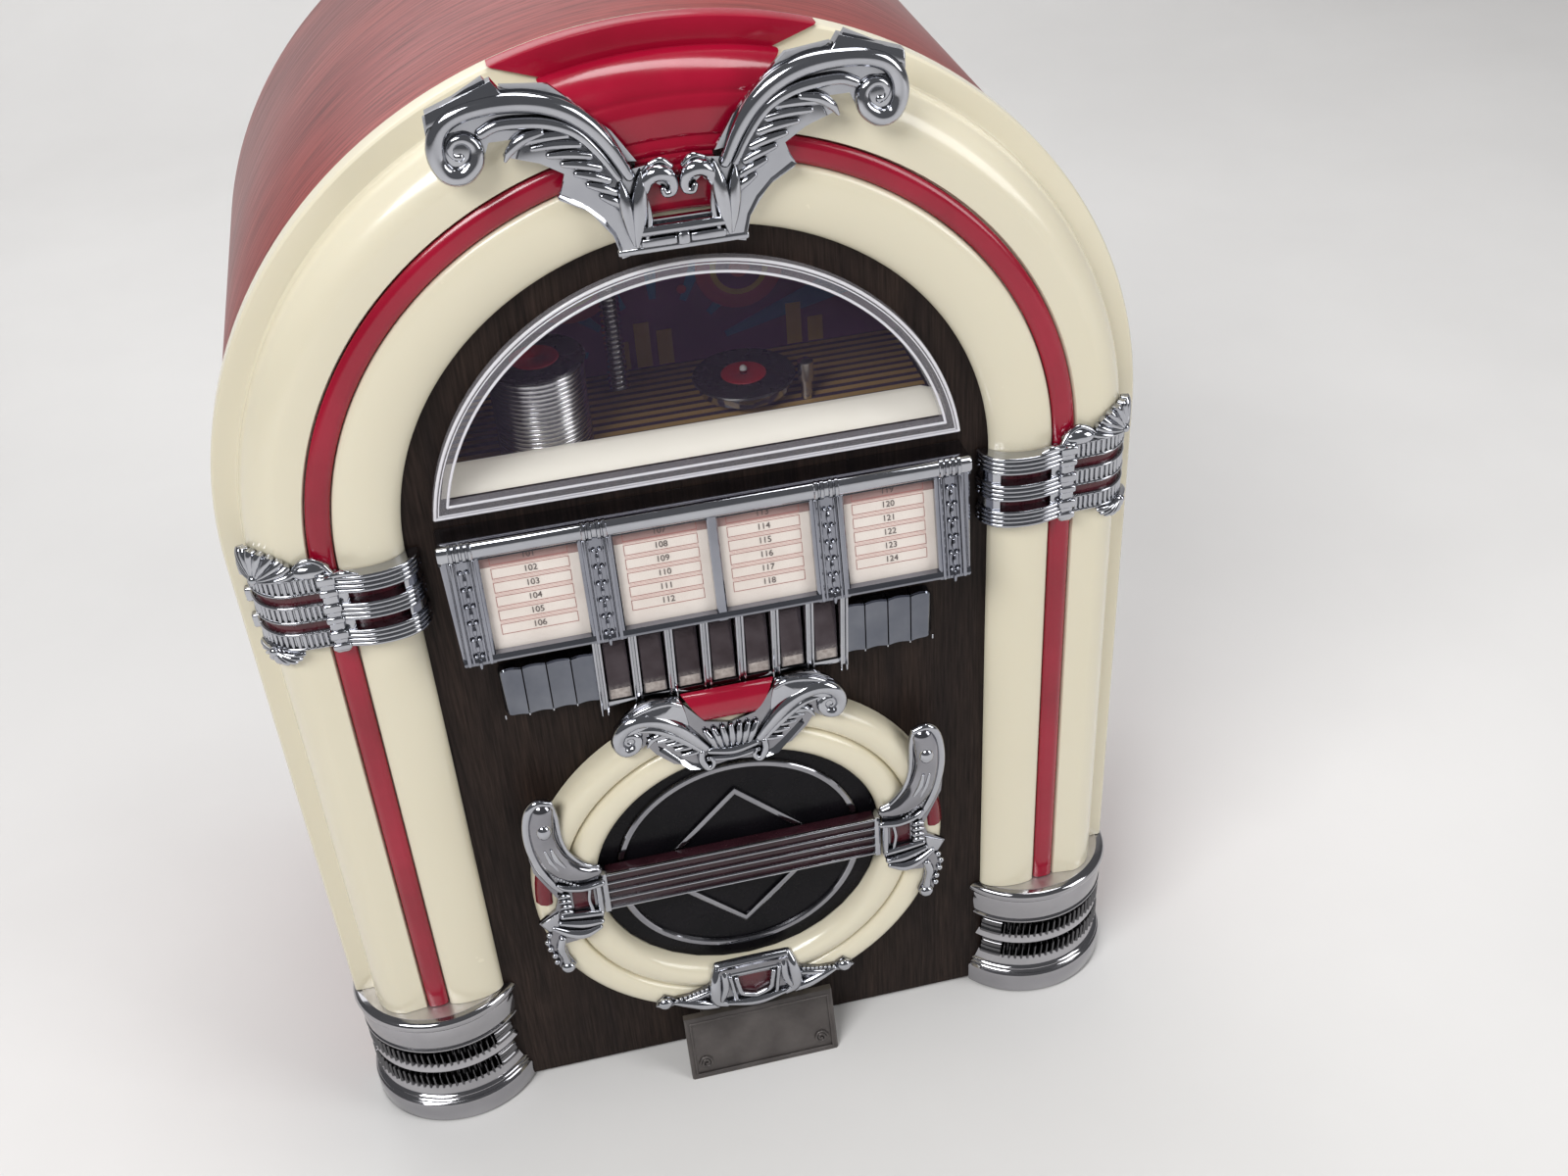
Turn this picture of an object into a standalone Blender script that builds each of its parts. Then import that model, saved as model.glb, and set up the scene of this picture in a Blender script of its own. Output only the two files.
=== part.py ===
"""Tabletop jukebox radio: an arched cabinet with a display window, a title
holder, selector keys and a round speaker grille on its front.

Every piece hangs from one empty at the centre of the arch, on the front face
of the front panel: X to the right, Y to the back, Z up. Lengths in metres.
"""

import math

import bmesh
import bpy

# Clearances and how far cutters run past what they cut
GAP = 0.0003
RUNNING_GAP = 0.0005
OVERRUN = 0.002
OVERLAP = 0.0006

# Arch and cabinet
ARCH_HEIGHT = 0.200
ARCH_STEPS = 24
FACE_TO_MIDDLE = 0.065
CABINET_DEPTH = 0.145
CABINET_RADIUS = 0.115
CABINET_WALL = 0.003

# Arched frame, from the bare panel outwards
OPENING_RADIUS = 0.0735
INNER_TUBE_WIDTH = 0.0158
STRIP_WIDTH = 0.0065
OUTER_TUBE_WIDTH = 0.0144
SHOULDER_WIDTH = 0.0062
INNER_TUBE_BULGE = 0.0028
CREASE_RISE = 0.0033
STRIP_RISE = 0.0039
GROOVE_RISE = 0.0013
OUTER_TUBE_RISE = 0.0040
OUTER_TUBE_BACK = 0.0060
SHOULDER_BACK = 0.0087
SHOULDER_ROUND = 0.0008
FRAME_DEPTH = 0.0150
TUBE_POINTS = 6

# Front panel
PANEL_THICKNESS = 0.004
PANEL_REACH = 0.0305
PANEL_FLOOR_GAP = 0.0015
WINDOW_RADIUS = 0.0662
WINDOW_BASE = 0.0088
RIM_WIDTH = 0.0042
RIM_RISE = 0.0026
RIM_CHAMFER = 0.0009
RIM_LAP = 0.0020
PANE_THICKNESS = 0.0016
WINDOW_STEPS = 20

# Red crown and top ornament
CROWN_RISE = 0.0008
CROWN_START = 0.0060
CROWN_DEPTH = 0.0045
CROWN_STEPS = 6
CROWN_ANGLE_SHARES = ((0.0, 0.27), (0.34, 0.27), (0.56, 0.43), (0.80, 0.63), (1.0, 0.93))
CROWN_HALF_ANGLE = math.radians(18)
CROWN_SIDE_GAP = 0.0012
ORNAMENT_BACK = 0.0065
ORNAMENT_FRONT = 0.0095
TOP_ORNAMENT_HALF = 0.0515
TOP_ORNAMENT_BASE = 0.0714
TOP_ORNAMENT_SHARES = (
    (0.0, 0.062), (0.272, 0.0), (0.30, 0.11), (0.39, 0.235), (0.507, 0.30), (0.47, 0.41),
    (0.563, 0.468), (0.707, 0.518), (0.641, 0.584), (0.757, 0.584), (0.796, 0.497),
    (0.878, 0.462), (0.97, 0.507), (1.0, 0.594), (1.0, 0.718), (0.744, 0.849), (0.713, 0.804),
    (0.563, 0.769), (0.423, 0.68), (0.272, 0.526), (0.19, 0.39), (0.117, 0.40), (0.062, 0.396),
    (0.0, 0.332))
TOP_WINDOW_SHARES = ((0.163, 0.155), (0.163, 0.25), (0.10, 0.32), (0.03, 0.262))
TOP_PAD_SHARE = 0.22
TOP_PAD_HEIGHT_SHARE = 0.045
TOP_LUG_SHARES = (0.80, 0.70)
TOP_LUG_RADIUS = 0.0016

# Column bands
BAND_TOP = 0.0016
BAND_BOTTOM = -0.0190
BAND_CLAMP = 0.0042
BAND_PITCH = 0.0082
BAND_THICK = 0.0026
BAND_THIN = 0.0011
BAND_INNER_REACH = 0.0031
BAND_SEAT = 0.0005
BAND_SLOPE = 0.0003
SHELL_HALF = 0.0082
SHELL_TALL = 0.0112
SHELL_THICKNESS = 0.0017
SHELL_LOBES = 7
SHELL_LOBE_DEPTH_SHARE = 0.12
SHELL_ANGLE = math.radians(47)
SHELL_STAND = 0.0011

# Feet
FOOT_HEIGHT = 0.0442
FOOT_HALF_WIDTH = 0.0256
FOOT_FRONT = 0.0228
FOOT_MIDDLE = 0.0120
FOOT_STAND = 0.0010
FOOT_STEPS = 12
FOOT_LEVEL_SHARES = (
    (0.0, 0.0016), (0.21, 0.0011), (0.215, 0.0022), (0.26, 0.0022), (0.27, 0.0014), (0.36, 0.0014),
    (0.365, 0.0030), (0.475, 0.0030), (0.48, 0.0014), (0.59, 0.0014), (0.595, 0.0030), (0.705, 0.0030),
    (0.71, 0.0022), (0.76, 0.0022), (0.765, 0.0), (0.965, 0.0), (1.0, 0.0014))

# Display behind the window
BOX_RADIUS = 0.0700
BOX_WALL = 0.0015
BOX_DEPTH = 0.0600
BOX_FLOOR = 0.0025
CARD_THICKNESS = 0.0006
CARD_EDGE_GAP = 0.0008
LEDGE_DEPTH = 0.0090
LEDGE_HEIGHT = 0.0103
STACK_X = -0.0348
STACK_Y = 0.0290
STACK_HALF = 0.0105
STACK_HEIGHT = 0.0250
STACK_RIBS = 9
STACK_GROOVE = 0.0009
STACK_SIDES = 12
RECORD_THICKNESS = 0.0008
RECORD_LABEL_RADIUS = 0.0056
RECORD_LABEL_RISE = 0.0003
STACK_RECORD_RADIUS = 0.0112
POST_X = -0.0125
POST_Y = 0.0530
POST_RADIUS = 0.0022
POST_HEIGHT = 0.0330
POST_RIBS = 8
POST_GROOVE = 0.0006
TABLE_X = 0.0191
TABLE_Y = 0.0390
TABLE_RADIUS = 0.0122
TABLE_HUB_RADIUS = 0.0060
TABLE_RISE = 0.0028
TABLE_THICKNESS = 0.0026
TABLE_PIN_RADIUS = 0.0010
TABLE_PIN_HEIGHT = 0.0022
PLAY_RECORD_RADIUS = 0.0129
ARM_X = 0.0345
ARM_Y = 0.0330
ARM_RADIUS = 0.0015
ARM_HEIGHT = 0.0115
ARM_BASE_RADIUS = 0.0028
ARM_BASE_HEIGHT = 0.0016
LAMP_X = 0.0
LAMP_Y = 0.0300
LAMP_RADIUS = 0.0032
LAMP_LENGTH = 0.0090
LAMP_CAP_RADIUS = 0.0046
LAMP_CAP_LENGTH = 0.0090
LAMP_FLANGE = 0.0014

# Title holder
TITLE_HALF_TOP = 0.0662
TITLE_HALF_BOTTOM = 0.0648
TITLE_TOP = 0.0055
TITLE_BOTTOM = -0.0272
TITLE_DEPTH_TOP = 0.0078
TITLE_DEPTH_BOTTOM = 0.0137
TITLE_RAIL = 0.0046
TITLE_RAIL_RISE = 0.0012
TITLE_FOOT_RAIL = 0.0016
TITLE_RELIEF = 0.0016
TITLE_WALL = 0.0018
CARD_SPANS = ((-0.0568, -0.0330), (-0.0244, -0.0012), (0.0014, 0.0246), (0.0332, 0.0566))
TITLE_CARD_THICKNESS = 0.0006
PILASTER_SPANS = ((-0.0640, -0.0576), (-0.0322, -0.0252), (0.0254, 0.0324), (0.0574, 0.0638))
PILASTER_RISE = 0.0010

# Selector bank and keys
KEY_COUNT = 7
KEY_PITCH = 0.0092
RIB_WIDTH = 0.0022
RIB_TOP = -0.0276
RIB_BOTTOM = -0.0555
RIB_FRONT_TOP = 0.0100
RIB_FRONT_BOTTOM = 0.0068
BANK_RAIL = 0.0018
BANK_RAIL_FRONT = 0.0058
PLATE_HALF = 0.0579
PLATE_TOP = -0.0380
PLATE_BOTTOM = -0.0536
PLATE_RISE = 0.0040
PLATE_FLUTES = 5
PLATE_FLUTE_DEPTH = 0.0008
PLATE_FLUTE_WIDTH = 0.0006
KEY_TRAVEL = 0.0020
KEY_SIDE_GAP = 0.0004
KEY_FRONT_TOP = 0.0052
KEY_FRONT = 0.0062
KEY_THICKNESS = 0.0030
KEY_BREAK = -0.0400
STEM_HALF_WIDTH = 0.0020
STEM_TOP = -0.0440
STEM_HEIGHT = 0.0030
STEM_LENGTH = 0.0090

# Speaker ring, grille and plaque
RING_HEIGHT = -0.1216
RING_RADIUS = 0.0600
RING_HOLE = 0.0417
RING_RISE = 0.0070
RING_CREASE = 0.0046
RING_STEPS = 32
RING_TUBE_POINTS = 6
RING_ORNAMENT_BACK = 0.0073
RING_ORNAMENT_FRONT = 0.0104
RING_TOP_HALF = 0.0318
RING_TOP_BASE = 0.0420
RING_TOP_SHARES = (
    (0.0, 0.03), (0.19, 0.0), (0.25, 0.01), (0.33, 0.03), (0.52, 0.10), (0.66, 0.24), (0.74, 0.37),
    (0.80, 0.32), (0.874, 0.31), (0.96, 0.35), (1.0, 0.44), (0.99, 0.60), (0.88, 0.73), (0.74, 0.82),
    (0.63, 0.83), (0.44, 0.80), (0.31, 0.62), (0.22, 0.50), (0.0, 0.44))
RING_SIDE_SHARES = (
    (0.87, 0.69), (0.958, 0.627), (0.992, 0.457), (0.975, 0.26), (0.908, 0.11), (0.887, 0.062),
    (0.908, -0.007), (0.995, -0.073), (0.958, -0.14), (0.98, -0.225), (0.942, -0.315),
    (0.937, -0.39), (0.897, -0.43), (0.857, -0.39), (0.883, -0.323), (0.892, -0.24), (0.80, -0.23),
    (0.70, -0.14), (0.685, -0.09), (0.685, 0.152), (0.665, 0.205), (0.742, 0.227), (0.80, 0.302),
    (0.817, 0.41), (0.82, 0.527), (0.825, 0.627))
RING_SIDE_HOLE_SHARES = ((0.72, -0.03), (0.80, -0.03), (0.83, 0.03), (0.83, 0.10), (0.72, 0.10))
RING_BOTTOM_SHARES = (
    (0.0, -0.945), (0.10, -0.935), (0.217, -0.91), (0.333, -0.87), (0.408, -0.84), (0.46, -0.855),
    (0.507, -0.808), (0.46, -0.762), (0.413, -0.793), (0.333, -0.79), (0.242, -0.757),
    (0.20, -0.71), (0.17, -0.675), (0.0, -0.67))
RING_BOTTOM_HOLE_SHARES = ((0.085, -0.735), (0.075, -0.84), (0.0, -0.875))
RED_BAR_TOP_HALF = 0.0124
RED_BAR_BOTTOM_HALF = 0.0066
RED_BAR_TOP = -0.0534
RED_BAR_BOTTOM = -0.0632
RED_BAR_FRONT = 0.0098
GRILLE_RISE = 0.0018
TRIM_RISE = 0.0008
TRIM_RADIUS = 0.0362
TRIM_WIDTH = 0.0029
DIAMOND_HALF = 0.0274
DIAMOND_WIDTH = 0.0024
BAR_HALF = 0.0398
BAR_BOTTOM = -0.0060
BAR_TOP = 0.0083
BAR_DEPTH = 0.0046
BAR_RIBS = 5
BAR_RIB_SHARE = 0.36
BAR_RIB_DEPTH = 0.0016
PLAQUE_HALF = 0.0231
PLAQUE_TOP = 0.0209
PLAQUE_TOP_FRONT = 0.0092
PLAQUE_FOOT_FRONT = 0.0153
PLAQUE_EDGE = 0.0012

# Loudspeaker
SPEAKER_HOLE = 0.0395
SPEAKER_FLANGE = 0.0460
SPEAKER_SHEET = 0.0016
SPEAKER_DEPTH = 0.0240
SPEAKER_BACK_RADIUS = 0.0200
MAGNET_RADIUS = 0.0240
MAGNET_THICKNESS = 0.0120
CONE_RADIUS = 0.0375
CONE_NECK = 0.0110
CONE_SHEET = 0.0010
CONE_DEPTH = 0.0150
CONE_EDGE = 0.0040
SPEAKER_STEPS = 20

# Base and back
BASE_THICKNESS = 0.0060
BACK_THICKNESS = 0.0030
VENT_COUNT = 7
VENT_HALF = 0.0450
VENT_HEIGHT = 0.0030
VENT_PITCH = 0.0080
VENT_BASE = 0.0100
SCREW_HEAD_RADIUS = 0.0030
SCREW_HEAD_HEIGHT = 0.0012
SCREW_HEAD_SHARE = 0.8
ROUND_STEPS = 16
SCREW_SHANK_RADIUS = 0.0013
SCREW_LENGTH = 0.0080
SCREW_STEPS = 10
BOSS_SIZE = 0.0085
BOSS_DEPTH = 0.0140
BOSS_BURY = 0.0010
BOSS_ANGLES = tuple(math.radians(angle) for angle in (42, 138))
BOSS_LOW_HEIGHT = -0.1300
SOCKET_X = -0.0800
SOCKET_Z = -0.1600
SOCKET_RADIUS = 0.0055
SOCKET_BORE = 0.0028
SOCKET_DEPTH = 0.0110
SOCKET_FLOOR = 0.0020
AERIAL_RADIUS = 0.0045
AERIAL_HALF = 0.0560
AERIAL_HEIGHT = -0.0300
SADDLE_X = 0.0380
SADDLE_WIDTH = 0.0060
SADDLE_WALL = 0.0020

# Side controls, on the right wall of the cabinet
CONTROL_FRONT = 0.0480
CONTROL_BACK = 0.1120
CONTROL_TOP = -0.0080
CONTROL_BOTTOM = -0.1120
CONTROL_PLATE = 0.0026
CONTROL_FLANGE = 0.0020
CONTROL_LAP = 0.0040
DIAL_FRONT = 0.0530
DIAL_BACK = 0.0690
DIAL_TOP = -0.0160
DIAL_BOTTOM = -0.0960
SCALE_THICKNESS = 0.0010
SCALE_STANDOFF = 0.0030
SCALE_MARGIN = 0.0035
POINTER_WIDTH = 0.0012
POINTER_THICKNESS = 0.0008
POINTER_REACH = 0.0030
POINTER_TRAVEL = 0.0640
POINTER_TOP_MARGIN = 0.0080
KNOB_RADIUS = 0.0110
KNOB_LENGTH = 0.0078
KNOB_FLUTES = 20
KNOB_FLUTE_SHARE = 0.93
KNOB_CHAMFER = 0.0010
KNOB_STAND = 0.0005
SHAFT_RADIUS = 0.0028
SHAFT_STEPS = 12
KNOB_Y = 0.0910
TUNING_Z = -0.0300
VOLUME_Z = -0.0720
TUNING_SHAFT_LENGTH = 0.0240
VOLUME_SHAFT_LENGTH = 0.0040
PULLEY_RADIUS = 0.0036
SWITCH_Y = 0.0800
SWITCH_Z = -0.1000
SWITCH_TRAVEL = 0.0060
SWITCH_HEIGHT = 0.0060
SWITCH_DEPTH = 0.0080
SWITCH_RISE = 0.0030
SWITCH_FOOT = 0.0015
SWITCH_NECK = 0.0030
POT_RADIUS = 0.0085
POT_LENGTH = 0.0080
BOARD_INSET = 0.0360
BOARD_THICKNESS = 0.0016
BOARD_FRONT = 0.0500
BOARD_BACK = 0.1100
BOARD_TOP = -0.0150
BOARD_BOTTOM = -0.1550
STANDOFF_SIZE = 0.0050
STANDOFF_SPOTS = ((0.0760, -0.0190), (0.1060, -0.0190), (0.0560, -0.1080), (0.1060, -0.1080))
DRUM_Y = 0.0700
DRUM_Z = -0.0440
DRUM_THICKNESS = 0.0030
DRUM_HUB_RADIUS = 0.0040
DRUM_HUB_LENGTH = 0.0020
TUNER_SIZE = 0.0200
TUNER_DEPTH = 0.0120
PART_BURY = 0.0004
COIL_CAN_SIZE = 0.0080
COIL_CAN_HEIGHT = 0.0110
COIL_CAN_SPOTS = ((0.0660, -0.0900), (0.0660, -0.1060), (0.0660, -0.1220))
CAPACITOR_RADIUS = 0.0050
CAPACITOR_HEIGHT = 0.0120
CAPACITOR_SPOTS = ((0.0850, -0.1120), (0.0960, -0.1200), (0.0850, -0.1300))

# Values worked out from the ones above
FLOOR = -ARCH_HEIGHT
STRIP_INNER = OPENING_RADIUS + INNER_TUBE_WIDTH
STRIP_OUTER = STRIP_INNER + STRIP_WIDTH
TUBE_OUTER = STRIP_OUTER + OUTER_TUBE_WIDTH
FRAME_RADIUS = TUBE_OUTER + SHOULDER_WIDTH
PANEL_RADIUS = OPENING_RADIUS + PANEL_REACH
LEG_END = FLOOR + FOOT_HEIGHT + GAP
INNER_RADIUS = CABINET_RADIUS - CABINET_WALL
BOARD_X = INNER_RADIUS - BOARD_INSET
CABINET_FRONT = FRAME_DEPTH + GAP
BACK_FACE = CABINET_DEPTH - BACK_THICKNESS
DRUM_RADIUS = POINTER_TRAVEL / math.pi
KEY_HALF = (KEY_PITCH - RIB_WIDTH) / 2 - KEY_SIDE_GAP
CARD_FLOOR = BOX_FLOOR + BOX_WALL + GAP
SHELF = CARD_FLOOR + CARD_THICKNESS + GAP


def clear_scene():
    """Empty the file of what it opened with."""
    for obj in list(bpy.data.objects):
        bpy.data.objects.remove(obj, do_unlink=True)


def material(name, color, roughness, metallic=0.0, alpha=1.0):
    """A plain finish with the part's colour."""
    finish = bpy.data.materials.get(name) or bpy.data.materials.new(name)
    finish.use_nodes = True
    shader = finish.node_tree.nodes["Principled BSDF"]
    shader.inputs["Base Color"].default_value = (*color, 1.0)
    shader.inputs["Roughness"].default_value = roughness
    shader.inputs["Metallic"].default_value = metallic
    shader.inputs["Alpha"].default_value = alpha
    return finish


IVORY = ("ivory", (0.78, 0.73, 0.56), 0.30)
RED = ("red", (0.42, 0.01, 0.04), 0.20)
CHROME = ("chrome", (0.80, 0.80, 0.83), 0.12, 1.0)
MAHOGANY = ("mahogany", (0.30, 0.08, 0.06), 0.35)
DARK_WOOD = ("dark_wood", (0.035, 0.022, 0.018), 0.50)
BLACK = ("black_plastic", (0.02, 0.02, 0.02), 0.50)
CLEAR = ("clear_plastic", (0.80, 0.80, 0.82), 0.08, 0.0, 0.4)
SMOKE = ("smoked_plastic", (0.10, 0.10, 0.12), 0.08, 0.0, 0.5)
CREAM = ("cream_plastic", (0.85, 0.82, 0.72), 0.40)
PAPER = ("paper", (0.80, 0.72, 0.68), 0.60)
PRINT = ("printed_card", (0.35, 0.15, 0.30), 0.60)
RECORD = ("record", (0.03, 0.02, 0.03), 0.30)
PEWTER = ("pewter", (0.30, 0.28, 0.28), 0.40, 1.0)
STEEL = ("steel", (0.55, 0.55, 0.56), 0.35, 1.0)
BOARD = ("circuit_board", (0.25, 0.15, 0.05), 0.50)
CONE_PAPER = ("cone_paper", (0.06, 0.05, 0.05), 0.80)
FERRITE = ("ferrite", (0.12, 0.11, 0.11), 0.60)
GLASS = ("bulb_glass", (0.90, 0.88, 0.80), 0.10)


def add_object(name, verts, faces, finish=None, spot=(0.0, 0.0, 0.0), smooth=True):
    """Closed mesh from points and faces, facing out, hung from the arch centre."""
    mesh = bpy.data.meshes.new(name)
    work = bmesh.new()
    points = [work.verts.new(vert) for vert in verts]
    for face in faces:
        work.faces.new([points[index] for index in face])
    bmesh.ops.recalc_face_normals(work, faces=work.faces)
    work.to_mesh(mesh)
    work.free()
    if smooth:
        mesh.shade_smooth()
        mesh.set_sharp_from_angle(angle=math.radians(35))
    obj = bpy.data.objects.new(name, mesh)
    bpy.context.collection.objects.link(obj)
    obj.parent = bpy.data.objects["arch_centre"]
    obj.location = spot
    if finish:
        mesh.materials.append(material(*finish))
    return obj


def skin(rings, closed):
    """Points and faces of a skin over equal rings of points, capped at its ends."""
    count = len(rings[0])
    verts = [point for ring in rings for point in ring]
    faces = []
    pairs = len(rings) if closed else len(rings) - 1
    for row in range(pairs):
        here = row * count
        there = (row + 1) % len(rings) * count
        for index in range(count):
            after = (index + 1) % count
            faces.append((here + index, here + after, there + after, there + index))
    if not closed:
        faces.append(tuple(range(count)))
        faces.append(tuple(range(len(verts) - count, len(verts))))
    return verts, faces


def sweep(name, rings, finish=None, closed=False, spot=(0.0, 0.0, 0.0)):
    """A solid skinned over rings of points."""
    verts, faces = skin(rings, closed)
    return add_object(name, verts, faces, finish, spot)


def prism(name, outline, low, high, axis, finish=None, spot=(0.0, 0.0, 0.0)):
    """An outline run along one axis; its points are in the other two, in X, Y, Z order."""
    rings = []
    for level in (low, high):
        ring = []
        for first, second in outline:
            point = [first, second]
            point.insert(axis, level)
            ring.append(tuple(point))
        rings.append(ring)
    return sweep(name, rings, finish, spot=spot)


def box(name, x, y, z, finish=None, spot=(0.0, 0.0, 0.0)):
    """A block between pairs of limits."""
    outline = ((y[0], z[0]), (y[1], z[0]), (y[1], z[1]), (y[0], z[1]))
    return prism(name, outline, x[0], x[1], 0, finish, spot)


def turned(name, profile, axis, steps, finish=None, spot=(0.0, 0.0, 0.0)):
    """A closed profile of (radius, height) points turned round an axis through the origin."""
    verts = []
    loops = []
    for radius, height in profile:
        count = steps if radius else 1
        loops.append([len(verts) + step % count for step in range(steps)])
        for step in range(count):
            angle = math.tau * step / steps
            point = [radius * math.cos(angle), radius * math.sin(angle)]
            point.insert(axis, height)
            verts.append(tuple(point))
    faces = []
    for here, there in zip(loops, loops[1:] + loops[:1]):
        for step in range(steps):
            after = (step + 1) % steps
            face = []
            for index in (here[step], here[after], there[after], there[step]):
                if index not in face:
                    face.append(index)
            if len(face) > 2:
                faces.append(tuple(face))
    return add_object(name, verts, faces, finish, spot)


def rod(name, radius, low, high, axis, steps, finish=None, spot=(0.0, 0.0, 0.0)):
    """A plain round bar along an axis."""
    profile = ((0.0, low), (radius, low), (radius, high), (0.0, high))
    return turned(name, profile, axis, steps, finish, spot)


def boolean(target, tool, operation):
    """Cut, join or crop a piece with a hidden tool."""
    tool.hide_render = True
    tool.display_type = "WIRE"
    step = target.modifiers.new(tool.name, "BOOLEAN")
    step.operation = operation
    step.object = tool
    step.solver = "EXACT"
    return target


def cut(target, *tools):
    """Take tools out of a piece."""
    for tool in tools:
        boolean(target, tool, "DIFFERENCE")
    return target


def join(target, *tools):
    """Add tools to a piece as one body."""
    for tool in tools:
        boolean(target, tool, "UNION")
    return target


def scaled(shares, size, base=0.0):
    """Outline points from shares of one size, raised to a base height."""
    return [(across * size, base + up * size) for across, up in shares]


def mirrored(half):
    """A whole outline from its right half, which runs from its foot to its top."""
    left = [(-across, up) for across, up in reversed(half) if across != 0]
    return list(half) + left


def flipped(outline):
    """The same outline on the left."""
    return [(-across, up) for across, up in reversed(outline)]


def offset(line, distance):
    """An open line of points moved sideways, to the left of its run."""
    normals = []
    for (x0, y0), (x1, y1) in zip(line, line[1:]):
        length = math.hypot(x1 - x0, y1 - y0)
        normals.append((-(y1 - y0) / length, (x1 - x0) / length))
    moved = []
    for index, (x, y) in enumerate(line):
        before = normals[max(index - 1, 0)]
        after = normals[min(index, len(normals) - 1)]
        sum_x, sum_y = before[0] + after[0], before[1] + after[1]
        scale = 2 / max(sum_x * sum_x + sum_y * sum_y, 1)
        moved.append((x + sum_x * scale * distance, y + sum_y * scale * distance))
    return moved


def arch_rings(profile, leg_end, steps=ARCH_STEPS):
    """Rings of a (radius, y) profile up one leg, over the arch and down the other."""
    rings = [[(radius, y, leg_end) for radius, y in profile]]
    for step in range(steps + 1):
        angle = math.pi * step / steps
        rings.append([(radius * math.cos(angle), y, radius * math.sin(angle)) for radius, y in profile])
    rings.append([(-radius, y, leg_end) for radius, y in profile])
    return rings


def arch_outline(radius, base, steps=ARCH_STEPS):
    """Front view of an arch with straight legs, as (x, z) points."""
    points = [(radius, base)]
    for step in range(steps + 1):
        angle = math.pi * step / steps
        points.append((radius * math.cos(angle), radius * math.sin(angle)))
    points.append((-radius, base))
    return points


def bow_outline(radius, base, steps=WINDOW_STEPS):
    """Front view of a bow: an arc about the arch centre on a level base."""
    start = math.asin(base / radius)
    return [(radius * math.cos(start + (math.pi - 2 * start) * step / steps),
             radius * math.sin(start + (math.pi - 2 * start) * step / steps)) for step in range(steps + 1)]


def circle_outline(radius, steps, up=0.0):
    """A round outline about the middle of the front."""
    return [(radius * math.cos(math.tau * step / steps), up + radius * math.sin(math.tau * step / steps))
            for step in range(steps)]


def tube_line():
    """Front of the frame from the panel outwards, as (radius, y), the strip included."""
    line = []
    for index in range(TUBE_POINTS):
        share = index / (TUBE_POINTS - 1)
        radius = OPENING_RADIUS + INNER_TUBE_WIDTH * (1 - math.cos(math.pi * share)) / 2
        lift = GAP + (CREASE_RISE - GAP) * share
        line.append((radius, -lift - INNER_TUBE_BULGE * math.sin(math.pi * share)))
    return line


def outer_line():
    """Front of the outer tube and the shoulder, as (radius, y)."""
    crest = STRIP_OUTER + OUTER_TUBE_WIDTH * 0.38
    reach = TUBE_OUTER - crest
    fall = OUTER_TUBE_RISE + OUTER_TUBE_BACK
    line = [(STRIP_OUTER, -CREASE_RISE)]
    for index in range(TUBE_POINTS):
        angle = math.pi / 2 * index / (TUBE_POINTS - 1)
        line.append((crest + reach * math.sin(angle), OUTER_TUBE_BACK - fall * math.cos(angle)))
    line.append((TUBE_OUTER, SHOULDER_BACK))
    line.append((FRAME_RADIUS - SHOULDER_ROUND, SHOULDER_BACK))
    line.append((FRAME_RADIUS, SHOULDER_BACK + SHOULDER_ROUND))
    return line


def front_line():
    """The whole front of the frame with its strip, as one line for what clasps it."""
    quarter = STRIP_WIDTH / 4
    return tube_line() + [(STRIP_INNER + quarter, -STRIP_RISE),
                          (STRIP_OUTER - quarter, -STRIP_RISE)] + outer_line()


def build_front_panel():
    """The board behind everything on the front."""
    panel = prism("front_panel", arch_outline(PANEL_RADIUS, FLOOR + PANEL_FLOOR_GAP), 0, PANEL_THICKNESS,
                  1, DARK_WOOD)
    reach = (-OVERRUN, PANEL_THICKNESS + OVERRUN)
    window = prism("window_cutter", bow_outline(WINDOW_RADIUS - RIM_LAP, WINDOW_BASE + RIM_LAP), *reach,
                   1)
    mouth = prism("speaker_cutter", circle_outline(SPEAKER_HOLE, RING_STEPS, RING_HEIGHT), *reach, 1)
    half = KEY_PITCH * KEY_COUNT / 2 - RIB_WIDTH
    room = STEM_HEIGHT / 2
    slot = box("stem_cutter", (-half, half), reach, (STEM_TOP - STEM_HEIGHT - room, STEM_TOP + room))
    cut(panel, window, mouth, slot)


def build_frame():
    """Ivory frame, red strip and red crown."""
    grooved = tube_line() + [(STRIP_INNER, -GROOVE_RISE), (STRIP_OUTER, -GROOVE_RISE)] + outer_line()
    back = [(FRAME_RADIUS, FRAME_DEPTH), (PANEL_RADIUS + GAP, FRAME_DEPTH), (PANEL_RADIUS + GAP, -GAP)]
    profile = grooved + back
    sweep("arch_frame", arch_rings(profile, LEG_END), IVORY)
    low = STRIP_INNER + GAP
    high = STRIP_OUTER - GAP
    quarter = (high - low) / 4
    floor = -GROOVE_RISE - GAP
    strip = [(low, floor), (low, -CREASE_RISE), (low + quarter, -STRIP_RISE),
             (high - quarter, -STRIP_RISE),
             (high, -CREASE_RISE), (high, floor)]
    sweep("red_strip", arch_rings(strip, LEG_END), RED)


def crown_angle(radius, inner, outer):
    """Half angle of the crown at a radius, following the edges of the wings."""
    share = (radius - inner) / (outer - inner)
    for (low, wide), (high, wider) in zip(CROWN_ANGLE_SHARES, CROWN_ANGLE_SHARES[1:]):
        if share <= high:
            mix = max(share - low, 0) / (high - low)
            return CROWN_HALF_ANGLE * (wide + (wider - wide) * mix)
    return CROWN_HALF_ANGLE * CROWN_ANGLE_SHARES[-1][1]


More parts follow.
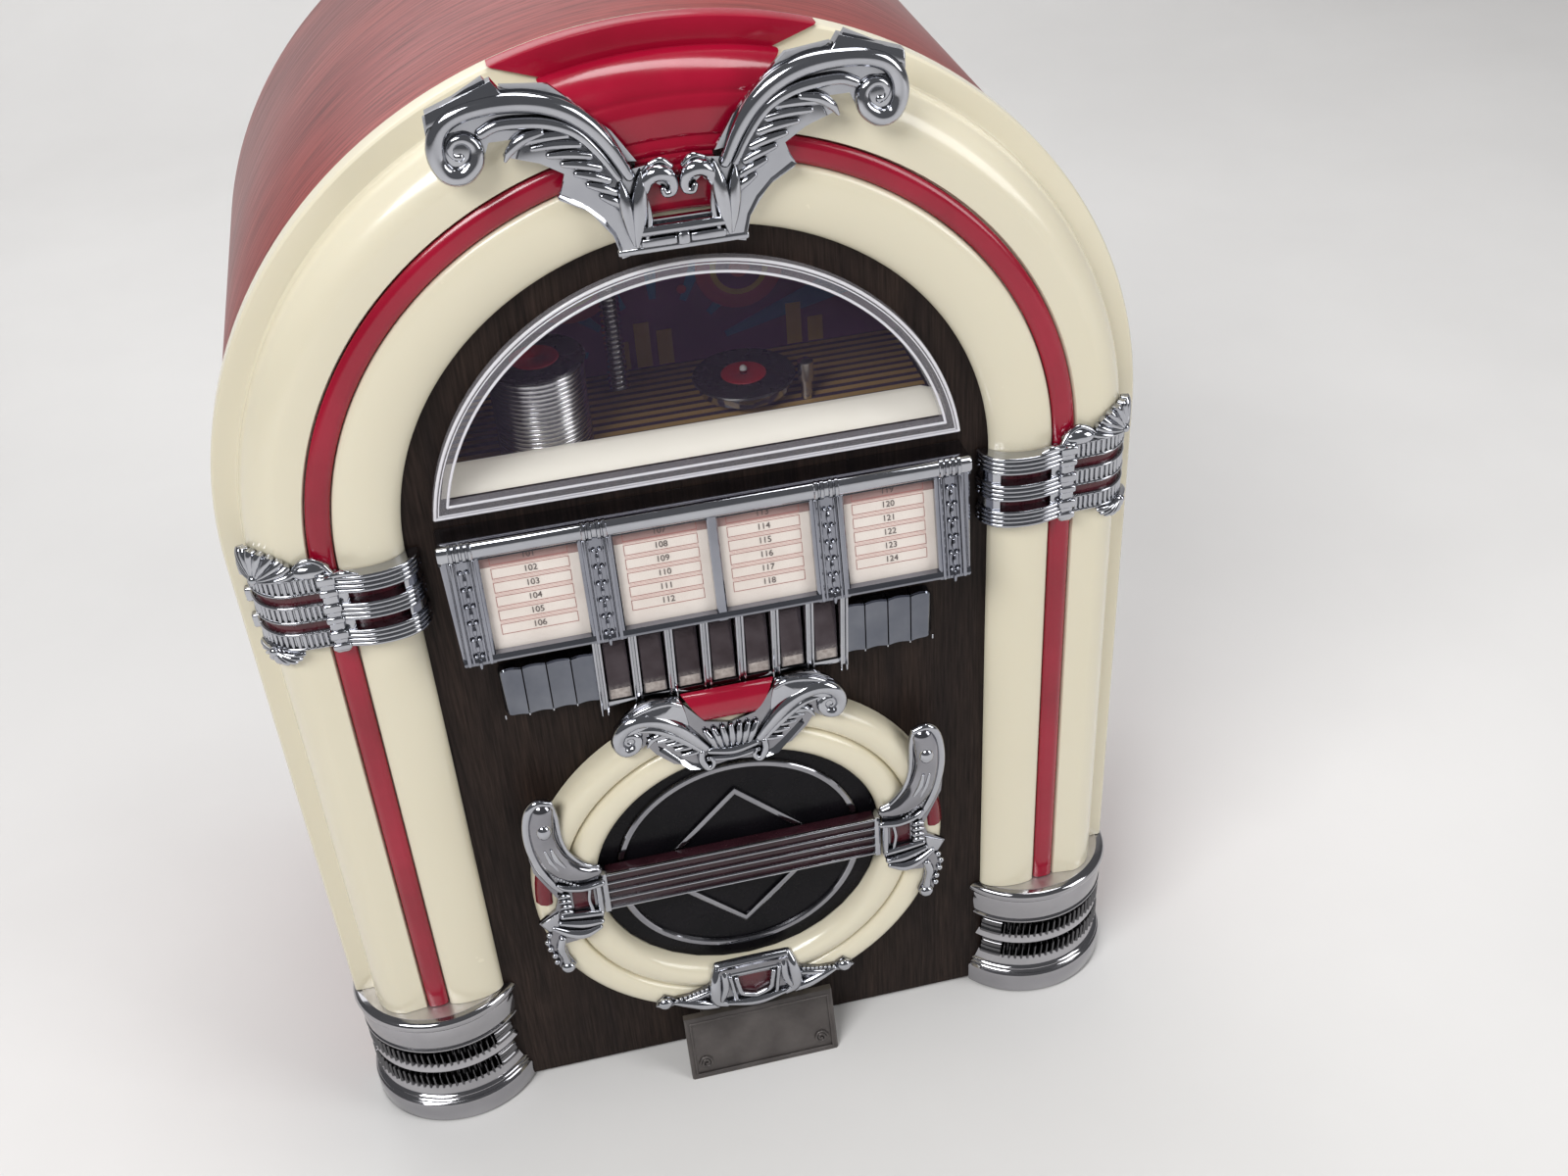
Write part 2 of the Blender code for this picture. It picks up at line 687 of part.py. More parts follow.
def build_crown():
    """Thin red cap over the top of the frame, between the wings of the ornament."""
    line = [point for point in front_line() if point[0] >= OPENING_RADIUS + CROWN_START]
    line.append((FRAME_RADIUS, SHOULDER_BACK + CROWN_DEPTH))
    inside = offset(line, -GAP - GAP)
    outside = offset(line, -GAP - GAP - CROWN_RISE)
    profile = inside + outside[::-1]
    radii = [radius for radius, _ in profile]
    rings = []
    for step in range(CROWN_STEPS + 1):
        side = 2 * step / CROWN_STEPS - 1
        ring = []
        for radius, y in profile:
            angle = side * crown_angle(radius, min(radii), max(radii))
            ring.append((radius * math.sin(angle), y, radius * math.cos(angle)))
        rings.append(ring)
    sweep("red_crown", rings, RED)


def build_top_ornament():
    """Chrome casting at the top: two scroll wings on a bracket with an open window."""
    outline = mirrored(scaled(TOP_ORNAMENT_SHARES, TOP_ORNAMENT_HALF, TOP_ORNAMENT_BASE))
    wings = prism("top_ornament", outline, -ORNAMENT_FRONT, -ORNAMENT_BACK, 1, CHROME)
    opening = mirrored(scaled(TOP_WINDOW_SHARES, TOP_ORNAMENT_HALF, TOP_ORNAMENT_BASE))
    cut(wings, prism("top_opening_cutter", opening, -ORNAMENT_FRONT - OVERRUN, -ORNAMENT_BACK + OVERRUN,
                     1))
    crest = min(y for _, y in tube_line())
    half = TOP_PAD_HEIGHT_SHARE * TOP_ORNAMENT_HALF
    level = TOP_ORNAMENT_BASE + TOP_ORNAMENT_HALF * TOP_WINDOW_SHARES[0][1]
    for side, name in ((-1, "left"), (1, "right")):
        middle = side * TOP_PAD_SHARE * TOP_ORNAMENT_HALF
        join(wings, box(f"top_pad_{name}", (middle - half, middle + half),
                        (-ORNAMENT_BACK - OVERLAP, crest - GAP),
                        (level - half, level + half)))
        across, up = TOP_LUG_SHARES
        join(wings, rod(f"top_lug_{name}", TOP_LUG_RADIUS, -ORNAMENT_BACK - OVERLAP, SHOULDER_BACK - GAP,
                        1, SCREW_STEPS,
                        spot=(side * across * TOP_ORNAMENT_HALF, 0,
                              TOP_ORNAMENT_BASE + up * TOP_ORNAMENT_HALF)))


def band_levels():
    """Heights of the clamps and the slots between them, with the thickness at each."""
    levels = []
    for clamp in range(3):
        top = BAND_TOP - clamp * BAND_PITCH
        levels += [(top, BAND_THICK), (top - BAND_CLAMP, BAND_THICK)]
        if clamp < 2:
            levels += [(top - BAND_CLAMP - BAND_SLOPE, BAND_THIN),
                       (top - BAND_PITCH + BAND_SLOPE, BAND_THIN)]
    return levels


def shell_outline(size_across, size_up):
    """A scallop: a fan with a lobed edge over a narrow hinge, as (u, z) points."""
    points = [(size_across * 0.25, 0.0)]
    count = SHELL_LOBES * 4
    for step in range(count + 1):
        angle = math.pi * step / count
        dip = SHELL_LOBE_DEPTH_SHARE * (1 - abs(math.sin(SHELL_LOBES * angle)))
        points.append((size_across * (1 - dip) * math.cos(angle),
                       size_up * (0.28 + 0.72 * (1 - dip) * math.sin(angle))))
    points.append((-size_across * 0.25, 0.0))
    return points


def build_band(name, side):
    """Chrome band round one column: three clamps, slots between, a scallop above and below."""
    line = front_line()
    tab = OPENING_RADIUS - BAND_INNER_REACH
    start = (tab, -BAND_SEAT)
    back_line = offset(line, -BAND_SEAT)
    rings = []
    for height, thickness in band_levels():
        front = offset(line, -BAND_SEAT - thickness)
        front = [(tab, -BAND_SEAT - thickness)] + front[:-2] + [(FRAME_RADIUS, front[-3][1])]
        back = [start] + back_line[:-2] + [(FRAME_RADIUS, back_line[-3][1])]
        rings.append([(side * radius, y, height) for radius, y in front + back[::-1]])
    band = sweep(name, rings, CHROME)
    corner = outer_line()[TUBE_POINTS // 2 + 1]
    middle = (side * (corner[0] + SHELL_STAND * math.sin(SHELL_ANGLE)),
              corner[1] - SHELL_STAND * math.cos(SHELL_ANGLE))
    for up, base in ((1, BAND_TOP - BAND_CLAMP / 2), (-1, BAND_BOTTOM + BAND_CLAMP / 2)):
        outline = [(u, up * z) for u, z in shell_outline(SHELL_HALF, SHELL_TALL)]
        fan = prism(f"{name}_shell_{up}", outline, -SHELL_THICKNESS, 0, 1,
                    spot=(middle[0], middle[1], base))
        fan.rotation_euler = (0, 0, side * SHELL_ANGLE)
        join(band, fan)


def build_foot(name, side):
    """Chrome foot under one column: a half-round block with bands and rope rows."""
    centre = FRAME_RADIUS + FOOT_STAND - FOOT_HALF_WIDTH
    inner_back = -GAP
    rings = []
    for share, inset in FOOT_LEVEL_SHARES:
        half, front = FOOT_HALF_WIDTH - inset, FOOT_FRONT - inset
        start = math.pi - math.asin((FOOT_MIDDLE - inner_back) / front)
        outline = []
        for step in range(FOOT_STEPS + 1):
            angle = start * (1 - step / FOOT_STEPS)
            outline.append((centre + half * math.cos(angle), FOOT_MIDDLE - front * math.sin(angle)))
        outline += [(centre + half, FRAME_DEPTH), (PANEL_RADIUS + GAP, FRAME_DEPTH),
                    (PANEL_RADIUS + GAP, inner_back)]
        rings.append([(side * x, y, FLOOR + share * FOOT_HEIGHT) for x, y in outline])
    sweep(name, rings, CHROME)


def build_window():
    """Clear rim on the panel and the smoked pane inside it."""
    outer = bow_outline(WINDOW_RADIUS, WINDOW_BASE)
    front = bow_outline(WINDOW_RADIUS - RIM_CHAMFER, WINDOW_BASE + RIM_CHAMFER)
    hole = bow_outline(WINDOW_RADIUS - RIM_WIDTH, WINDOW_BASE + RIM_WIDTH)
    hole_front = bow_outline(WINDOW_RADIUS - RIM_WIDTH + RIM_CHAMFER,
                             WINDOW_BASE + RIM_WIDTH - RIM_CHAMFER)
    shoulder = -RIM_RISE + RIM_CHAMFER
    loops = ((outer, -GAP), (outer, shoulder), (front, -RIM_RISE), (hole_front, -RIM_RISE),
             (hole, shoulder), (hole, -GAP))
    rings = [[(loop[index][0], y, loop[index][1]) for loop, y in loops] for index in range(len(outer))]
    sweep("window_rim", rings, CLEAR, closed=True)
    lap = RIM_LAP + GAP
    prism("window_pane", bow_outline(WINDOW_RADIUS - lap, WINDOW_BASE + lap), 0, PANE_THICKNESS, 1, SMOKE)


def ribbed_profile(radius, groove, height, ribs):
    """A round bar's profile with rings standing out of it."""
    profile = [(0.0, 0.0)]
    pitch = height / ribs
    for rib in range(ribs):
        low = rib * pitch
        profile += [(radius - groove, low), (radius, low + pitch / 2)]
    profile += [(radius - groove, height), (0.0, height)]
    return profile


def build_display():
    """The lit display behind the window, with its card, records and lamp."""
    front = PANEL_THICKNESS + GAP
    back = front + BOX_DEPTH
    shell = prism("display_box", bow_outline(BOX_RADIUS, BOX_FLOOR), front, back, 1, BLACK)
    inner = BOX_RADIUS - BOX_WALL
    hollow = prism("display_cutter", bow_outline(inner, BOX_FLOOR + BOX_WALL), front - OVERRUN,
                   back - BOX_WALL, 1)
    lamp_hole = rod("lamp_cutter", LAMP_CAP_RADIUS + GAP, inner - OVERRUN - BOX_WALL,
                    BOX_RADIUS + OVERRUN, 2, SHAFT_STEPS,
                    spot=(LAMP_X, front + LAMP_Y, 0))
    pin_hole = rod("pin_cutter", TABLE_PIN_RADIUS + GAP, BOX_FLOOR - OVERRUN,
                   BOX_FLOOR + OVERRUN + BOX_WALL, 2, SPEAKER_STEPS,
                   spot=(TABLE_X, TABLE_Y, 0))
    cut(shell, hollow, lamp_hole, pin_hole)
    ledge_front = front + GAP
    half = math.sqrt(inner ** 2 - LEDGE_HEIGHT ** 2) - CARD_EDGE_GAP
    ledge_end = ledge_front + LEDGE_DEPTH
    floor = BOX_FLOOR + BOX_WALL + GAP
    box("display_ledge", (-half, half), (ledge_front, ledge_end), (floor, LEDGE_HEIGHT), CREAM)
    card_back = back - BOX_WALL - GAP
    card_start = ledge_end + GAP
    floor_half = math.sqrt(inner ** 2 - (CARD_FLOOR + CARD_THICKNESS) ** 2) - CARD_EDGE_GAP
    card_radius = inner - CARD_EDGE_GAP
    card = prism("display_card", bow_outline(card_radius, CARD_FLOOR), card_back - CARD_THICKNESS,
                 card_back, 1, PRINT)
    sheet = box("card_floor", (-floor_half, floor_half), (card_start, card_back - CARD_THICKNESS / 2),
                (CARD_FLOOR, CARD_FLOOR + CARD_THICKNESS))
    join(card, sheet)
    cut(card, rod("card_pin_cutter", TABLE_HUB_RADIUS + GAP, BOX_FLOOR, CARD_FLOOR + OVERRUN, 2,
                  SPEAKER_STEPS,
                  spot=(TABLE_X, TABLE_Y, 0)))
    build_records()
    lamp_base = inner - LAMP_LENGTH
    cap_top = BOX_RADIUS + LAMP_FLANGE + LAMP_CAP_LENGTH
    profile = ((0.0, lamp_base), (LAMP_RADIUS * 0.7, lamp_base + LAMP_RADIUS * 0.3),
               (LAMP_RADIUS, lamp_base + LAMP_RADIUS),
               (LAMP_RADIUS, inner - BOX_WALL), (LAMP_CAP_RADIUS, inner - BOX_WALL),
               (LAMP_CAP_RADIUS, BOX_RADIUS + GAP),
               (LAMP_CAP_RADIUS + LAMP_FLANGE, BOX_RADIUS + GAP),
               (LAMP_CAP_RADIUS + LAMP_FLANGE, BOX_RADIUS + LAMP_FLANGE),
               (LAMP_CAP_RADIUS, BOX_RADIUS + LAMP_FLANGE), (LAMP_CAP_RADIUS, cap_top), (0.0, cap_top))
    turned("display_lamp", profile, 2, SHAFT_STEPS, GLASS, spot=(LAMP_X, front + LAMP_Y, 0))


def record_profile(radius, hole):
    """A small record with a raised label; a hole of no size leaves it whole."""
    top = RECORD_THICKNESS + RECORD_LABEL_RISE
    return ((hole, 0.0), (radius, 0.0), (radius, RECORD_THICKNESS),
            (RECORD_LABEL_RADIUS, RECORD_THICKNESS),
            (RECORD_LABEL_RADIUS, top), (hole, top))


def build_records():
    """Stack of records, lift post, turntable and tone arm post."""
    stack = ribbed_profile(STACK_HALF, STACK_GROOVE, STACK_HEIGHT, STACK_RIBS)
    turned("record_stack", stack, 2, STACK_SIDES, CHROME, spot=(STACK_X, STACK_Y, SHELF))
    turned("stack_record", record_profile(STACK_RECORD_RADIUS, 0.0), 2, SPEAKER_STEPS, RECORD,
           spot=(STACK_X, STACK_Y, SHELF + STACK_HEIGHT + GAP))
    post = ribbed_profile(POST_RADIUS, POST_GROOVE, POST_HEIGHT, POST_RIBS)
    turned("lift_post", post, 2, SCREW_STEPS, CHROME, spot=(POST_X, POST_Y, SHELF))
    hub_foot = BOX_FLOOR + BOX_WALL + GAP - SHELF
    pin_foot = BOX_FLOOR - SHELF
    top = TABLE_RISE + TABLE_THICKNESS
    profile = ((0.0, pin_foot), (TABLE_PIN_RADIUS, pin_foot), (TABLE_PIN_RADIUS, hub_foot),
               (TABLE_HUB_RADIUS, hub_foot),
               (TABLE_HUB_RADIUS, TABLE_RISE), (TABLE_RADIUS, TABLE_RISE), (TABLE_RADIUS, top),
               (TABLE_PIN_RADIUS, top), (TABLE_PIN_RADIUS, top + TABLE_PIN_HEIGHT),
               (0.0, top + TABLE_PIN_HEIGHT))
    turned("turntable", profile, 2, SPEAKER_STEPS, CHROME, spot=(TABLE_X, TABLE_Y, SHELF))
    turned("play_record", record_profile(PLAY_RECORD_RADIUS, TABLE_PIN_RADIUS + GAP), 2, SPEAKER_STEPS,
           RECORD,
           spot=(TABLE_X, TABLE_Y, SHELF + top + GAP))
    arm = ((0.0, 0.0), (ARM_BASE_RADIUS, 0.0), (ARM_BASE_RADIUS, ARM_BASE_HEIGHT),
           (ARM_RADIUS, ARM_BASE_HEIGHT),
           (ARM_RADIUS, ARM_HEIGHT), (0.0, ARM_HEIGHT))
    turned("tone_arm_post", arm, 2, SCREW_STEPS, CHROME, spot=(ARM_X, ARM_Y, SHELF))


def title_face(z):
    """How far the title holder's sloping face stands out at a height."""
    share = (TITLE_TOP - z) / (TITLE_TOP - TITLE_BOTTOM)
    return TITLE_DEPTH_TOP + (TITLE_DEPTH_BOTTOM - TITLE_DEPTH_TOP) * share


def build_titles():
    """Sloping title holder with the title card behind its four openings."""
    rail_foot = TITLE_TOP - TITLE_RAIL
    foot_top = TITLE_BOTTOM + TITLE_FOOT_RAIL
    section = ((-GAP, TITLE_TOP), (-TITLE_DEPTH_TOP + TITLE_WALL, TITLE_TOP),
               (-title_face(TITLE_TOP - TITLE_RAIL / 4) - TITLE_RAIL_RISE / 2,
                TITLE_TOP - TITLE_RAIL / 4),
               (-title_face(TITLE_TOP - TITLE_RAIL / 2) - TITLE_RAIL_RISE, TITLE_TOP - TITLE_RAIL / 2),
               (-title_face(rail_foot) + TITLE_RELIEF / 2, rail_foot), (-title_face(foot_top), foot_top),
               (-title_face(TITLE_BOTTOM), TITLE_BOTTOM), (-GAP, TITLE_BOTTOM))
    rings = []
    for side in (-1, 1):
        ring = []
        for y, z in section:
            share = (TITLE_TOP - z) / (TITLE_TOP - TITLE_BOTTOM)
            half = TITLE_HALF_TOP + (TITLE_HALF_BOTTOM - TITLE_HALF_TOP) * share
            ring.append((side * half, y, z))
        rings.append(ring)
    holder = sweep("title_holder", rings, CHROME)
    head, base = TITLE_WALL - title_face(rail_foot), TITLE_WALL - title_face(foot_top)
    inside = TITLE_HALF_BOTTOM - TITLE_FOOT_RAIL
    hollow = ((OVERRUN, rail_foot), (head, rail_foot), (base, foot_top), (OVERRUN, foot_top))
    cut(holder, prism("title_hollow_cutter", hollow, -inside, inside, 0))
    sill, lintel = foot_top + TITLE_RELIEF / 2, rail_foot - TITLE_RELIEF / 2
    pocket = ((-title_face(lintel) - OVERRUN, lintel), (-title_face(sill) - OVERRUN, sill),
              (TITLE_WALL - title_face(sill) + OVERRUN, sill),
              (TITLE_WALL - title_face(lintel) + OVERRUN, lintel))
    for number, (left, right) in enumerate(CARD_SPANS):
        cut(holder, prism(f"title_pocket_cutter_{number}", pocket, left, right, 0))
    strip = ((-title_face(rail_foot) + OVERLAP, rail_foot),
             (-title_face(rail_foot) - PILASTER_RISE, rail_foot),
             (-title_face(TITLE_BOTTOM) - PILASTER_RISE, TITLE_BOTTOM - OVERLAP),
             (-title_face(TITLE_BOTTOM) + OVERLAP, TITLE_BOTTOM - OVERLAP))
    for number, (left, right) in enumerate(PILASTER_SPANS):
        join(holder, prism(f"pilaster_{number}", strip, left, right, 0))
    thickness = TITLE_CARD_THICKNESS + GAP
    sheet = ((head + GAP, rail_foot - GAP), (base + GAP, foot_top + GAP),
             (base + thickness, foot_top + GAP),
             (head + thickness, rail_foot - GAP))
    prism("title_card", sheet, -inside + GAP, inside - GAP, 0, PAPER)


def key_places():
    """Middle of each key, from left to right."""
    return [(index - (KEY_COUNT - 1) / 2) * KEY_PITCH for index in range(KEY_COUNT)]


def build_selector():
    """Chrome bank with end plates and ribs, and the seven keys between the ribs."""
    reach = KEY_PITCH * KEY_COUNT / 2 + RIB_WIDTH / 2
    bank = box("selector_bank", (-PLATE_HALF, PLATE_HALF), (-PLATE_RISE, -GAP), (PLATE_BOTTOM, PLATE_TOP),
               CHROME)
    inside = reach - RIB_WIDTH
    cut(bank, box("bank_cutter", (-inside, inside), (-PLATE_RISE - OVERRUN, OVERRUN),
                  (RIB_BOTTOM, RIB_TOP)))
    rib = ((-GAP, RIB_TOP), (-RIB_FRONT_TOP, RIB_TOP), (-RIB_FRONT_BOTTOM, RIB_BOTTOM),
           (-GAP, RIB_BOTTOM))
    for index in range(KEY_COUNT + 1):
        x = (index - KEY_COUNT / 2) * KEY_PITCH
        join(bank, prism(f"rib_{index}", rib, x - RIB_WIDTH / 2, x + RIB_WIDTH / 2, 0))
    for name, low in (("top", RIB_TOP - BANK_RAIL), ("bottom", RIB_BOTTOM + BANK_RAIL / 2)):
        join(bank, box(f"bank_rail_{name}", (-inside - OVERLAP, inside + OVERLAP),
                       (-BANK_RAIL_FRONT, -GAP - OVERLAP),
                       (low, low + BANK_RAIL)))
    pitch = (PLATE_HALF - reach) / PLATE_FLUTES
    for side in (-1, 1):
        for flute in range(1, PLATE_FLUTES):
            x = side * (reach + flute * pitch)
            cut(bank, box(f"flute_cutter_{side}_{flute}",
                          (x - PLATE_FLUTE_WIDTH / 2, x + PLATE_FLUTE_WIDTH / 2),
                          (-PLATE_RISE - OVERRUN, -PLATE_RISE + PLATE_FLUTE_DEPTH),
                          (PLATE_BOTTOM - OVERRUN, PLATE_TOP + OVERRUN)))
    top = RIB_TOP - BANK_RAIL - RUNNING_GAP
    bottom = RIB_BOTTOM + BANK_RAIL * 1.5 + RUNNING_GAP
    back = -KEY_TRAVEL - GAP - RUNNING_GAP
    stem_low = STEM_TOP - STEM_HEIGHT
    cap = ((back, top), (-KEY_FRONT_TOP, top), (-KEY_FRONT, KEY_BREAK), (-KEY_FRONT, bottom),
           (back, bottom))
    stem = ((back - OVERLAP, stem_low), (back - OVERLAP, STEM_TOP), (STEM_LENGTH, STEM_TOP),
            (STEM_LENGTH, stem_low))
    for number, x in enumerate(key_places(), 1):
        key = prism(f"key_{number}", cap, -KEY_HALF, KEY_HALF, 0, CHROME, spot=(x, 0, 0))
        join(key, prism(f"key_stem_{number}", stem, -STEM_HALF_WIDTH, STEM_HALF_WIDTH, 0, spot=(x, 0, 0)))


def ring_profile():
    """Section of the speaker ring: two half-round tubes side by side."""
    width = (RING_RADIUS - RING_HOLE) / 2
    line = []
    for tube in range(2):
        ends = (0.0, RING_CREASE) if tube == 0 else (RING_CREASE, 0.0)
        for index in range(RING_TUBE_POINTS - 1):
            share = index / (RING_TUBE_POINTS - 1)
            base = ends[0] + (ends[1] - ends[0]) * share
            lift = base + (RING_RISE - RING_CREASE / 2) * math.sin(math.pi * share)
            line.append((RING_HOLE + tube * width + width * (1 - math.cos(math.pi * share)) / 2,
                         -GAP - lift))
    line.append((RING_RADIUS, -GAP))
    return line


def build_ring():
    """Ivory ring round the loudspeaker, with its chrome ornaments and red bar."""
    rings = []
    for step in range(RING_STEPS):
        angle = math.tau * step / RING_STEPS
        rings.append([(radius * math.cos(angle), y, RING_HEIGHT + radius * math.sin(angle)) for radius,
                      y in ring_profile()])
    sweep("speaker_ring", rings, IVORY, closed=True)
    crest = min(y for _, y in ring_profile())
    back = crest - GAP
    front = -RING_ORNAMENT_FRONT
    top = mirrored(scaled(RING_TOP_SHARES, RING_TOP_HALF, RING_HEIGHT + RING_TOP_BASE))
    prism("ring_ornament_top", top, front, back, 1, CHROME)
    side = scaled(RING_SIDE_SHARES, RING_RADIUS, RING_HEIGHT)
    hole = scaled(RING_SIDE_HOLE_SHARES, RING_RADIUS, RING_HEIGHT)
    right = prism("ring_ornament_right", side, front, back, 1, CHROME)
    cut(right, prism("right_hole_cutter", hole, front - OVERRUN, back + OVERRUN, 1))
    left = prism("ring_ornament_left", flipped(side), front, back, 1, CHROME)
    cut(left, prism("left_hole_cutter", flipped(hole), front - OVERRUN, back + OVERRUN, 1))
    bottom = mirrored(scaled(RING_BOTTOM_SHARES, RING_RADIUS, RING_HEIGHT))
    lower = prism("ring_ornament_bottom", bottom, front, back, 1, CHROME)
    lower_hole = scaled(RING_BOTTOM_HOLE_SHARES, RING_RADIUS, RING_HEIGHT)
    lower_hole = lower_hole + [(-x, z) for x, z in reversed(lower_hole[:-1])]
    cut(lower, prism("bottom_hole_cutter", lower_hole, front - OVERRUN, back + OVERRUN, 1))
    build_red_bar()


def build_red_bar():
    """Red bar between the scrolls above the ring."""
    back = -RING_ORNAMENT_BACK - GAP
    outline = ((-RED_BAR_BOTTOM_HALF, RED_BAR_BOTTOM), (RED_BAR_BOTTOM_HALF, RED_BAR_BOTTOM),
               (RED_BAR_TOP_HALF, RED_BAR_TOP),
               (-RED_BAR_TOP_HALF, RED_BAR_TOP))
    prism("ring_red_bar", outline, -RED_BAR_FRONT, back, 1, RED)


def build_grille():
    """Black grille, chrome circle and diamond on it, and the ribbed cross bar."""
    back, front = -GAP, -GRILLE_RISE
    prism("grille_plate", circle_outline(RING_HOLE - GAP, RING_STEPS, RING_HEIGHT), front, back, 1, BLACK)
    trim_back = front - GAP
    trim_front = trim_back - TRIM_RISE
    trim = prism("grille_trim", circle_outline(TRIM_RADIUS, RING_STEPS, RING_HEIGHT), trim_front,
                 trim_back, 1, CHROME)
    reach = (trim_front - OVERRUN, trim_back + OVERRUN)
    cut(trim, prism("trim_hole_cutter", circle_outline(TRIM_RADIUS - TRIM_WIDTH, RING_STEPS, RING_HEIGHT),
                    *reach, 1))
    half = DIAMOND_HALF + DIAMOND_WIDTH / 2
    inner = DIAMOND_HALF - DIAMOND_WIDTH / 2
    diamond = prism("diamond", ((half, RING_HEIGHT), (0, RING_HEIGHT + half), (-half, RING_HEIGHT),
                                (0, RING_HEIGHT - half)),
                    trim_front, trim_back, 1)
    cut(diamond, prism("diamond_hole_cutter",
                       ((inner, RING_HEIGHT), (0, RING_HEIGHT + inner), (-inner, RING_HEIGHT),
                                               (0, RING_HEIGHT - inner)), *reach, 1))
    tie_half = DIAMOND_WIDTH / 2
    tie = box("trim_tie", (-TRIM_RADIUS + TRIM_WIDTH / 2, TRIM_RADIUS - TRIM_WIDTH / 2),
              (trim_front + OVERLAP / 4, trim_back - OVERLAP / 4),
              (RING_HEIGHT - tie_half, RING_HEIGHT + tie_half))
    join(trim, diamond, tie)
    low, high = RING_HEIGHT + BAR_BOTTOM, RING_HEIGHT + BAR_TOP
    bar_back = trim_front - GAP
    bar_front = bar_back - BAR_DEPTH
    groove = bar_front + BAR_RIB_DEPTH
    pitch = (high - low) / (BAR_RIBS - 1 + BAR_RIB_SHARE)
    section = [(bar_back, low)]
    for rib in range(BAR_RIBS):
        foot = low + rib * pitch
        head = foot + pitch * BAR_RIB_SHARE
        section += [(bar_front, foot), (bar_front, head)]
        if rib < BAR_RIBS - 1:
            section += [(groove, head), (groove, foot + pitch)]
    section.append((bar_back, high))
    prism("cross_bar", section, -BAR_HALF, BAR_HALF, 0, CHROME)
    top = FLOOR + PLAQUE_TOP
    under = RING_HEIGHT - RING_RADIUS - GAP
    crest = min(y for _, y in ring_profile()) - GAP
    plaque = ((-GAP, FLOOR), (-PLAQUE_FOOT_FRONT + PLAQUE_EDGE, FLOOR),
              (-PLAQUE_FOOT_FRONT, FLOOR + PLAQUE_EDGE),
              (-PLAQUE_TOP_FRONT, top), (crest, top), (crest, under), (-GAP, under))
    prism("plaque", plaque, -PLAQUE_HALF, PLAQUE_HALF, 0, PEWTER)


def build_speaker():
    """Loudspeaker behind the panel: basket with its magnet, and cone."""
    spot = (0, PANEL_THICKNESS + GAP, RING_HEIGHT)
    sheet, deep = SPEAKER_SHEET, SPEAKER_DEPTH
    lip = SPEAKER_HOLE + GAP
    back = deep + MAGNET_THICKNESS
    basket = ((lip, 0.0), (SPEAKER_FLANGE, 0.0), (SPEAKER_FLANGE, sheet), (lip + sheet, sheet),
              (SPEAKER_BACK_RADIUS + sheet, deep), (MAGNET_RADIUS, deep), (MAGNET_RADIUS, back),
              (0.0, back),
              (0.0, deep - sheet), (SPEAKER_BACK_RADIUS, deep - sheet), (lip, sheet * 2))
    turned("speaker_frame", basket, 1, SPEAKER_STEPS, STEEL, spot)
    seat = CONE_EDGE + sheet
    wide = lip - (seat - sheet * 2) * (lip - SPEAKER_BACK_RADIUS) / (deep - sheet * 3) - GAP * 2
    deepest = seat + CONE_DEPTH - CONE_SHEET
    cone = ((0.0, deepest - CONE_NECK * 0.45), (CONE_NECK, deepest - CONE_SHEET),
            (wide - CONE_SHEET * 2, seat - CONE_SHEET * 2),
            (wide, seat - CONE_SHEET), (wide - CONE_SHEET, seat), (CONE_NECK, deepest),
            (CONE_NECK, deep - sheet - GAP),
            (0.0, deep - sheet - GAP))
    turned("speaker_cone", cone, 1, SPEAKER_STEPS, CONE_PAPER, spot)


def back_screw_places():
    """Where the back screws sit, as (x, z)."""
    radius = INNER_RADIUS - BOSS_SIZE / 2
    places = [(radius * math.cos(angle), radius * math.sin(angle)) for angle in BOSS_ANGLES]
    places += [(radius, BOSS_LOW_HEIGHT), (-radius, BOSS_LOW_HEIGHT)]
    return places


def build_cabinet():
    """Arched cabinet shell, base board and back panel with its screws."""
    wall = ((INNER_RADIUS, CABINET_FRONT), (CABINET_RADIUS, CABINET_FRONT),
            (CABINET_RADIUS, CABINET_DEPTH),
            (INNER_RADIUS, CABINET_DEPTH))
    shell = sweep("cabinet_shell", arch_rings(wall, FLOOR), MAHOGANY)
    reach = (INNER_RADIUS - OVERRUN, CABINET_RADIUS + OVERRUN)
    cut(shell, box("control_cutter", reach, (CONTROL_FRONT, CONTROL_BACK), (CONTROL_BOTTOM, CONTROL_TOP)))
    boss_back = BACK_FACE - GAP
    half = BOSS_SIZE / 2
    for number, (x, z) in enumerate(back_screw_places()):
        size = (half, half + BOSS_BURY)
        flat = abs(x) < half
        across = (x - half, x + half) if flat else ((x - size[0], x + size[1]) if x > 0 else (x - size[1],
                                                                                              x + size[0]))
        up = (z - half, z + size[1]) if flat else (z - half, z + half)
        boss = box(f"boss_{number}", across, (boss_back - BOSS_DEPTH, boss_back), up)
        join(shell, boss)
        cut(shell, rod(f"boss_cutter_{number}", SCREW_SHANK_RADIUS + GAP, boss_back - SCREW_LENGTH,
                       boss_back + OVERRUN, 1,
                       SCREW_STEPS, spot=(x, 0, z)))
    side = INNER_RADIUS - GAP
    tongue = PANEL_RADIUS - GAP
    front = PANEL_THICKNESS + GAP
    plan = ((-tongue, front), (tongue, front), (tongue, CABINET_FRONT + GAP), (side, CABINET_FRONT + GAP),
            (side, CABINET_DEPTH),
            (-side, CABINET_DEPTH), (-side, CABINET_FRONT + GAP), (-tongue, CABINET_FRONT + GAP))
    prism("base_board", plan, FLOOR, FLOOR + BASE_THICKNESS, 2, BLACK)
    build_back()


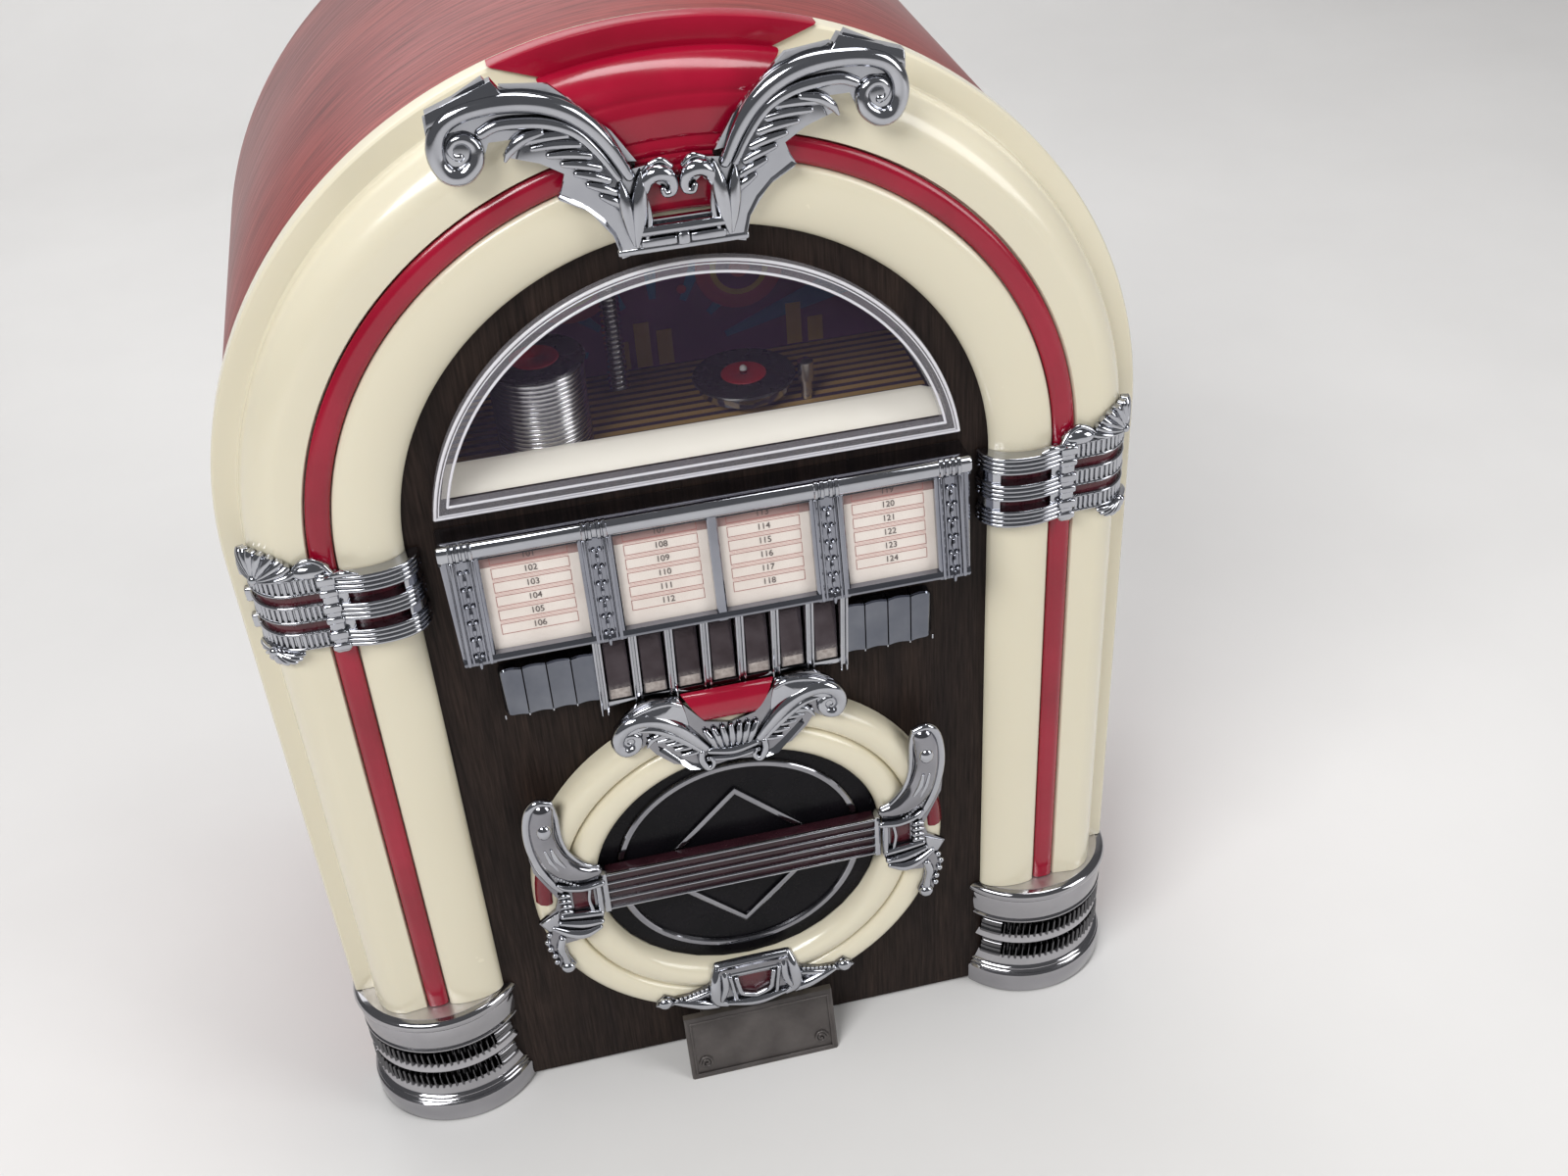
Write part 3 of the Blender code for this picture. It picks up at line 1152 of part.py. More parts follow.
def build_back():
    """Back panel with vents, power socket and aerial saddles."""
    side = INNER_RADIUS - GAP
    low = FLOOR + BASE_THICKNESS + GAP
    panel = prism("back_panel", arch_outline(side, low), BACK_FACE, CABINET_DEPTH, 1, BLACK)
    through = (BACK_FACE - OVERRUN, CABINET_DEPTH + OVERRUN)
    for vent in range(VENT_COUNT):
        z = VENT_BASE + vent * VENT_PITCH
        cut(panel, box(f"vent_cutter_{vent}", (-VENT_HALF, VENT_HALF), through, (z, z + VENT_HEIGHT)))
    socket = (SOCKET_X, 0, SOCKET_Z)
    join(panel, rod("socket", SOCKET_RADIUS, CABINET_DEPTH - SOCKET_DEPTH - SOCKET_FLOOR,
                    BACK_FACE + OVERLAP, 1, ROUND_STEPS,
                    spot=socket))
    cut(panel, rod("socket_cutter", SOCKET_BORE, CABINET_DEPTH - SOCKET_DEPTH, CABINET_DEPTH + OVERRUN, 1,
                   ROUND_STEPS, spot=socket))
    aerial_y = BACK_FACE - SADDLE_WALL - GAP - AERIAL_RADIUS
    reach = AERIAL_RADIUS + GAP + SADDLE_WALL
    for sign in (-1, 1):
        x = sign * SADDLE_X
        block = box(f"saddle_{sign}", (x - SADDLE_WIDTH / 2, x + SADDLE_WIDTH / 2),
                    (aerial_y - reach, BACK_FACE + OVERLAP),
                    (AERIAL_HEIGHT - reach, AERIAL_HEIGHT + reach))
        join(panel, block)
    cut(panel, rod("aerial_cutter", AERIAL_RADIUS + GAP, -AERIAL_HALF, AERIAL_HALF, 0, ROUND_STEPS,
                   spot=(0, aerial_y, AERIAL_HEIGHT)))
    rod("ferrite_rod", AERIAL_RADIUS, -AERIAL_HALF, AERIAL_HALF, 0, ROUND_STEPS, FERRITE,
        spot=(0, aerial_y, AERIAL_HEIGHT))
    for number, (x, z) in enumerate(back_screw_places()):
        cut(panel, rod(f"screw_cutter_{number}", SCREW_SHANK_RADIUS + GAP, *through, 1, SCREW_STEPS,
                       spot=(x, 0, z)))
    build_screws()


def build_screws():
    """Round-headed screws that hold the back panel."""
    head = CABINET_DEPTH + GAP
    tip = BACK_FACE - SCREW_LENGTH + GAP
    profile = ((0.0, tip), (SCREW_SHANK_RADIUS, tip), (SCREW_SHANK_RADIUS, head),
               (SCREW_HEAD_RADIUS, head),
               (SCREW_HEAD_RADIUS * SCREW_HEAD_SHARE, head + SCREW_HEAD_HEIGHT),
               (0.0, head + SCREW_HEAD_HEIGHT))
    for number, (x, z) in enumerate(back_screw_places(), 1):
        turned(f"back_screw_{number}", profile, 1, SCREW_STEPS, STEEL, spot=(x, 0, z))


def build_controls():
    """Control plate in the cabinet's side, with dial, pointer, knobs and switch."""
    face = CABINET_RADIUS - GAP
    shelf = face - CONTROL_PLATE
    flange_out = INNER_RADIUS - GAP
    flange_in = flange_out - CONTROL_FLANGE
    lap = CONTROL_LAP
    plate = box("control_plate", (flange_in + OVERLAP, face), (CONTROL_FRONT + GAP, CONTROL_BACK - GAP),
                (CONTROL_BOTTOM + GAP, CONTROL_TOP - GAP), BLACK)
    join(plate, box("control_flange", (flange_in, flange_out), (CONTROL_FRONT - lap, CONTROL_BACK + lap),
                    (CONTROL_BOTTOM - lap, CONTROL_TOP + lap)))
    through = (flange_in - OVERRUN, face + OVERRUN)
    cut(plate, box("dial_cutter", through, (DIAL_FRONT, DIAL_BACK), (DIAL_BOTTOM, DIAL_TOP)))
    for name, z in (("tuning", TUNING_Z), ("volume", VOLUME_Z)):
        cut(plate, rod(f"{name}_cutter", SHAFT_RADIUS + RUNNING_GAP, *through, 0, SHAFT_STEPS,
                       spot=(0, KNOB_Y, z)))
    neck = SWITCH_NECK / 2 + RUNNING_GAP
    room = SWITCH_TRAVEL / 2 + SWITCH_HEIGHT / 2 + RUNNING_GAP
    cut(plate, box("switch_cutter", through, (SWITCH_Y - neck, SWITCH_Y + neck),
                   (SWITCH_Z - room, SWITCH_Z + room)))
    board_face = BOARD_X + BOARD_THICKNESS
    half = STANDOFF_SIZE / 2
    for number, (y, z) in enumerate(STANDOFF_SPOTS):
        join(plate, box(f"standoff_{number}", (board_face + GAP, flange_in + OVERLAP),
                        (y - half, y + half), (z - half, z + half)))
    scale_out = flange_in - SCALE_STANDOFF
    margin = SCALE_MARGIN
    scale = box("dial_scale", (scale_out - SCALE_THICKNESS, scale_out),
                (DIAL_FRONT - margin, DIAL_BACK + margin),
                (DIAL_BOTTOM - margin, DIAL_TOP + margin), CREAM)
    for name, low in (("front", DIAL_FRONT - margin), ("back", DIAL_BACK + margin - POINTER_WIDTH)):
        join(scale, box(f"scale_rail_{name}", (scale_out - OVERLAP, flange_in - GAP),
                        (low, low + POINTER_WIDTH),
                        (DIAL_BOTTOM - margin, DIAL_TOP + margin)))
    build_dial(scale_out, flange_in)
    build_knobs(face, flange_in)
    build_board(board_face)


def build_dial(scale_out, flange_in):
    """Pointer that slides along the dial scale, between its rails."""
    reach = SCALE_MARGIN - POINTER_WIDTH - RUNNING_GAP
    top = DIAL_TOP - POINTER_TOP_MARGIN
    middle = (scale_out + flange_in) / 2
    low_x = scale_out + GAP
    spot = (0, 0, top)
    pointer = box("dial_pointer", (low_x, low_x + POINTER_THICKNESS),
                  (DIAL_FRONT - reach, DIAL_BACK + reach),
                  (-POINTER_WIDTH / 2, POINTER_WIDTH / 2), RED, spot)
    for name, y in (("front", DIAL_FRONT - reach), ("back", DIAL_BACK + reach - POINTER_WIDTH)):
        join(pointer, box(f"pointer_shoe_{name}", (low_x + OVERLAP / 4, middle + POINTER_THICKNESS),
                          (y + OVERLAP / 4, y + POINTER_WIDTH),
                          (-POINTER_REACH, POINTER_REACH), spot=spot))


def knob_mesh(name, face, shaft_length, z, pulley):
    """A fluted knob on its shaft, turned about X; a pulley ends the tuning shaft."""
    steps = KNOB_FLUTES * 2
    foot = face + KNOB_STAND
    head = foot + KNOB_LENGTH
    rings = []
    for x, size in ((foot, 1.0), (head - KNOB_CHAMFER, 1.0), (head, 1 - KNOB_CHAMFER / KNOB_RADIUS)):
        ring = []
        for step in range(steps):
            radius = KNOB_RADIUS * size * (1 if step % 2 else KNOB_FLUTE_SHARE)
            angle = math.tau * step / steps
            ring.append((x, radius * math.cos(angle), radius * math.sin(angle)))
        rings.append(ring)
    spot = (0, KNOB_Y, z)
    knob = sweep(name, rings, BLACK, spot=spot)
    end = foot - shaft_length
    join(knob, rod(f"{name}_shaft", SHAFT_RADIUS, end, foot + OVERLAP, 0, SHAFT_STEPS, spot=spot))
    if pulley:
        join(knob, rod(f"{name}_pulley", PULLEY_RADIUS, end, end + DRUM_THICKNESS, 0, SHAFT_STEPS,
                       spot=spot))
    return end


def build_knobs(face, flange_in):
    """Tuning knob, volume knob with its control, and band switch."""
    knob_mesh("tuning_knob", face, TUNING_SHAFT_LENGTH, TUNING_Z, True)
    end = knob_mesh("volume_knob", face, face + KNOB_STAND - flange_in + VOLUME_SHAFT_LENGTH, VOLUME_Z,
                    False)
    pot = rod("volume_control", POT_RADIUS, flange_in - GAP - POT_LENGTH, flange_in - GAP, 0, ROUND_STEPS,
              STEEL,
              spot=(0, KNOB_Y, VOLUME_Z))
    cut(pot, rod("pot_cutter", SHAFT_RADIUS + GAP, end - GAP, flange_in + OVERRUN, 0, SHAFT_STEPS,
                 spot=(0, KNOB_Y, VOLUME_Z)))
    half = SWITCH_NECK / 2
    tall = SWITCH_HEIGHT / 2
    foot = flange_in - GAP - SWITCH_FOOT
    rest = SWITCH_Z - SWITCH_TRAVEL / 2
    spot = (0, SWITCH_Y, rest)
    switch = box("band_switch", (foot + OVERLAP, face + KNOB_STAND + OVERLAP), (-half, half),
                 (-tall, tall), CHROME, spot)
    join(switch, box("switch_cap", (face + KNOB_STAND, face + KNOB_STAND + SWITCH_RISE),
                     (-SWITCH_DEPTH / 2, SWITCH_DEPTH / 2),
                     (-tall + OVERLAP / 4, tall - OVERLAP / 4), spot=spot))
    join(switch, box("switch_foot", (foot, foot + SWITCH_FOOT), (-SWITCH_DEPTH / 2, SWITCH_DEPTH / 2),
                     (-tall - OVERLAP, tall + OVERLAP), spot=spot))


def build_board(face):
    """Main board with its parts, among them the tuning capacitor, and the tuning drum."""
    board = box("main_board", (BOARD_X, face), (BOARD_FRONT, BOARD_BACK), (BOARD_BOTTOM, BOARD_TOP),
                BOARD)
    half = COIL_CAN_SIZE / 2
    for number, (y, z) in enumerate(COIL_CAN_SPOTS):
        join(board, box(f"coil_can_{number}", (face - PART_BURY, face + COIL_CAN_HEIGHT),
                        (y - half, y + half), (z - half, z + half)))
    for number, (y, z) in enumerate(CAPACITOR_SPOTS):
        join(board, rod(f"smoothing_{number}", CAPACITOR_RADIUS, face - PART_BURY,
                        face + CAPACITOR_HEIGHT, 0, SCREW_STEPS,
                        spot=(0, y, z)))
    half = TUNER_SIZE / 2
    top = face + TUNER_DEPTH
    join(board, box("tuning_capacitor", (face - PART_BURY, top), (DRUM_Y - half, DRUM_Y + half),
                    (DRUM_Z - half, DRUM_Z + half)))
    shaft = DRUM_HUB_RADIUS / 2
    cut(board, rod("tuner_cutter", shaft + GAP, top - DRUM_HUB_LENGTH - GAP, top + OVERRUN, 0,
                   SPEAKER_STEPS, spot=(0, DRUM_Y, DRUM_Z)))
    drum_low = top + RUNNING_GAP
    drum_high = drum_low + DRUM_THICKNESS
    groove = DRUM_THICKNESS / 4
    profile = ((0.0, top - DRUM_HUB_LENGTH), (shaft, top - DRUM_HUB_LENGTH), (shaft, drum_low),
               (DRUM_RADIUS, drum_low),
               (DRUM_RADIUS - groove, (drum_low + drum_high) / 2), (DRUM_RADIUS, drum_high),
               (DRUM_HUB_RADIUS, drum_high),
               (DRUM_HUB_RADIUS, drum_high + DRUM_HUB_LENGTH), (0.0, drum_high + DRUM_HUB_LENGTH))
    turned("tuning_drum", profile, 0, SPEAKER_STEPS, CREAM, spot=(0, DRUM_Y, DRUM_Z))


def main():
    clear_scene()
    centre = bpy.data.objects.new("arch_centre", None)
    bpy.context.collection.objects.link(centre)
    centre.location = (0, -FACE_TO_MIDDLE, ARCH_HEIGHT)
    build_front_panel()
    build_frame()
    build_crown()
    build_top_ornament()
    for name, side in (("left", -1), ("right", 1)):
        build_band(f"column_band_{name}", side)
        build_foot(f"foot_{name}", side)
    build_window()
    build_display()
    build_titles()
    build_selector()
    build_ring()
    build_grille()
    build_speaker()
    build_cabinet()
    build_controls()


main()
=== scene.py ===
"""Looks of the tabletop jukebox radio: every finish, and the shapes that show.

Places are in millimetres from the centre of the arch, on the front face of the
front panel: x to the right, y to the back, z up. place() turns them into the
frame's metres.
"""
import math

import bmesh
import bpy
from mathutils import Matrix, Vector


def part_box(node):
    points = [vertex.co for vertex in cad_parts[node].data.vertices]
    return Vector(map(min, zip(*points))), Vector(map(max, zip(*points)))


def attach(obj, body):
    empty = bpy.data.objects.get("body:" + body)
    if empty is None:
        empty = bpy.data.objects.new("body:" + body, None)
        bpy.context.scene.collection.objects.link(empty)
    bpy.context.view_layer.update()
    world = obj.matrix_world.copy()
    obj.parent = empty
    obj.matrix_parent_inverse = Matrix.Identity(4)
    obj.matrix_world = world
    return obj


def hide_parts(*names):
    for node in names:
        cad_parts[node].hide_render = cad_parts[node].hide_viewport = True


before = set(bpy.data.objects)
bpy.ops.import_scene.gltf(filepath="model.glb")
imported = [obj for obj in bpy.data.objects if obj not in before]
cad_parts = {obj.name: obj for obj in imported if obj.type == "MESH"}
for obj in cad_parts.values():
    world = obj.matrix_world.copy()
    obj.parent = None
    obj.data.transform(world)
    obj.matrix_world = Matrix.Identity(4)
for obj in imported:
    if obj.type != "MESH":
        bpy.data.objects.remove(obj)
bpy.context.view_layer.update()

# The arch's centre and main sizes, read from the frame
MM = 0.001
FRAME_LOW, FRAME_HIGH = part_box("arch_frame")
FRAME_RADIUS = (FRAME_HIGH[0] - FRAME_LOW[0]) / 2 / MM
CENTRE_Z = FRAME_HIGH[2] / MM - FRAME_RADIUS
CENTRE_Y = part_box("front_panel")[0][1] / MM
FLOOR = -CENTRE_Z
LEG_END = FRAME_LOW[2] / MM - CENTRE_Z

# Depth at which the pieces on the front stand, just off the panel
SEAT = -0.3


def place(x, y, z):
    """A point in millimetres from the arch's centre, in the frame's metres."""
    return Vector((x * MM, (y + CENTRE_Y) * MM, (z + CENTRE_Z) * MM))


def node_box(name):
    """A node's lowest and highest corners, in millimetres from the arch's centre."""
    low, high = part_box(name)
    return ([low[0] / MM, low[1] / MM - CENTRE_Y, low[2] / MM - CENTRE_Z],
            [high[0] / MM, high[1] / MM - CENTRE_Y, high[2] / MM - CENTRE_Z])


def centre_of(low, high):
    """The middle of a box."""
    return [(a + b) / 2 for a, b in zip(low, high)]


def circle(steps):
    """The angles of a whole turn."""
    return [2 * math.pi * step / steps for step in range(steps)]


# Materials
class Finish:
    """A material in the making: its shader, its nodes and the links between them."""

    def __init__(self, name):
        self.material = bpy.data.materials.new("scene_" + name)
        self.material.use_nodes = True
        self.tree = self.material.node_tree
        self.shader = self.tree.nodes["Principled BSDF"]

    def feed(self, item, inputs):
        """Link or set the sockets of a node, by name or by number."""
        for socket, value in inputs.items():
            if isinstance(value, bpy.types.NodeSocket):
                self.tree.links.new(value, item.inputs[socket])
            else:
                item.inputs[socket].default_value = value

    def shade(self, inputs):
        """Link or set sockets of the shader."""
        self.feed(self.shader, inputs)
        return self

    def node(self, kind, inputs, output=0, **settings):
        """One output of a new node."""
        item = self.tree.nodes.new("ShaderNode" + kind)
        for key, value in settings.items():
            setattr(item, key, value)
        self.feed(item, inputs)
        return item.outputs[output]

    def coordinates(self, stretch=(1.0, 1.0, 1.0)):
        """Object coordinates, stretched."""
        source = self.node("TexCoord", {}, "Object")
        return self.node("Mapping", {"Vector": source, "Scale": stretch}, "Vector")

    def noise(self, vector, scale, detail=4.0, roughness=0.55):
        """Noise of a given scale."""
        return self.node("TexNoise", {"Vector": vector, "Scale": scale, "Detail": detail,
                                      "Roughness": roughness}, "Fac")

    def ramp(self, value, stops, blend="LINEAR"):
        """Colours or greys along a value."""
        color = self.node("ValToRGB", {"Fac": value}, "Color")
        band = color.node.color_ramp
        band.interpolation = blend
        while len(band.elements) < len(stops):
            band.elements.new(0.5)
        for element, (spot, shade) in zip(band.elements, stops):
            element.position = spot
            element.color = (*shade, 1.0) if isinstance(shade, tuple) else (shade, shade, shade, 1.0)
        return color

    def bump(self, height, strength, distance=0.0002):
        """A fine relief from a height."""
        return self.node("Bump", {"Height": height, "Strength": strength, "Distance": distance}, "Normal")

    def calc(self, operation, *numbers):
        """A sum with one or two numbers."""
        return self.node("Math", dict(enumerate(numbers)), operation=operation)

    def mix(self, share, first, second, blend="MIX"):
        """Two colours mixed or multiplied."""
        inputs = {"Fac": share, "Color1": first, "Color2": second}
        return self.node("MixRGB", inputs, "Color", blend_type=blend)


def plain(name, dark, light, scale, roughness, metallic=0.0, coat=0.0, rise=0.08, grain=900.0):
    """A finish with slow colour variation, uneven gloss and a fine skin."""
    finish = Finish(name)
    vector = finish.coordinates()
    color = finish.ramp(finish.noise(vector, scale), ((0.3, dark), (0.7, light)))
    gloss = finish.ramp(finish.noise(vector, scale * 3, 6.0), ((0.3, roughness[0]), (0.75, roughness[1])))
    relief = finish.bump(finish.noise(vector, grain, 3.0), rise)
    return finish.shade({"Base Color": color, "Roughness": gloss, "Normal": relief, "Metallic": metallic,
                         "Coat Weight": coat, "Coat Roughness": 0.06})


def chrome(name, dark, light):
    """Vacuum-plated chrome: bright, with faint haze, and grime with painted shade darkening it where it is
    hollow.
    """
    finish = Finish(name)
    vector = finish.coordinates()
    # painted shade: ambient occlusion darkens the colour in hollows and creases, partly grime and partly the
    # shade that falls there
    hollow = finish.node("AmbientOcclusion", {"Distance": 0.0022}, "AO", samples=6)
    hollow_shade_and_grime = finish.ramp(hollow, ((0.12, 0.10), (0.62, 1.0)))
    gloss = finish.ramp(finish.noise(vector, 160.0, 5.0), ((0.35, 0.05), (0.75, 0.13)))
    rough = finish.mix(hollow_shade_and_grime, (0.45, 0.45, 0.45, 1.0), gloss)
    color = finish.ramp(finish.noise(vector, 60.0), ((0.3, dark), (0.7, light)))
    relief = finish.bump(finish.noise(vector, 240.0, 2.0), 0.05)
    return finish.shade({"Base Color": finish.mix(1.0, color, hollow_shade_and_grime, "MULTIPLY"), "Roughness": rough,
                         "Normal": relief, "Metallic": 1.0})


def foot_chrome():
    """Chrome, darker than the rest for painted reflection, with painted shade on its two sunk rows of teeth
    and paler dusty slopes under them.
    """
    finish = chrome("foot_chrome", (0.36, 0.355, 0.375), (0.43, 0.425, 0.445))
    color = finish.shader.inputs["Base Color"].links[0].from_socket
    spot = finish.node("TexCoord", {}, "Object")
    height = finish.node("SeparateXYZ", {"Vector": spot}, "Z")
    level = finish.node("MapRange", {"Value": height, "From Max": 0.050}, "Result")
    # painted shade: the rows of teeth are darkened by height; the slopes under them are paler with dust
    rows = finish.ramp(level, ((0.0, 1.0), (0.226, 1.15), (0.292, 0.34), (0.404, 1.15), (0.484, 0.34),
                               (0.60, 1.0)), "CONSTANT")
    return finish.shade({"Base Color": finish.mix(1.0, color, rows, "MULTIPLY")})


def key_finish():
    """Plated key, darkened with painted dark reflection, duller and paler where dust lies along its lower
    edge.
    """
    finish = Finish("key")
    spot = finish.node("TexCoord", {}, "Object")
    share = finish.node("TexCoord", {}, "Generated")
    height = finish.node("SeparateXYZ", {"Vector": share}, "Z")
    level = finish.node("MapRange", {"Value": height, "From Min": 0.05, "From Max": 0.24, "To Min": 1.0,
                                     "To Max": 0.0}, "Result")
    grit = finish.ramp(finish.noise(spot, 900.0, 5.0, 0.7), ((0.40, 0.25), (0.62, 1.0)))
    dust = finish.calc("MULTIPLY", level, grit)
    # painted reflection: a very dark metal colour stands in for the dark reflections on the keys
    dark_reflection_shine = finish.ramp(finish.noise(spot, 120.0),
                        ((0.3, (0.045, 0.034, 0.038)), (0.7, (0.085, 0.070, 0.078))))
    rough = finish.ramp(dust, ((0.0, 0.10), (0.7, 0.75)))
    return finish.shade({"Base Color": finish.mix(dust, dark_reflection_shine, (0.42, 0.39, 0.38, 1.0)), "Roughness": rough,
                         "Normal": finish.bump(grit, 0.10), "Metallic": 0.9})


def ivory():
    """Glossy moulded ivory plastic with soft yellowing and fine dust marks."""
    finish = Finish("ivory")
    vector = finish.coordinates()
    color = finish.ramp(finish.noise(vector, 9.0, 2.0),
                        ((0.2, (0.725, 0.665, 0.505)), (0.8, (0.755, 0.70, 0.545))))
    marks = finish.ramp(finish.noise(vector, 520.0, 4.0, 0.7), ((0.0, 1.0), (0.70, 1.0), (0.82, 0.82)))
    gloss = finish.ramp(finish.noise(vector, 90.0, 6.0), ((0.3, 0.20), (0.75, 0.28)))
    relief = finish.bump(finish.noise(vector, 700.0, 3.0), 0.05, 0.0001)
    return finish.shade({
        "Base Color": finish.mix(0.6, color, marks, "MULTIPLY"), "Roughness": gloss, "Normal": relief,
        "Coat Weight": 0.35, "Coat Roughness": 0.10, "Subsurface Weight": 0.06,
        "Subsurface Radius": (0.004, 0.003, 0.002), "Subsurface Scale": 1.0})


def wood(finish, slow, colors, grain, lines, gloss, rise):
    """Boards in two colours with darker and lighter grain lines, and gloss that follows the grain."""
    base = finish.ramp(slow, colors)
    color = finish.mix(1.0, base, finish.ramp(grain, lines), "MULTIPLY")
    return finish.shade({"Base Color": color, "Roughness": finish.ramp(grain, gloss),
                         "Normal": finish.bump(grain, rise)})


def mahogany():
    """Reddish wood print with short dark grain running round the arch."""
    finish = Finish("mahogany")
    spot = finish.node("TexCoord", {}, "Object")
    x, y, z = finish.node("SeparateXYZ", {"Vector": spot}).node.outputs
    height = finish.calc("SUBTRACT", z, CENTRE_Z * MM)
    angle = finish.calc("ARCTAN2", finish.calc("MAXIMUM", height, 0.0), x)
    along = finish.calc("MULTIPLY", angle, 0.115)
    run = finish.calc("ADD", along, finish.calc("MINIMUM", height, 0.0))
    flat = finish.node("CombineXYZ", {"X": run, "Y": y})

    def streaks(stretch, detail, roughness=0.55):
        vector = finish.node("Mapping", {"Vector": flat, "Scale": stretch})
        return finish.noise(vector, 1.0, detail, roughness)

    grain = streaks((40.0, 900.0, 1.0), 5.0, 0.6)
    slow = streaks((9.0, 60.0, 1.0), 4.0)
    wood(finish, slow, ((0.25, (0.17, 0.022, 0.024)), (0.75, (0.29, 0.048, 0.042))),
         grain, ((0.36, 0.55), (0.52, 1.0), (0.70, 1.25)), ((0.3, 0.46), (0.7, 0.34)), 0.25)
    return finish.shade({"Coat Weight": 0.15, "Coat Roughness": 0.30})


def dark_wood():
    """Very dark brown board with fine upright grain."""
    finish = Finish("dark_wood")
    grain = finish.noise(finish.coordinates((1400.0, 1400.0, 60.0)), 1.0, 5.0, 0.65)
    slow = finish.noise(finish.coordinates((120.0, 120.0, 14.0)), 1.0, 3.0)
    wood(finish, slow, ((0.3, (0.013, 0.008, 0.007)), (0.7, (0.028, 0.017, 0.013))),
         grain, ((0.35, 0.45), (0.55, 1.0), (0.75, 1.7)), ((0.3, 0.62), (0.7, 0.46)), 0.4)
    return finish.shade({"Specular IOR Level": 0.15})


def clear(name, color, alpha, roughness, coat):
    """Clear or smoked plastic: mostly see-through, with glossy reflections and faint scuffs."""
    finish = Finish(name)
    vector = finish.coordinates()
    scuff = finish.noise(vector, 260.0, 6.0, 0.7)
    gloss = finish.ramp(scuff, ((0.35, roughness), (0.8, roughness + 0.14)))
    tint = finish.ramp(finish.noise(vector, 40.0), ((0.3, color), (0.7, tuple(c * 1.12 for c in color))))
    return finish.shade({"Base Color": tint, "Roughness": gloss, "Alpha": alpha, "IOR": 1.49,
                         "Coat Weight": coat, "Coat Roughness": 0.03})


def stripes():
    """Gold and dark stripes running left and right, wider to the front."""
    finish = Finish("stripes")
    spot = finish.node("TexCoord", {}, "Object")
    depth = finish.node("SeparateXYZ", {"Vector": spot}, "Y")
    back = finish.calc("ADD", depth, -CENTRE_Y * MM)
    count = finish.calc("MULTIPLY", finish.calc("POWER", back, 1.25), 520.0)
    dark, gold = (0.035, 0.02, 0.05), (0.34, 0.21, 0.07)
    color = finish.ramp(finish.calc("FRACT", count), (
        (0.0, dark), (0.38, (0.04, 0.025, 0.055)), (0.44, gold), (0.93, (0.40, 0.26, 0.09)), (0.99, dark)))
    fleck = finish.noise(spot, 700.0)
    return finish.shade({"Base Color": color, "Roughness": finish.ramp(fleck, ((0.3, 0.45), (0.7, 0.62))),
                         "Normal": finish.bump(fleck, 0.1)})


CHROME = chrome("chrome", (0.43, 0.44, 0.48), (0.51, 0.52, 0.555))
# darker copies of the chrome: painted dark reflection on the end plates and the title frame, painted shade on
# the trim, horn bodies and sheets under the ornaments
DARK_REFLECTION_CHROME = chrome("chrome_painted_dark_reflection", (0.13, 0.14, 0.170), (0.21, 0.22, 0.250))
HOLDER_CHROME_DARK_REFLECTION = chrome("holder_chrome_painted_dark_reflection", (0.27, 0.28, 0.325), (0.36, 0.37, 0.415))
SHADED_TRIM_CHROME = chrome("trim_chrome_painted_shade", (0.27, 0.27, 0.295), (0.35, 0.35, 0.375))
FOOT_CHROME_PAINTED_SHADE = foot_chrome()
KEY = key_finish()
IVORY = ivory()
MAHOGANY = mahogany()
DARK_WOOD = dark_wood()
STRIPES = stripes()
CLEAR = clear("clear", (0.50, 0.48, 0.52), 0.16, 0.03, 0.35)
# painted highlight: whiter, more opaque plastic for the bright glints along the rim's edges
CLEAR_EDGE_PAINTED_GLINT = clear("clear_edge_painted_glint", (0.93, 0.92, 0.97), 0.66, 0.04, 1.0)
SMOKE = clear("smoke", (0.12, 0.09, 0.16), 0.06, 0.03, 0.6)
GLASS = clear("bulb", (0.85, 0.80, 0.66), 0.55, 0.05, 1.0)

# Plastics
RED = plain("red", (0.24, 0.002, 0.016), (0.36, 0.004, 0.028), 30.0, (0.14, 0.24), coat=0.15, rise=0.04,
            grain=300.0)
# painted shade: the red plastic darkened for the tongues, which sit in shade
RED_IN_PAINTED_SHADE = plain("red_painted_shade", (0.13, 0.002, 0.010), (0.19, 0.004, 0.016), 60.0, (0.14, 0.24))
# painted shade: the red plastic darkened for what is seen through slots and windows
SLOT_RED_PAINTED_SHADE = plain("slot_red_painted_shade", (0.060, 0.006, 0.012), (0.10, 0.010, 0.018), 200.0, (0.22, 0.40), coat=0.3)
VINYL = plain("record", (0.010, 0.009, 0.010), (0.022, 0.020, 0.022), 60.0, (0.22, 0.34), rise=0.1)
BLACK = plain("black", (0.010, 0.010, 0.011), (0.022, 0.021, 0.022), 60.0, (0.38, 0.55), rise=0.25,
              grain=1500.0)
BOX_BLACK = plain("box_black", (0.006, 0.005, 0.008), (0.012, 0.010, 0.014), 40.0, (0.4, 0.6))
GRILLE_BLACK = plain("grille_black", (0.003, 0.003, 0.004), (0.007, 0.006, 0.008), 60.0, (0.22, 0.34),
                     rise=0.1)
GRILLE_BLACK.shade({"Specular IOR Level": 0.12})
# painted shade and reflection: near-black red for the grooves between the cross bar's ribs
GROOVE_PAINTED_SHADE = plain("groove", (0.020, 0.006, 0.009), (0.034, 0.010, 0.015), 200.0, (0.2, 0.3))
WORN_EDGE = plain("worn_edge", (0.26, 0.22, 0.20), (0.50, 0.45, 0.42), 700.0, (0.6, 0.8), rise=0.3)
LEDGE_PAINTED_GLOW = plain("ledge", (0.86, 0.83, 0.74), (0.92, 0.89, 0.81), 30.0, (0.28, 0.42), coat=0.2)
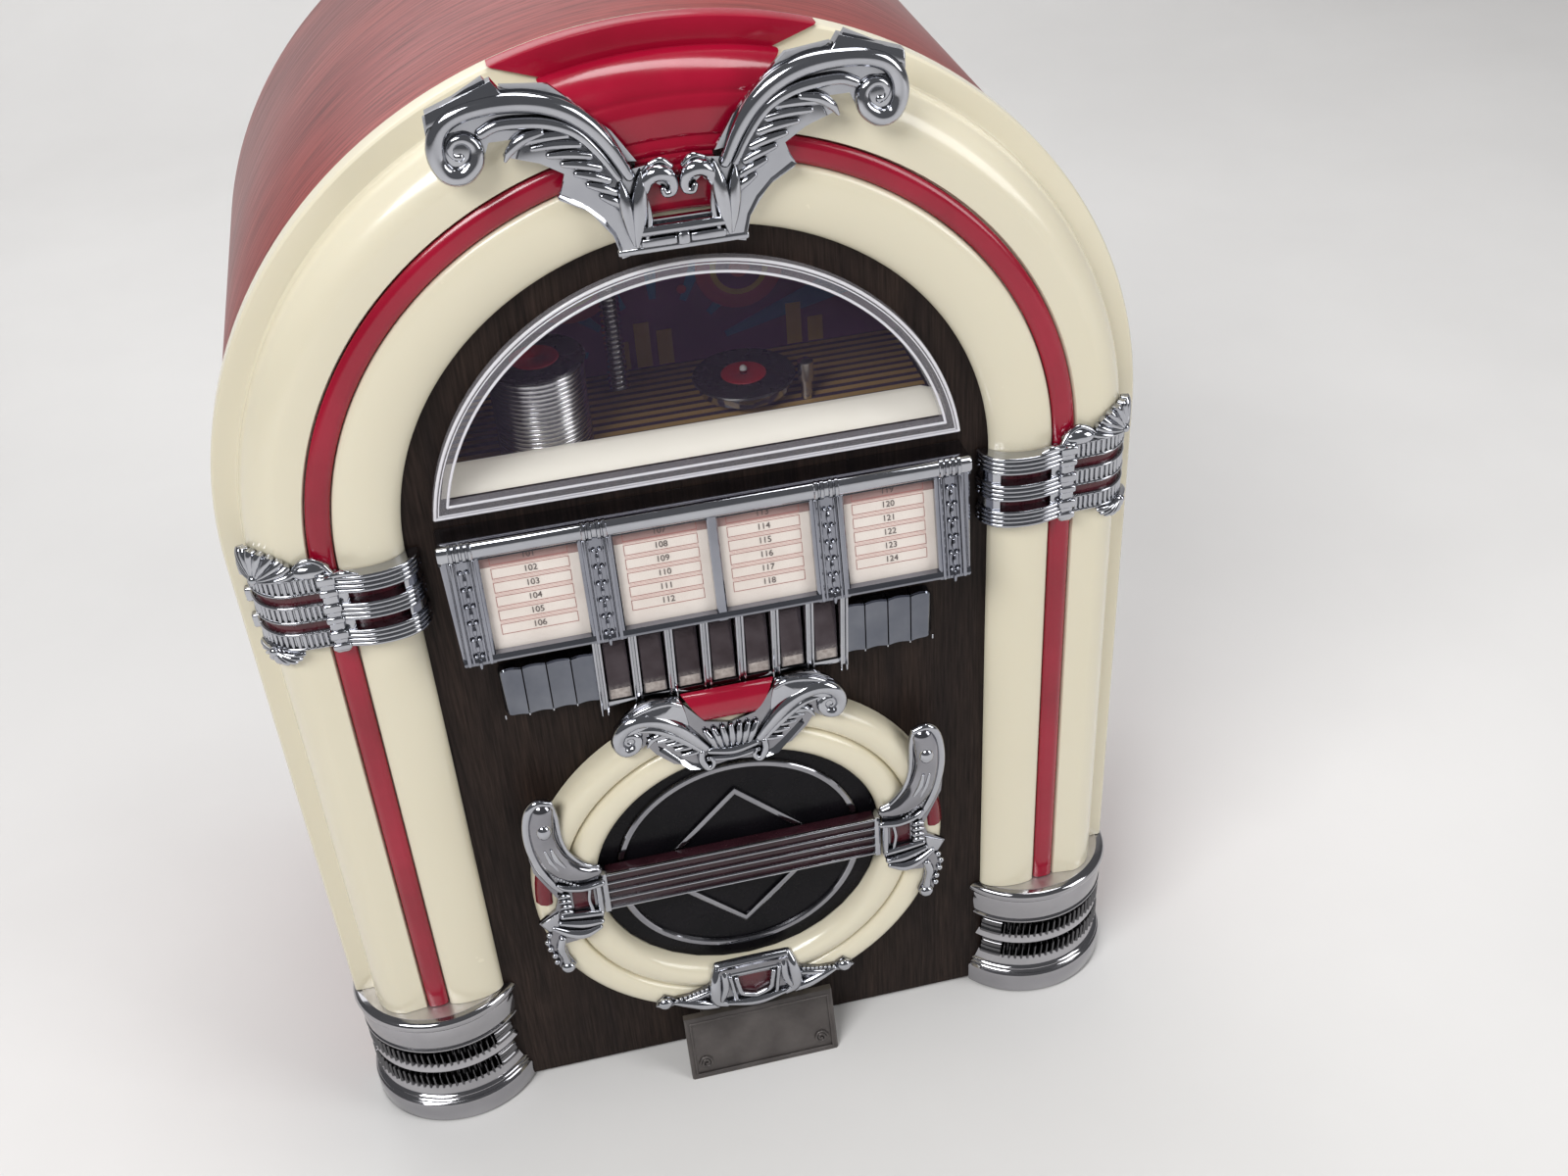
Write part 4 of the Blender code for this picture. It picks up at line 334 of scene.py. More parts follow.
# painted light: a faint warm glow brightens the ledge inside the dark box, though it is no lamp
LEDGE_PAINTED_GLOW.shade({"Emission Color": (1.0, 0.93, 0.80, 1.0), "Emission Strength": 0.22})
CREAM = plain("cream", (0.74, 0.69, 0.54), (0.82, 0.78, 0.64), 30.0, (0.28, 0.42), coat=0.2)
WHITE = plain("white", (0.68, 0.67, 0.65), (0.76, 0.75, 0.72), 200.0, (0.35, 0.5))

# Metals and works
SATIN = plain("satin", (0.56, 0.54, 0.535), (0.66, 0.64, 0.635), 160.0, (0.32, 0.48), metallic=0.9, rise=0.2)
PEWTER = plain("pewter", (0.105, 0.095, 0.092), (0.16, 0.145, 0.14), 90.0, (0.34, 0.50), metallic=0.85,
               rise=0.35, grain=1200.0)
STACK_METAL = plain("stack_metal", (0.60, 0.60, 0.62), (0.72, 0.72, 0.74), 120.0, (0.14, 0.26), metallic=1.0,
                    rise=0.05)
STEEL = plain("steel", (0.42, 0.42, 0.43), (0.56, 0.56, 0.57), 200.0, (0.25, 0.42), metallic=1.0)
BOARD = plain("board", (0.17, 0.09, 0.03), (0.24, 0.13, 0.05), 90.0, (0.4, 0.6))
CONE_PAPER = plain("cone", (0.025, 0.023, 0.022), (0.05, 0.045, 0.04), 200.0, (0.7, 0.9), rise=0.6,
                   grain=1600.0)
FERRITE = plain("ferrite", (0.05, 0.048, 0.05), (0.09, 0.085, 0.085), 300.0, (0.5, 0.7))

# Paper and print
PAPER = plain("paper", (0.74, 0.66, 0.60), (0.82, 0.75, 0.69), 90.0, (0.6, 0.8), rise=0.3, grain=2200.0)
# painted shadow: darker paper where the top rail shades the cards' tops
PAPER_RAIL_SHADOW = plain("paper_rail_shadow", (0.30, 0.19, 0.18), (0.37, 0.24, 0.22), 90.0, (0.6, 0.8), rise=0.3,
                    grain=2200.0)
INK = plain("ink", (0.34, 0.11, 0.10), (0.42, 0.15, 0.13), 300.0, (0.5, 0.7))
INK_PALE = plain("ink_pale", (0.66, 0.40, 0.37), (0.72, 0.47, 0.43), 300.0, (0.5, 0.7))
INK_DARK = plain("ink_dark", (0.10, 0.08, 0.08), (0.16, 0.13, 0.12), 300.0, (0.5, 0.7))
LABEL = plain("label", (0.34, 0.012, 0.02), (0.44, 0.02, 0.03), 300.0, (0.5, 0.65))
GOLD_PRINT = plain("gold_print", (0.34, 0.21, 0.06), (0.42, 0.27, 0.09), 120.0, (0.5, 0.65))
PLUM_PRINT = plain("plum_print", (0.10, 0.025, 0.11), (0.15, 0.04, 0.15), 60.0, (0.5, 0.65))
ROSE_PRINT = plain("rose_print", (0.30, 0.045, 0.09), (0.38, 0.07, 0.12), 60.0, (0.5, 0.65))
BLUE_PRINT = plain("blue_print", (0.02, 0.10, 0.26), (0.04, 0.14, 0.32), 60.0, (0.5, 0.65))


# Meshes
SHARP = 32.0
THINNEST = 0.02
CAP_REACH = 0.9
CAP_LEANS = [turn * math.pi / 2 for turn in (0.12, 0.45, 0.8)]


class Solid:
    """Closed shells gathered into one mesh, in millimetres from the arch's centre."""

    def __init__(self):
        self.points = []
        self.faces = []

    def add(self, points, faces):
        """Add a shell, whose faces count its own points from 0."""
        start = len(self.points)
        self.points += [tuple(point) for point in points]
        self.faces += [tuple(start + index for index in face) for face in faces]
        return self

    def loft(self, rings, loop=False):
        """A skin over equal rings, capped at its ends unless it closes on itself."""
        count = len(rings[0])
        points = [point for ring in rings for point in ring]
        faces = []
        for row in range(len(rings) if loop else len(rings) - 1):
            here, there = row * count, (row + 1) % len(rings) * count
            for index in range(count):
                after = (index + 1) % count
                faces.append((here + index, here + after, there + after, there + index))
        if not loop:
            faces.append(tuple(range(count)))
            faces.append(tuple(range(len(points) - count, len(points))))
        return self.add(points, faces)

    def sheet(self, outline, depths):
        """An outline of (x, z), from one depth to another."""
        return self.loft([[(x, y, z) for x, z in outline] for y in depths])

    def column(self, outline, heights):
        """An outline of (x, y), from one height to another."""
        return self.loft([[(x, y, z) for x, y in outline] for z in heights])

    def join(self, other):
        """Add another solid's shells."""
        return self.add(other.points, other.faces)

    def mirrored(self):
        """A copy with left and right changed over."""
        return Solid().add([(-x, y, z) for x, y, z in self.points], [face[::-1] for face in self.faces])

    def doubled(self):
        """A copy together with its mirror image."""
        return Solid().join(self).join(self.mirrored())


def curve(points, per=6):
    """A smooth line through points of any size."""
    ends = [tuple(2 * a - b for a, b in zip(points[0], points[1]))] + list(points) + [
        tuple(2 * a - b for a, b in zip(points[-1], points[-2]))]
    line = []
    for index in range(1, len(ends) - 2):
        p0, p1, p2, p3 = ends[index - 1:index + 3]
        for step in range(per):
            t = step / per
            line.append(tuple(
                0.5 * (2 * b + (c - a) * t + (2 * a - 5 * b + 4 * c - d) * t * t
                       + (3 * b - a - 3 * c + d) * t ** 3)
                for a, b, c, d in zip(p0, p1, p2, p3)))
    line.append(tuple(ends[-2]))
    return line


def tube(solid, path, up=(0.0, 1.0, 0.0), sides=14, flat=1.0, per=5, smooth=True):
    """A bar along points (x, y, z, radius), round or flattened along up, with rounded ends."""
    line = curve(path, per) if smooth and len(path) > 2 else list(path)
    spots = [Vector(point[:3]) for point in line]
    radii = [max(point[3], THINNEST) for point in line]
    last = len(spots) - 1
    rings = []

    def ring(centre, ahead, radius):
        side = ahead.cross(Vector(up)).normalized()
        high = side.cross(ahead).normalized()
        tall = radius * flat
        rings.append([tuple(centre + side * (radius * math.cos(turn)) + high * (tall * math.sin(turn)))
                      for turn in circle(sides)])

    def cap(centre, ahead, radius, reach, leans):
        for lean in leans:
            ring(centre + ahead * radius * reach * math.cos(lean), ahead, radius * math.sin(lean))

    for index, spot in enumerate(spots):
        ahead = (spots[min(index + 1, last)] - spots[max(index - 1, 0)]).normalized()
        if index == 0:
            cap(spot, ahead, radii[0], -CAP_REACH, CAP_LEANS)
        ring(spot, ahead, radii[index])
        if index == last:
            cap(spot, ahead, radii[-1], CAP_REACH, CAP_LEANS[::-1])
    solid.loft(rings)


def ball(solid, centre, radius, rows=8, sides=14, squash=(1.0, 1.0, 1.0)):
    """A ball, or a squashed one."""
    cx, cy, cz = centre
    rings = []
    for row in range(1, rows):
        lean = math.pi * row / rows
        rings.append([(cx + radius * squash[0] * math.sin(lean) * math.cos(turn),
                       cy - radius * squash[1] * math.cos(lean),
                       cz + radius * squash[2] * math.sin(lean) * math.sin(turn))
                      for turn in circle(sides)])
    solid.loft(rings)


def slab(solid, x, y, z, bevel=0.25):
    """A block between pairs of x, y and z, with broken edges."""
    (x0, x1), (y0, y1), (z0, z1) = x, y, z
    b = min(bevel, (x1 - x0) * 0.45, (y1 - y0) * 0.45, (z1 - z0) * 0.45)

    def ring(inset, height):
        low_x, high_x, low_z, high_z = x0 + inset, x1 - inset, z0 + inset, z1 - inset
        c = b * 0.7
        return [(low_x + c, height, low_z), (high_x - c, height, low_z), (high_x, height, low_z + c),
                (high_x, height, high_z - c), (high_x - c, height, high_z), (low_x + c, height, high_z),
                (low_x, height, high_z - c), (low_x, height, low_z + c)]

    solid.loft([ring(b, y0), ring(b * 0.3, y0 + b * 0.3), ring(0, y0 + b), ring(0, y1 - b),
                ring(b * 0.3, y1 - b * 0.3), ring(b, y1)])


def plate(solid, outline, back, front, round_off=0.4, dome=0.0, steps=5):
    """A flat or domed plate from an outline of (x, z), its front edge rounded over."""
    cx = sum(x for x, z in outline) / len(outline)
    cz = sum(z for x, z in outline) / len(outline)
    reach = max(math.hypot(x - cx, z - cz) for x, z in outline)

    def ring(inset, height):
        share = 1 - inset / reach
        return [(cx + (x - cx) * share, height, cz + (z - cz) * share) for x, z in outline]

    rings = [ring(0, back), ring(0, front + round_off)]
    for turn in (0.35, 0.7, 1.0):
        angle = turn * math.pi / 2
        rings.append(ring(round_off * (1 - math.cos(angle)),
                          front + round_off * (1 - math.sin(angle))))
    if dome:
        for step in range(1, steps + 1):
            share = step / (steps + 0.35)
            rings.append(ring(round_off + (reach - round_off) * share,
                              front - dome * math.sin(share * math.pi / 2)))
    solid.loft(rings)


def spun(solid, centre, profile, steps=40, axis="z"):
    """A turned shape from (radius, height) along z, y or x."""
    cx, cy, cz = centre
    rings = []
    for radius, height in profile:
        ring = []
        for angle in circle(steps):
            a, b = max(radius, 0.01) * math.cos(angle), max(radius, 0.01) * math.sin(angle)
            ring.append({"z": (cx + a, cy + b, cz + height), "y": (cx + a, cy + height, cz + b),
                         "x": (cx + height, cy + a, cz + b)}[axis])
        rings.append(ring)
    solid.loft(rings)


def piece(name, solid, finish, body="cabinet", replaces=(), slot=None, sharp=SHARP):
    """An object from a solid, with its finish, its body and the nodes it stands for."""
    mesh = bpy.data.meshes.new(name)
    work = bmesh.new()
    verts = [work.verts.new(place(*point)) for point in solid.points]
    for face in solid.faces:
        work.faces.new([verts[index] for index in face])
    bmesh.ops.remove_doubles(work, verts=work.verts, dist=1e-7)
    bmesh.ops.recalc_face_normals(work, faces=work.faces)
    work.to_mesh(mesh)
    work.free()
    mesh.shade_smooth()
    mesh.set_sharp_from_angle(angle=math.radians(sharp))
    obj = bpy.data.objects.new(name, mesh)
    bpy.context.scene.collection.objects.link(obj)
    mesh.materials.append(finish.material)
    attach(obj, body)
    if replaces:
        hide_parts(*replaces)
    return obj


def pair(name, solid, finish, node=None, **options):
    """A piece on the right side, and its mirror image on the left."""
    for side, shape in (("right", solid), ("left", solid.mirrored())):
        nodes = [f"{node}_{side}"] if node else ()
        piece(f"{name}_{side}", shape, finish, replaces=nodes, **options)


def dress(node, finish):
    """A better material on a node whose shape stays."""
    obj = bpy.data.objects[node]
    for index in range(max(1, len(obj.material_slots))):
        if obj.material_slots:
            obj.material_slots[index].material = finish.material
        else:
            obj.data.materials.append(finish.material)


# The arch
ARCH_STEPS = 96
LEG_STEPS = 3
OPENING = 73.5
STRIP_IN = OPENING + 15.8
STRIP_OUT = STRIP_IN + 6.5
TUBE_WIDE = 14.4
TUBE_OUT = STRIP_OUT + TUBE_WIDE
TUBE_CREST = STRIP_OUT + TUBE_WIDE * 0.38
FRAME_BACK = 15.0
FRAME_INSIDE = 104.4


def arch_rings(profile, leg_end):
    """Rings of a (radius, y) profile round the arch, with straight legs below it."""
    rings = []
    for step in range(LEG_STEPS):
        height = leg_end * (1 - step / LEG_STEPS)
        rings.append([(radius, y, height) for radius, y in profile])
    for step in range(ARCH_STEPS + 1):
        angle = math.pi * step / ARCH_STEPS
        rings.append([(radius * math.cos(angle), y, radius * math.sin(angle)) for radius, y in profile])
    for step in range(LEG_STEPS):
        height = leg_end * (step + 1) / LEG_STEPS
        rings.append([(-radius, y, height) for radius, y in profile])
    return rings


def inner_tube(count=18):
    """Front of the inner tube, as (radius, y)."""
    line = []
    for step in range(count + 1):
        share = step / count
        radius = OPENING + (STRIP_IN - OPENING) * (1 - math.cos(math.pi * share)) / 2
        line.append((radius, -(0.3 + 3.0 * share) - 2.8 * math.sin(math.pi * share)))
    return line


def shoulder(count):
    """The outer tube from its crest to its outer side, as (radius, y)."""
    line = []
    for step in range(1, count + 1):
        angle = math.pi / 2 * step / count
        line.append((TUBE_CREST + (TUBE_OUT - TUBE_CREST) * math.sin(angle), 6.0 - 10.0 * math.cos(angle)))
    return line


def outer_tube(count=16):
    """Front of the outer tube and the ledge behind it."""
    line = [(STRIP_OUT, -2.6), (STRIP_OUT + 0.35, -3.3)] + shoulder(count)
    line += [(TUBE_OUT, 7.6), (TUBE_OUT + 0.4, 8.4), (TUBE_OUT + 1.2, 8.7)]
    line += [(FRAME_RADIUS - inset, y) for inset, y in ((1.2, 8.7), (0.5, 8.9), (0.1, 9.4), (0.0, 10.2))]
    return line


def build_arch():
    """Ivory frame, and the red strip in its groove."""
    profile = inner_tube() + [(STRIP_IN + 0.15, -2.4), (STRIP_IN + 0.3, -1.3), (STRIP_OUT - 0.3, -1.3)]
    profile += outer_tube()
    profile += [(FRAME_RADIUS, FRAME_BACK), (FRAME_INSIDE, FRAME_BACK), (FRAME_INSIDE, SEAT)]
    frame_solid = Solid().loft(arch_rings(profile, LEG_END))
    piece("ivory_frame", frame_solid, IVORY, replaces=["arch_frame"], slot="ivory")

    half_strip = ((0.4, -1.4), (0.4, -2.9), (0.9, -3.5), (1.8, -3.85), (2.34, -3.9))
    strip = [(STRIP_IN + inset, y) for inset, y in half_strip]
    strip += [(STRIP_OUT - inset, y) for inset, y in reversed(half_strip)]
    strip_solid = Solid().loft(arch_rings(strip, LEG_END + 0.2))
    piece("red_band", strip_solid, RED, replaces=["red_strip"], slot="red")


# Lines round the tubes, as (radius, y)
def measured(line):
    """Distances along a line of (r, y), from its start."""
    length = [0.0]
    for (a, b), (c, d) in zip(line, line[1:]):
        length.append(length[-1] + math.hypot(c - a, d - b))
    return length


def on_line(line, length, spot, rise):
    """The place at a distance along a line of (r, y), raised off it."""
    index = max(i for i in range(len(line) - 1) if length[i] <= max(spot, 0.0) + 1e-9)
    (a, b), (c, d) = line[index], line[index + 1]
    share = (spot - length[index]) / (length[index + 1] - length[index])
    lean = math.atan2(d - b, c - a)
    return a + (c - a) * share + rise * math.sin(lean), b + (d - b) * share - rise * math.cos(lean)


def share_at(table, value):
    """A value read off a table of pairs."""
    for (a, b), (c, d) in zip(table, table[1:]):
        if value <= c:
            return b + (d - b) * (value - a) / (c - a)
    return table[-1][1]


# The crown
CROWN_ANGLE = math.radians(19.44)
CROWN_SHARES = ((0.0, 0.27), (0.34, 0.27), (0.56, 0.43), (0.80, 0.63), (1.0, 0.93))
CROWN_IN = OPENING + 6.0
CROWN_RIDGES = 3


def crown_section():
    """The crown's outline, as (radius, y): three ridges over the frame's section, with a lip behind."""
    line = [(r, y) for r, y in inner_tube(30) if r >= CROWN_IN]
    line += [(STRIP_IN + 2.0, -4.1), (STRIP_OUT - 2.0, -4.1)]
    line += [point for point in outer_tube(24) if point[1] <= 8.0]
    length = measured(line)
    samples = 90
    outer, inner = [], []
    for step in range(samples + 1):
        spot = length[-1] * step / samples
        ridge = abs(math.sin(math.pi * CROWN_RIDGES * step / samples)) ** 0.5
        outer.append(on_line(line, length, spot, 0.75 + 0.75 * ridge))
        inner.append(on_line(line, length, spot, 0.35))
    outer += [(TUBE_OUT + 1.6, 7.6)]
    outer += [(FRAME_RADIUS + out, y) for out, y in ((-1.0, 7.8), (0.3, 8.3), (0.6, 9.2), (0.6, 13.0))]
    inner += [(TUBE_OUT + 1.0, 8.4)]
    inner += [(FRAME_RADIUS + out, y) for out, y in ((-0.4, 8.4), (0.1, 9.0), (0.15, 9.8), (0.15, 13.0))]
    return outer + inner[::-1]


def build_crown():
    """Red crown over the top of the arch, wider outside than inside."""
    steps = 60
    section = crown_section()
    rings = []
    for step in range(steps + 1):
        turn = -1 + 2 * step / steps
        ring = []
        for radius, y in section:
            share = (radius - CROWN_IN) / (FRAME_RADIUS + 1 - CROWN_IN)
            half = CROWN_ANGLE * share_at(CROWN_SHARES, min(max(share, 0.0), 1.0))
            angle = math.pi / 2 + turn * half
            ring.append((radius * math.cos(angle), y, radius * math.sin(angle)))
        rings.append(ring)
    piece("red_crown_ridges", Solid().loft(rings), RED, replaces=["red_crown"], slot="red", sharp=50)


def build_cabinet():
    """Arched wooden shell with an opening for the side controls."""
    low, high = node_box("cabinet_shell")
    plate_low, plate_high = node_box("control_plate")
    outer, front, back = high[0], low[1], high[1]
    wall, edge, margin, reach = 3.0, 1.2, 0.3, 10
    profile = [(outer - wall, front), (outer - edge, front), (outer - edge * 0.3, front + edge * 0.3),
               (outer, front + edge), (outer, back - edge), (outer - edge * 0.3, back - edge * 0.3),
               (outer - edge, back), (outer - wall, back)]
    shell = piece("wood_cabinet", Solid().loft(arch_rings(profile, FLOOR)), MAHOGANY,
                  replaces=["cabinet_shell"], slot="mahogany")
    opening = Solid()
    slab(opening, (outer - reach, outer + reach), (plate_low[1] - margin, plate_high[1] + margin),
         (plate_low[2] - margin, plate_high[2] + margin), 0.5)
    carve(shell, opening)


# The window and what stands behind it
def bow(radius, base, steps=48):
    """A half-round outline with a flat base."""
    start = math.asin(base / radius)
    angles = [start + (math.pi - 2 * start) * step / steps for step in range(steps + 1)]
    return [(radius * math.cos(angle), radius * math.sin(angle)) for angle in angles]


def build_window():
    """Clear rim with rounded edges and beads of painted highlight along them, and the smoked pane in it."""
    low, high = node_box("window_rim")
    radius, base = high[2], low[2]
    width, lap = 4.2, 2.3
    section = ((0.0, SEAT), (0.0, -1.7), (0.25, -2.25), (0.8, -2.6), (width - 1.4, -2.6),
               (width - 0.7, -2.3), (width - 0.2, -1.6), (width, SEAT))
    loops = [[(x, y, z) for x, z in bow(radius - inset, base + inset)] for inset, y in section]
    piece("clear_rim", Solid().loft([list(ring) for ring in zip(*loops)], loop=True), CLEAR,
          replaces=["window_rim"], slot="clear_plastic")
    # beads along the rim's edges, in the painted highlight finish
    edges = Solid()
    for inset, y, bead in ((0.55, -2.25, 0.42), (width - 0.75, -2.35, 0.36), (1.35, -2.5, 0.16)):
        line = [(x, y, z, bead) for x, z in bow(radius - inset, base + inset, 72)]
        tube(edges, line, sides=8, smooth=False)
        tube(edges, [line[-1], line[0]], sides=8, smooth=False)
    piece("clear_rim_edges", edges, CLEAR_EDGE_PAINTED_GLINT, slot="clear_plastic", sharp=60)
    pane = Solid().sheet(bow(radius - lap, base + lap), (0.05, 1.55))
    piece("smoked_pane", pane, SMOKE, replaces=["window_pane"], slot="smoked_plastic")


CARD_HALF = 66.0
CARD_THICK = 0.6


def build_display():
    """What stands behind the pane: floor, backdrop, ledge, records, lift, turntable and arm post."""
    low, high = node_box("display_card")
    floor_top, back = low[2] + CARD_THICK, high[1]
    front = back - CARD_THICK
    outline = [(-CARD_HALF, low[2]), (CARD_HALF, low[2]), (CARD_HALF, floor_top), (-CARD_HALF, floor_top)]
    piece("striped_floor", Solid().sheet(outline, (low[1], back)), STRIPES, replaces=["display_card"],
          slot="printed_card")
    backdrop = Solid().sheet(bow(67.5, floor_top + 0.1), (front, back))
    piece("backdrop_card", backdrop, PLUM_PRINT, slot="printed_card")
    build_backdrop_print(front - 0.05, floor_top)
    build_ledge()
    build_stack()
    build_lift_post()
    build_turntable()
    build_arm_post()


PRINT_LIFT = 0.14
PRINT_DISCS = ((-22, 36, (14, 9.5, 7.8, 3.4)), (24, 31, (12, 8.0, 6.4, 2.8)), (2, 50, (10, 6.4, 5.0, 2.2)))
PRINT_BARS = ((-46, 10), (-40, 16), (-12, 9), (-6, 14), (0, 11), (36, 13), (42, 8))
PRINT_DOTS = ((-40, 32), (-10, 47), (12, 40), (16, 56), (-14, 58), (40, 28), (-48, 22), (8, 27), (-8, 33))


def build_backdrop_print(front, floor_top):
    """Generic party shapes on the backdrop: rays, discs, bars and dots in muted colours."""
    def spread(name, outlines, finish, level):
        solid = Solid()
        lift = PRINT_LIFT * level
        for outline in outlines:
            solid.sheet(outline, (front - lift - 0.12, front - lift))
        piece(name, solid, finish, slot="printed_card")

    def disc(x, z, radius, steps=28):
        return [(x + radius * math.cos(angle), z + radius * math.sin(angle)) for angle in circle(steps)]

    def ray(angle):
        inner, outer, half, wide = 20, 58, 0.045, 0.045 * 1.6
        corners = ((inner, angle - half), (outer, angle - wide), (outer, angle + wide), (inner, angle + half))
        return [(r * math.cos(a), floor_top + 0.5 + r * math.sin(a)) for r, a in corners]

    def bar(x, height, wide=4.2):
        foot, top = floor_top + 0.6, floor_top + height
        return [(x, foot), (x + wide, foot), (x + wide, top), (x, top)]

    spread("print_rays", [ray(math.radians(18 + 24 * step)) for step in range(7)], BLUE_PRINT, 0)
    for level, (name, finish) in enumerate((("discs", ROSE_PRINT), ("rings", GOLD_PRINT),
                                            ("middles", PLUM_PRINT), ("hearts", ROSE_PRINT))):
        spread("print_" + name, [disc(x, z, radii[level]) for x, z, radii in PRINT_DISCS], finish, level + 1)
    spread("print_bars", [bar(x, height) for x, height in PRINT_BARS], GOLD_PRINT, 1)
    spread("print_dots", [disc(x, z, 1.3, 14) for x, z in PRINT_DOTS], ROSE_PRINT, 1)


def build_ledge():
    """White ledge with a rounded front edge, low at both ends."""
    low, high = node_box("display_ledge")
    top, back, deep, tall, steps = high[2] + 3.4, high[1] + 2.0, 8.0, 4.6, 10
    section = [(low[1], low[2]), (low[1], top - tall)]
    for step in range(steps + 1):
        angle = math.pi / 2 * step / steps
        section.append((low[1] + deep * (1 - math.cos(angle)), top - tall + tall * math.sin(angle)))
    section += [(back - 0.8, top), (back, top - 0.8), (back, low[2])]
    rings = []
    for step in range(41):
        share = -1 + step / 20
        past = max(0.0, (abs(share) - 0.9) / 0.1)
        drop = max(math.sqrt(max(0.0, 1 - past ** 2)), 0.35)
        rings.append([(high[0] * share, y, low[2] + (z - low[2]) * drop) for y, z in section])
    piece("white_ledge", Solid().loft(rings), LEDGE_PAINTED_GLOW, replaces=["display_ledge"], slot="cream_plastic",
          sharp=50)


STACK_RIBS = 20
POST_RIBS = 22
GROOVES = 14


def ribbed(low, high, ribs, rib, steps):
    """A turned stack of equal ribs in a box, each from (radius, share of its height)."""
    pitch = (high[2] - low[2]) / ribs
    profile = [(0.0, 0.0)]
    for number in range(ribs):
        profile += [(radius, (number + share) * pitch) for radius, share in rib]
    profile.append((0.0, high[2] - low[2]))
    cx, cy, _ = centre_of(low, high)
    solid = Solid()
    spun(solid, (cx, cy, low[2]), profile, steps)
    return solid


def build_stack():
    """Ribbed silver stack of records, with one record lying on it."""
    low, high = node_box("record_stack")
    radius = (high[0] - low[0]) / 2 + 1.6
    rib = [(radius - inset, share) for inset, share in (
        (0.6, 0.05), (0.2, 0.22), (0.0, 0.5), (0.2, 0.78), (0.6, 0.95))]
    piece("silver_stack", ribbed(low, high, STACK_RIBS, rib, 56), STACK_METAL, replaces=["record_stack"],
          slot="chrome", sharp=60)
    cx, cy, _ = centre_of(low, high)
    low, high = node_box("stack_record")
    radius = (high[0] - low[0]) / 2 + 1.6
    build_record("stack_top", "stack_record", "cabinet", (cx, cy, high[2] - 1.1), radius, 6.2)


def build_lift_post():
    """Ribbed post beside the stack."""
    low, high = node_box("lift_post")
    radius = (high[0] - low[0]) / 2 + 0.6
    rib = ((radius * 0.72, 0.1), (radius, 0.5), (radius * 0.72, 0.9))
    piece("ribbed_post", ribbed(low, high, POST_RIBS, rib, 24), STACK_METAL, replaces=["lift_post"],
          slot="chrome", sharp=60)


def build_turntable():
    """Turntable with its record and pin, which turn together."""
    cx, cy, _ = centre_of(*node_box("turntable"))
    low, high = node_box("play_record")
    build_record("playing", "play_record", "player", (cx, cy, low[2]), (high[0] - low[0]) / 2 + 0.8, 6.0)
    pin = Solid()
    spun(pin, (cx, cy, high[2] - 0.2), [(0.0, 0.0), (1.0, 0.0), (0.95, 1.6), (0.5, 2.1), (0.0, 2.2)], 20)
    piece("white_pin", pin, WHITE, body="player", slot="cream_plastic", sharp=60)


def build_arm_post():
    """Short post of the tone arm, thicker above its middle."""
    low, high = node_box("tone_arm_post")
    cx, cy, _ = centre_of(low, high)
    tall = high[2] - low[2]
    post = Solid()
    spun(post, (cx, cy, low[2]), [
        (0.0, 0.0), (1.6, 0.0), (1.6, 0.9), (1.55, 1.5), (1.5, 1.8), (1.5, tall * 0.45), (2.1, tall * 0.47),
        (2.1, tall - 0.9), (1.2, tall - 0.3), (0.6, tall), (0.0, tall)], 28)
    piece("arm_post", post, STACK_METAL, replaces=["tone_arm_post"], slot="chrome", sharp=45)


def build_record(name, node, body, centre, radius, label):
    """A grooved record with its label."""
    face = 0.78
    profile = [(0.0, 0.0), (radius - 0.3, 0.0), (radius, 0.3), (radius - 0.3, 0.75)]
    for index in range(GROOVES):
        r = radius - 0.6 - (radius - label - 1.0) * index / GROOVES
        profile += [(r, face), (r - 0.18, face - 0.08)]
    profile += [(label + 0.4, face), (0.0, face)]
    record = Solid()
    spun(record, centre, profile, 64)
    piece(name + "_record", record, VINYL, body=body, replaces=[node], slot="record", sharp=20)
    cx, cy, cz = centre
    patch = Solid()
    spun(patch, (cx, cy, cz + face), [(0.0, 0.0), (label, 0.0), (label - 0.1, 0.14), (1.1, 0.16), (1.0, 0.05),
                                      (0.0, 0.05)], 40)
    piece(name + "_label", patch, LABEL, body=body, slot="record", sharp=50)


def build_works():
    """Finishes of the nodes whose CAD shape is shown."""
    for name, finish in (
            ("front_panel", DARK_WOOD), ("grille_plate", GRILLE_BLACK), ("base_board", BLACK),
            ("back_panel", BLACK), ("control_plate", BLACK), ("speaker_frame", STEEL),
            ("volume_control", STEEL), ("speaker_cone", CONE_PAPER), ("ferrite_rod", FERRITE),
            ("main_board", BOARD), ("tuning_drum", CREAM), ("dial_scale", CREAM), ("dial_pointer", RED),
            ("display_box", BOX_BLACK), ("display_lamp", GLASS), ("turntable", CHROME),
            ("band_switch", CHROME)):
        dress(name, finish)


# Title holder
CARD_SPANS = ((-56.8, -33.0), (-24.4, -1.2), (1.4, 24.6), (33.2, 56.6))
PILASTERS = ((-64.0, -57.6), (-32.2, -25.2), (25.4, 32.4), (57.4, 63.8))
TITLE_TOP, TITLE_FOOT = 5.5, -27.2
TITLE_HALF_TOP, TITLE_HALF_FOOT = 66.2, 64.8
FACE_TOP, FACE_FOOT = 7.8, 13.7
CARD_TOP, CARD_FOOT = 0.1, -24.8
RAIL_Z, RAIL_RISE, RAIL_DEEP = 2.9, 2.4, 1.3
STRIP_ROWS, STRIP_PITCH, STRIP_TALL = 6, 3.72, 2.77


def title_face(z):
    """How far forward the title holder's face is at a height."""
    return -(FACE_TOP + (FACE_FOOT - FACE_TOP) * (TITLE_TOP - z) / (TITLE_TOP - TITLE_FOOT))


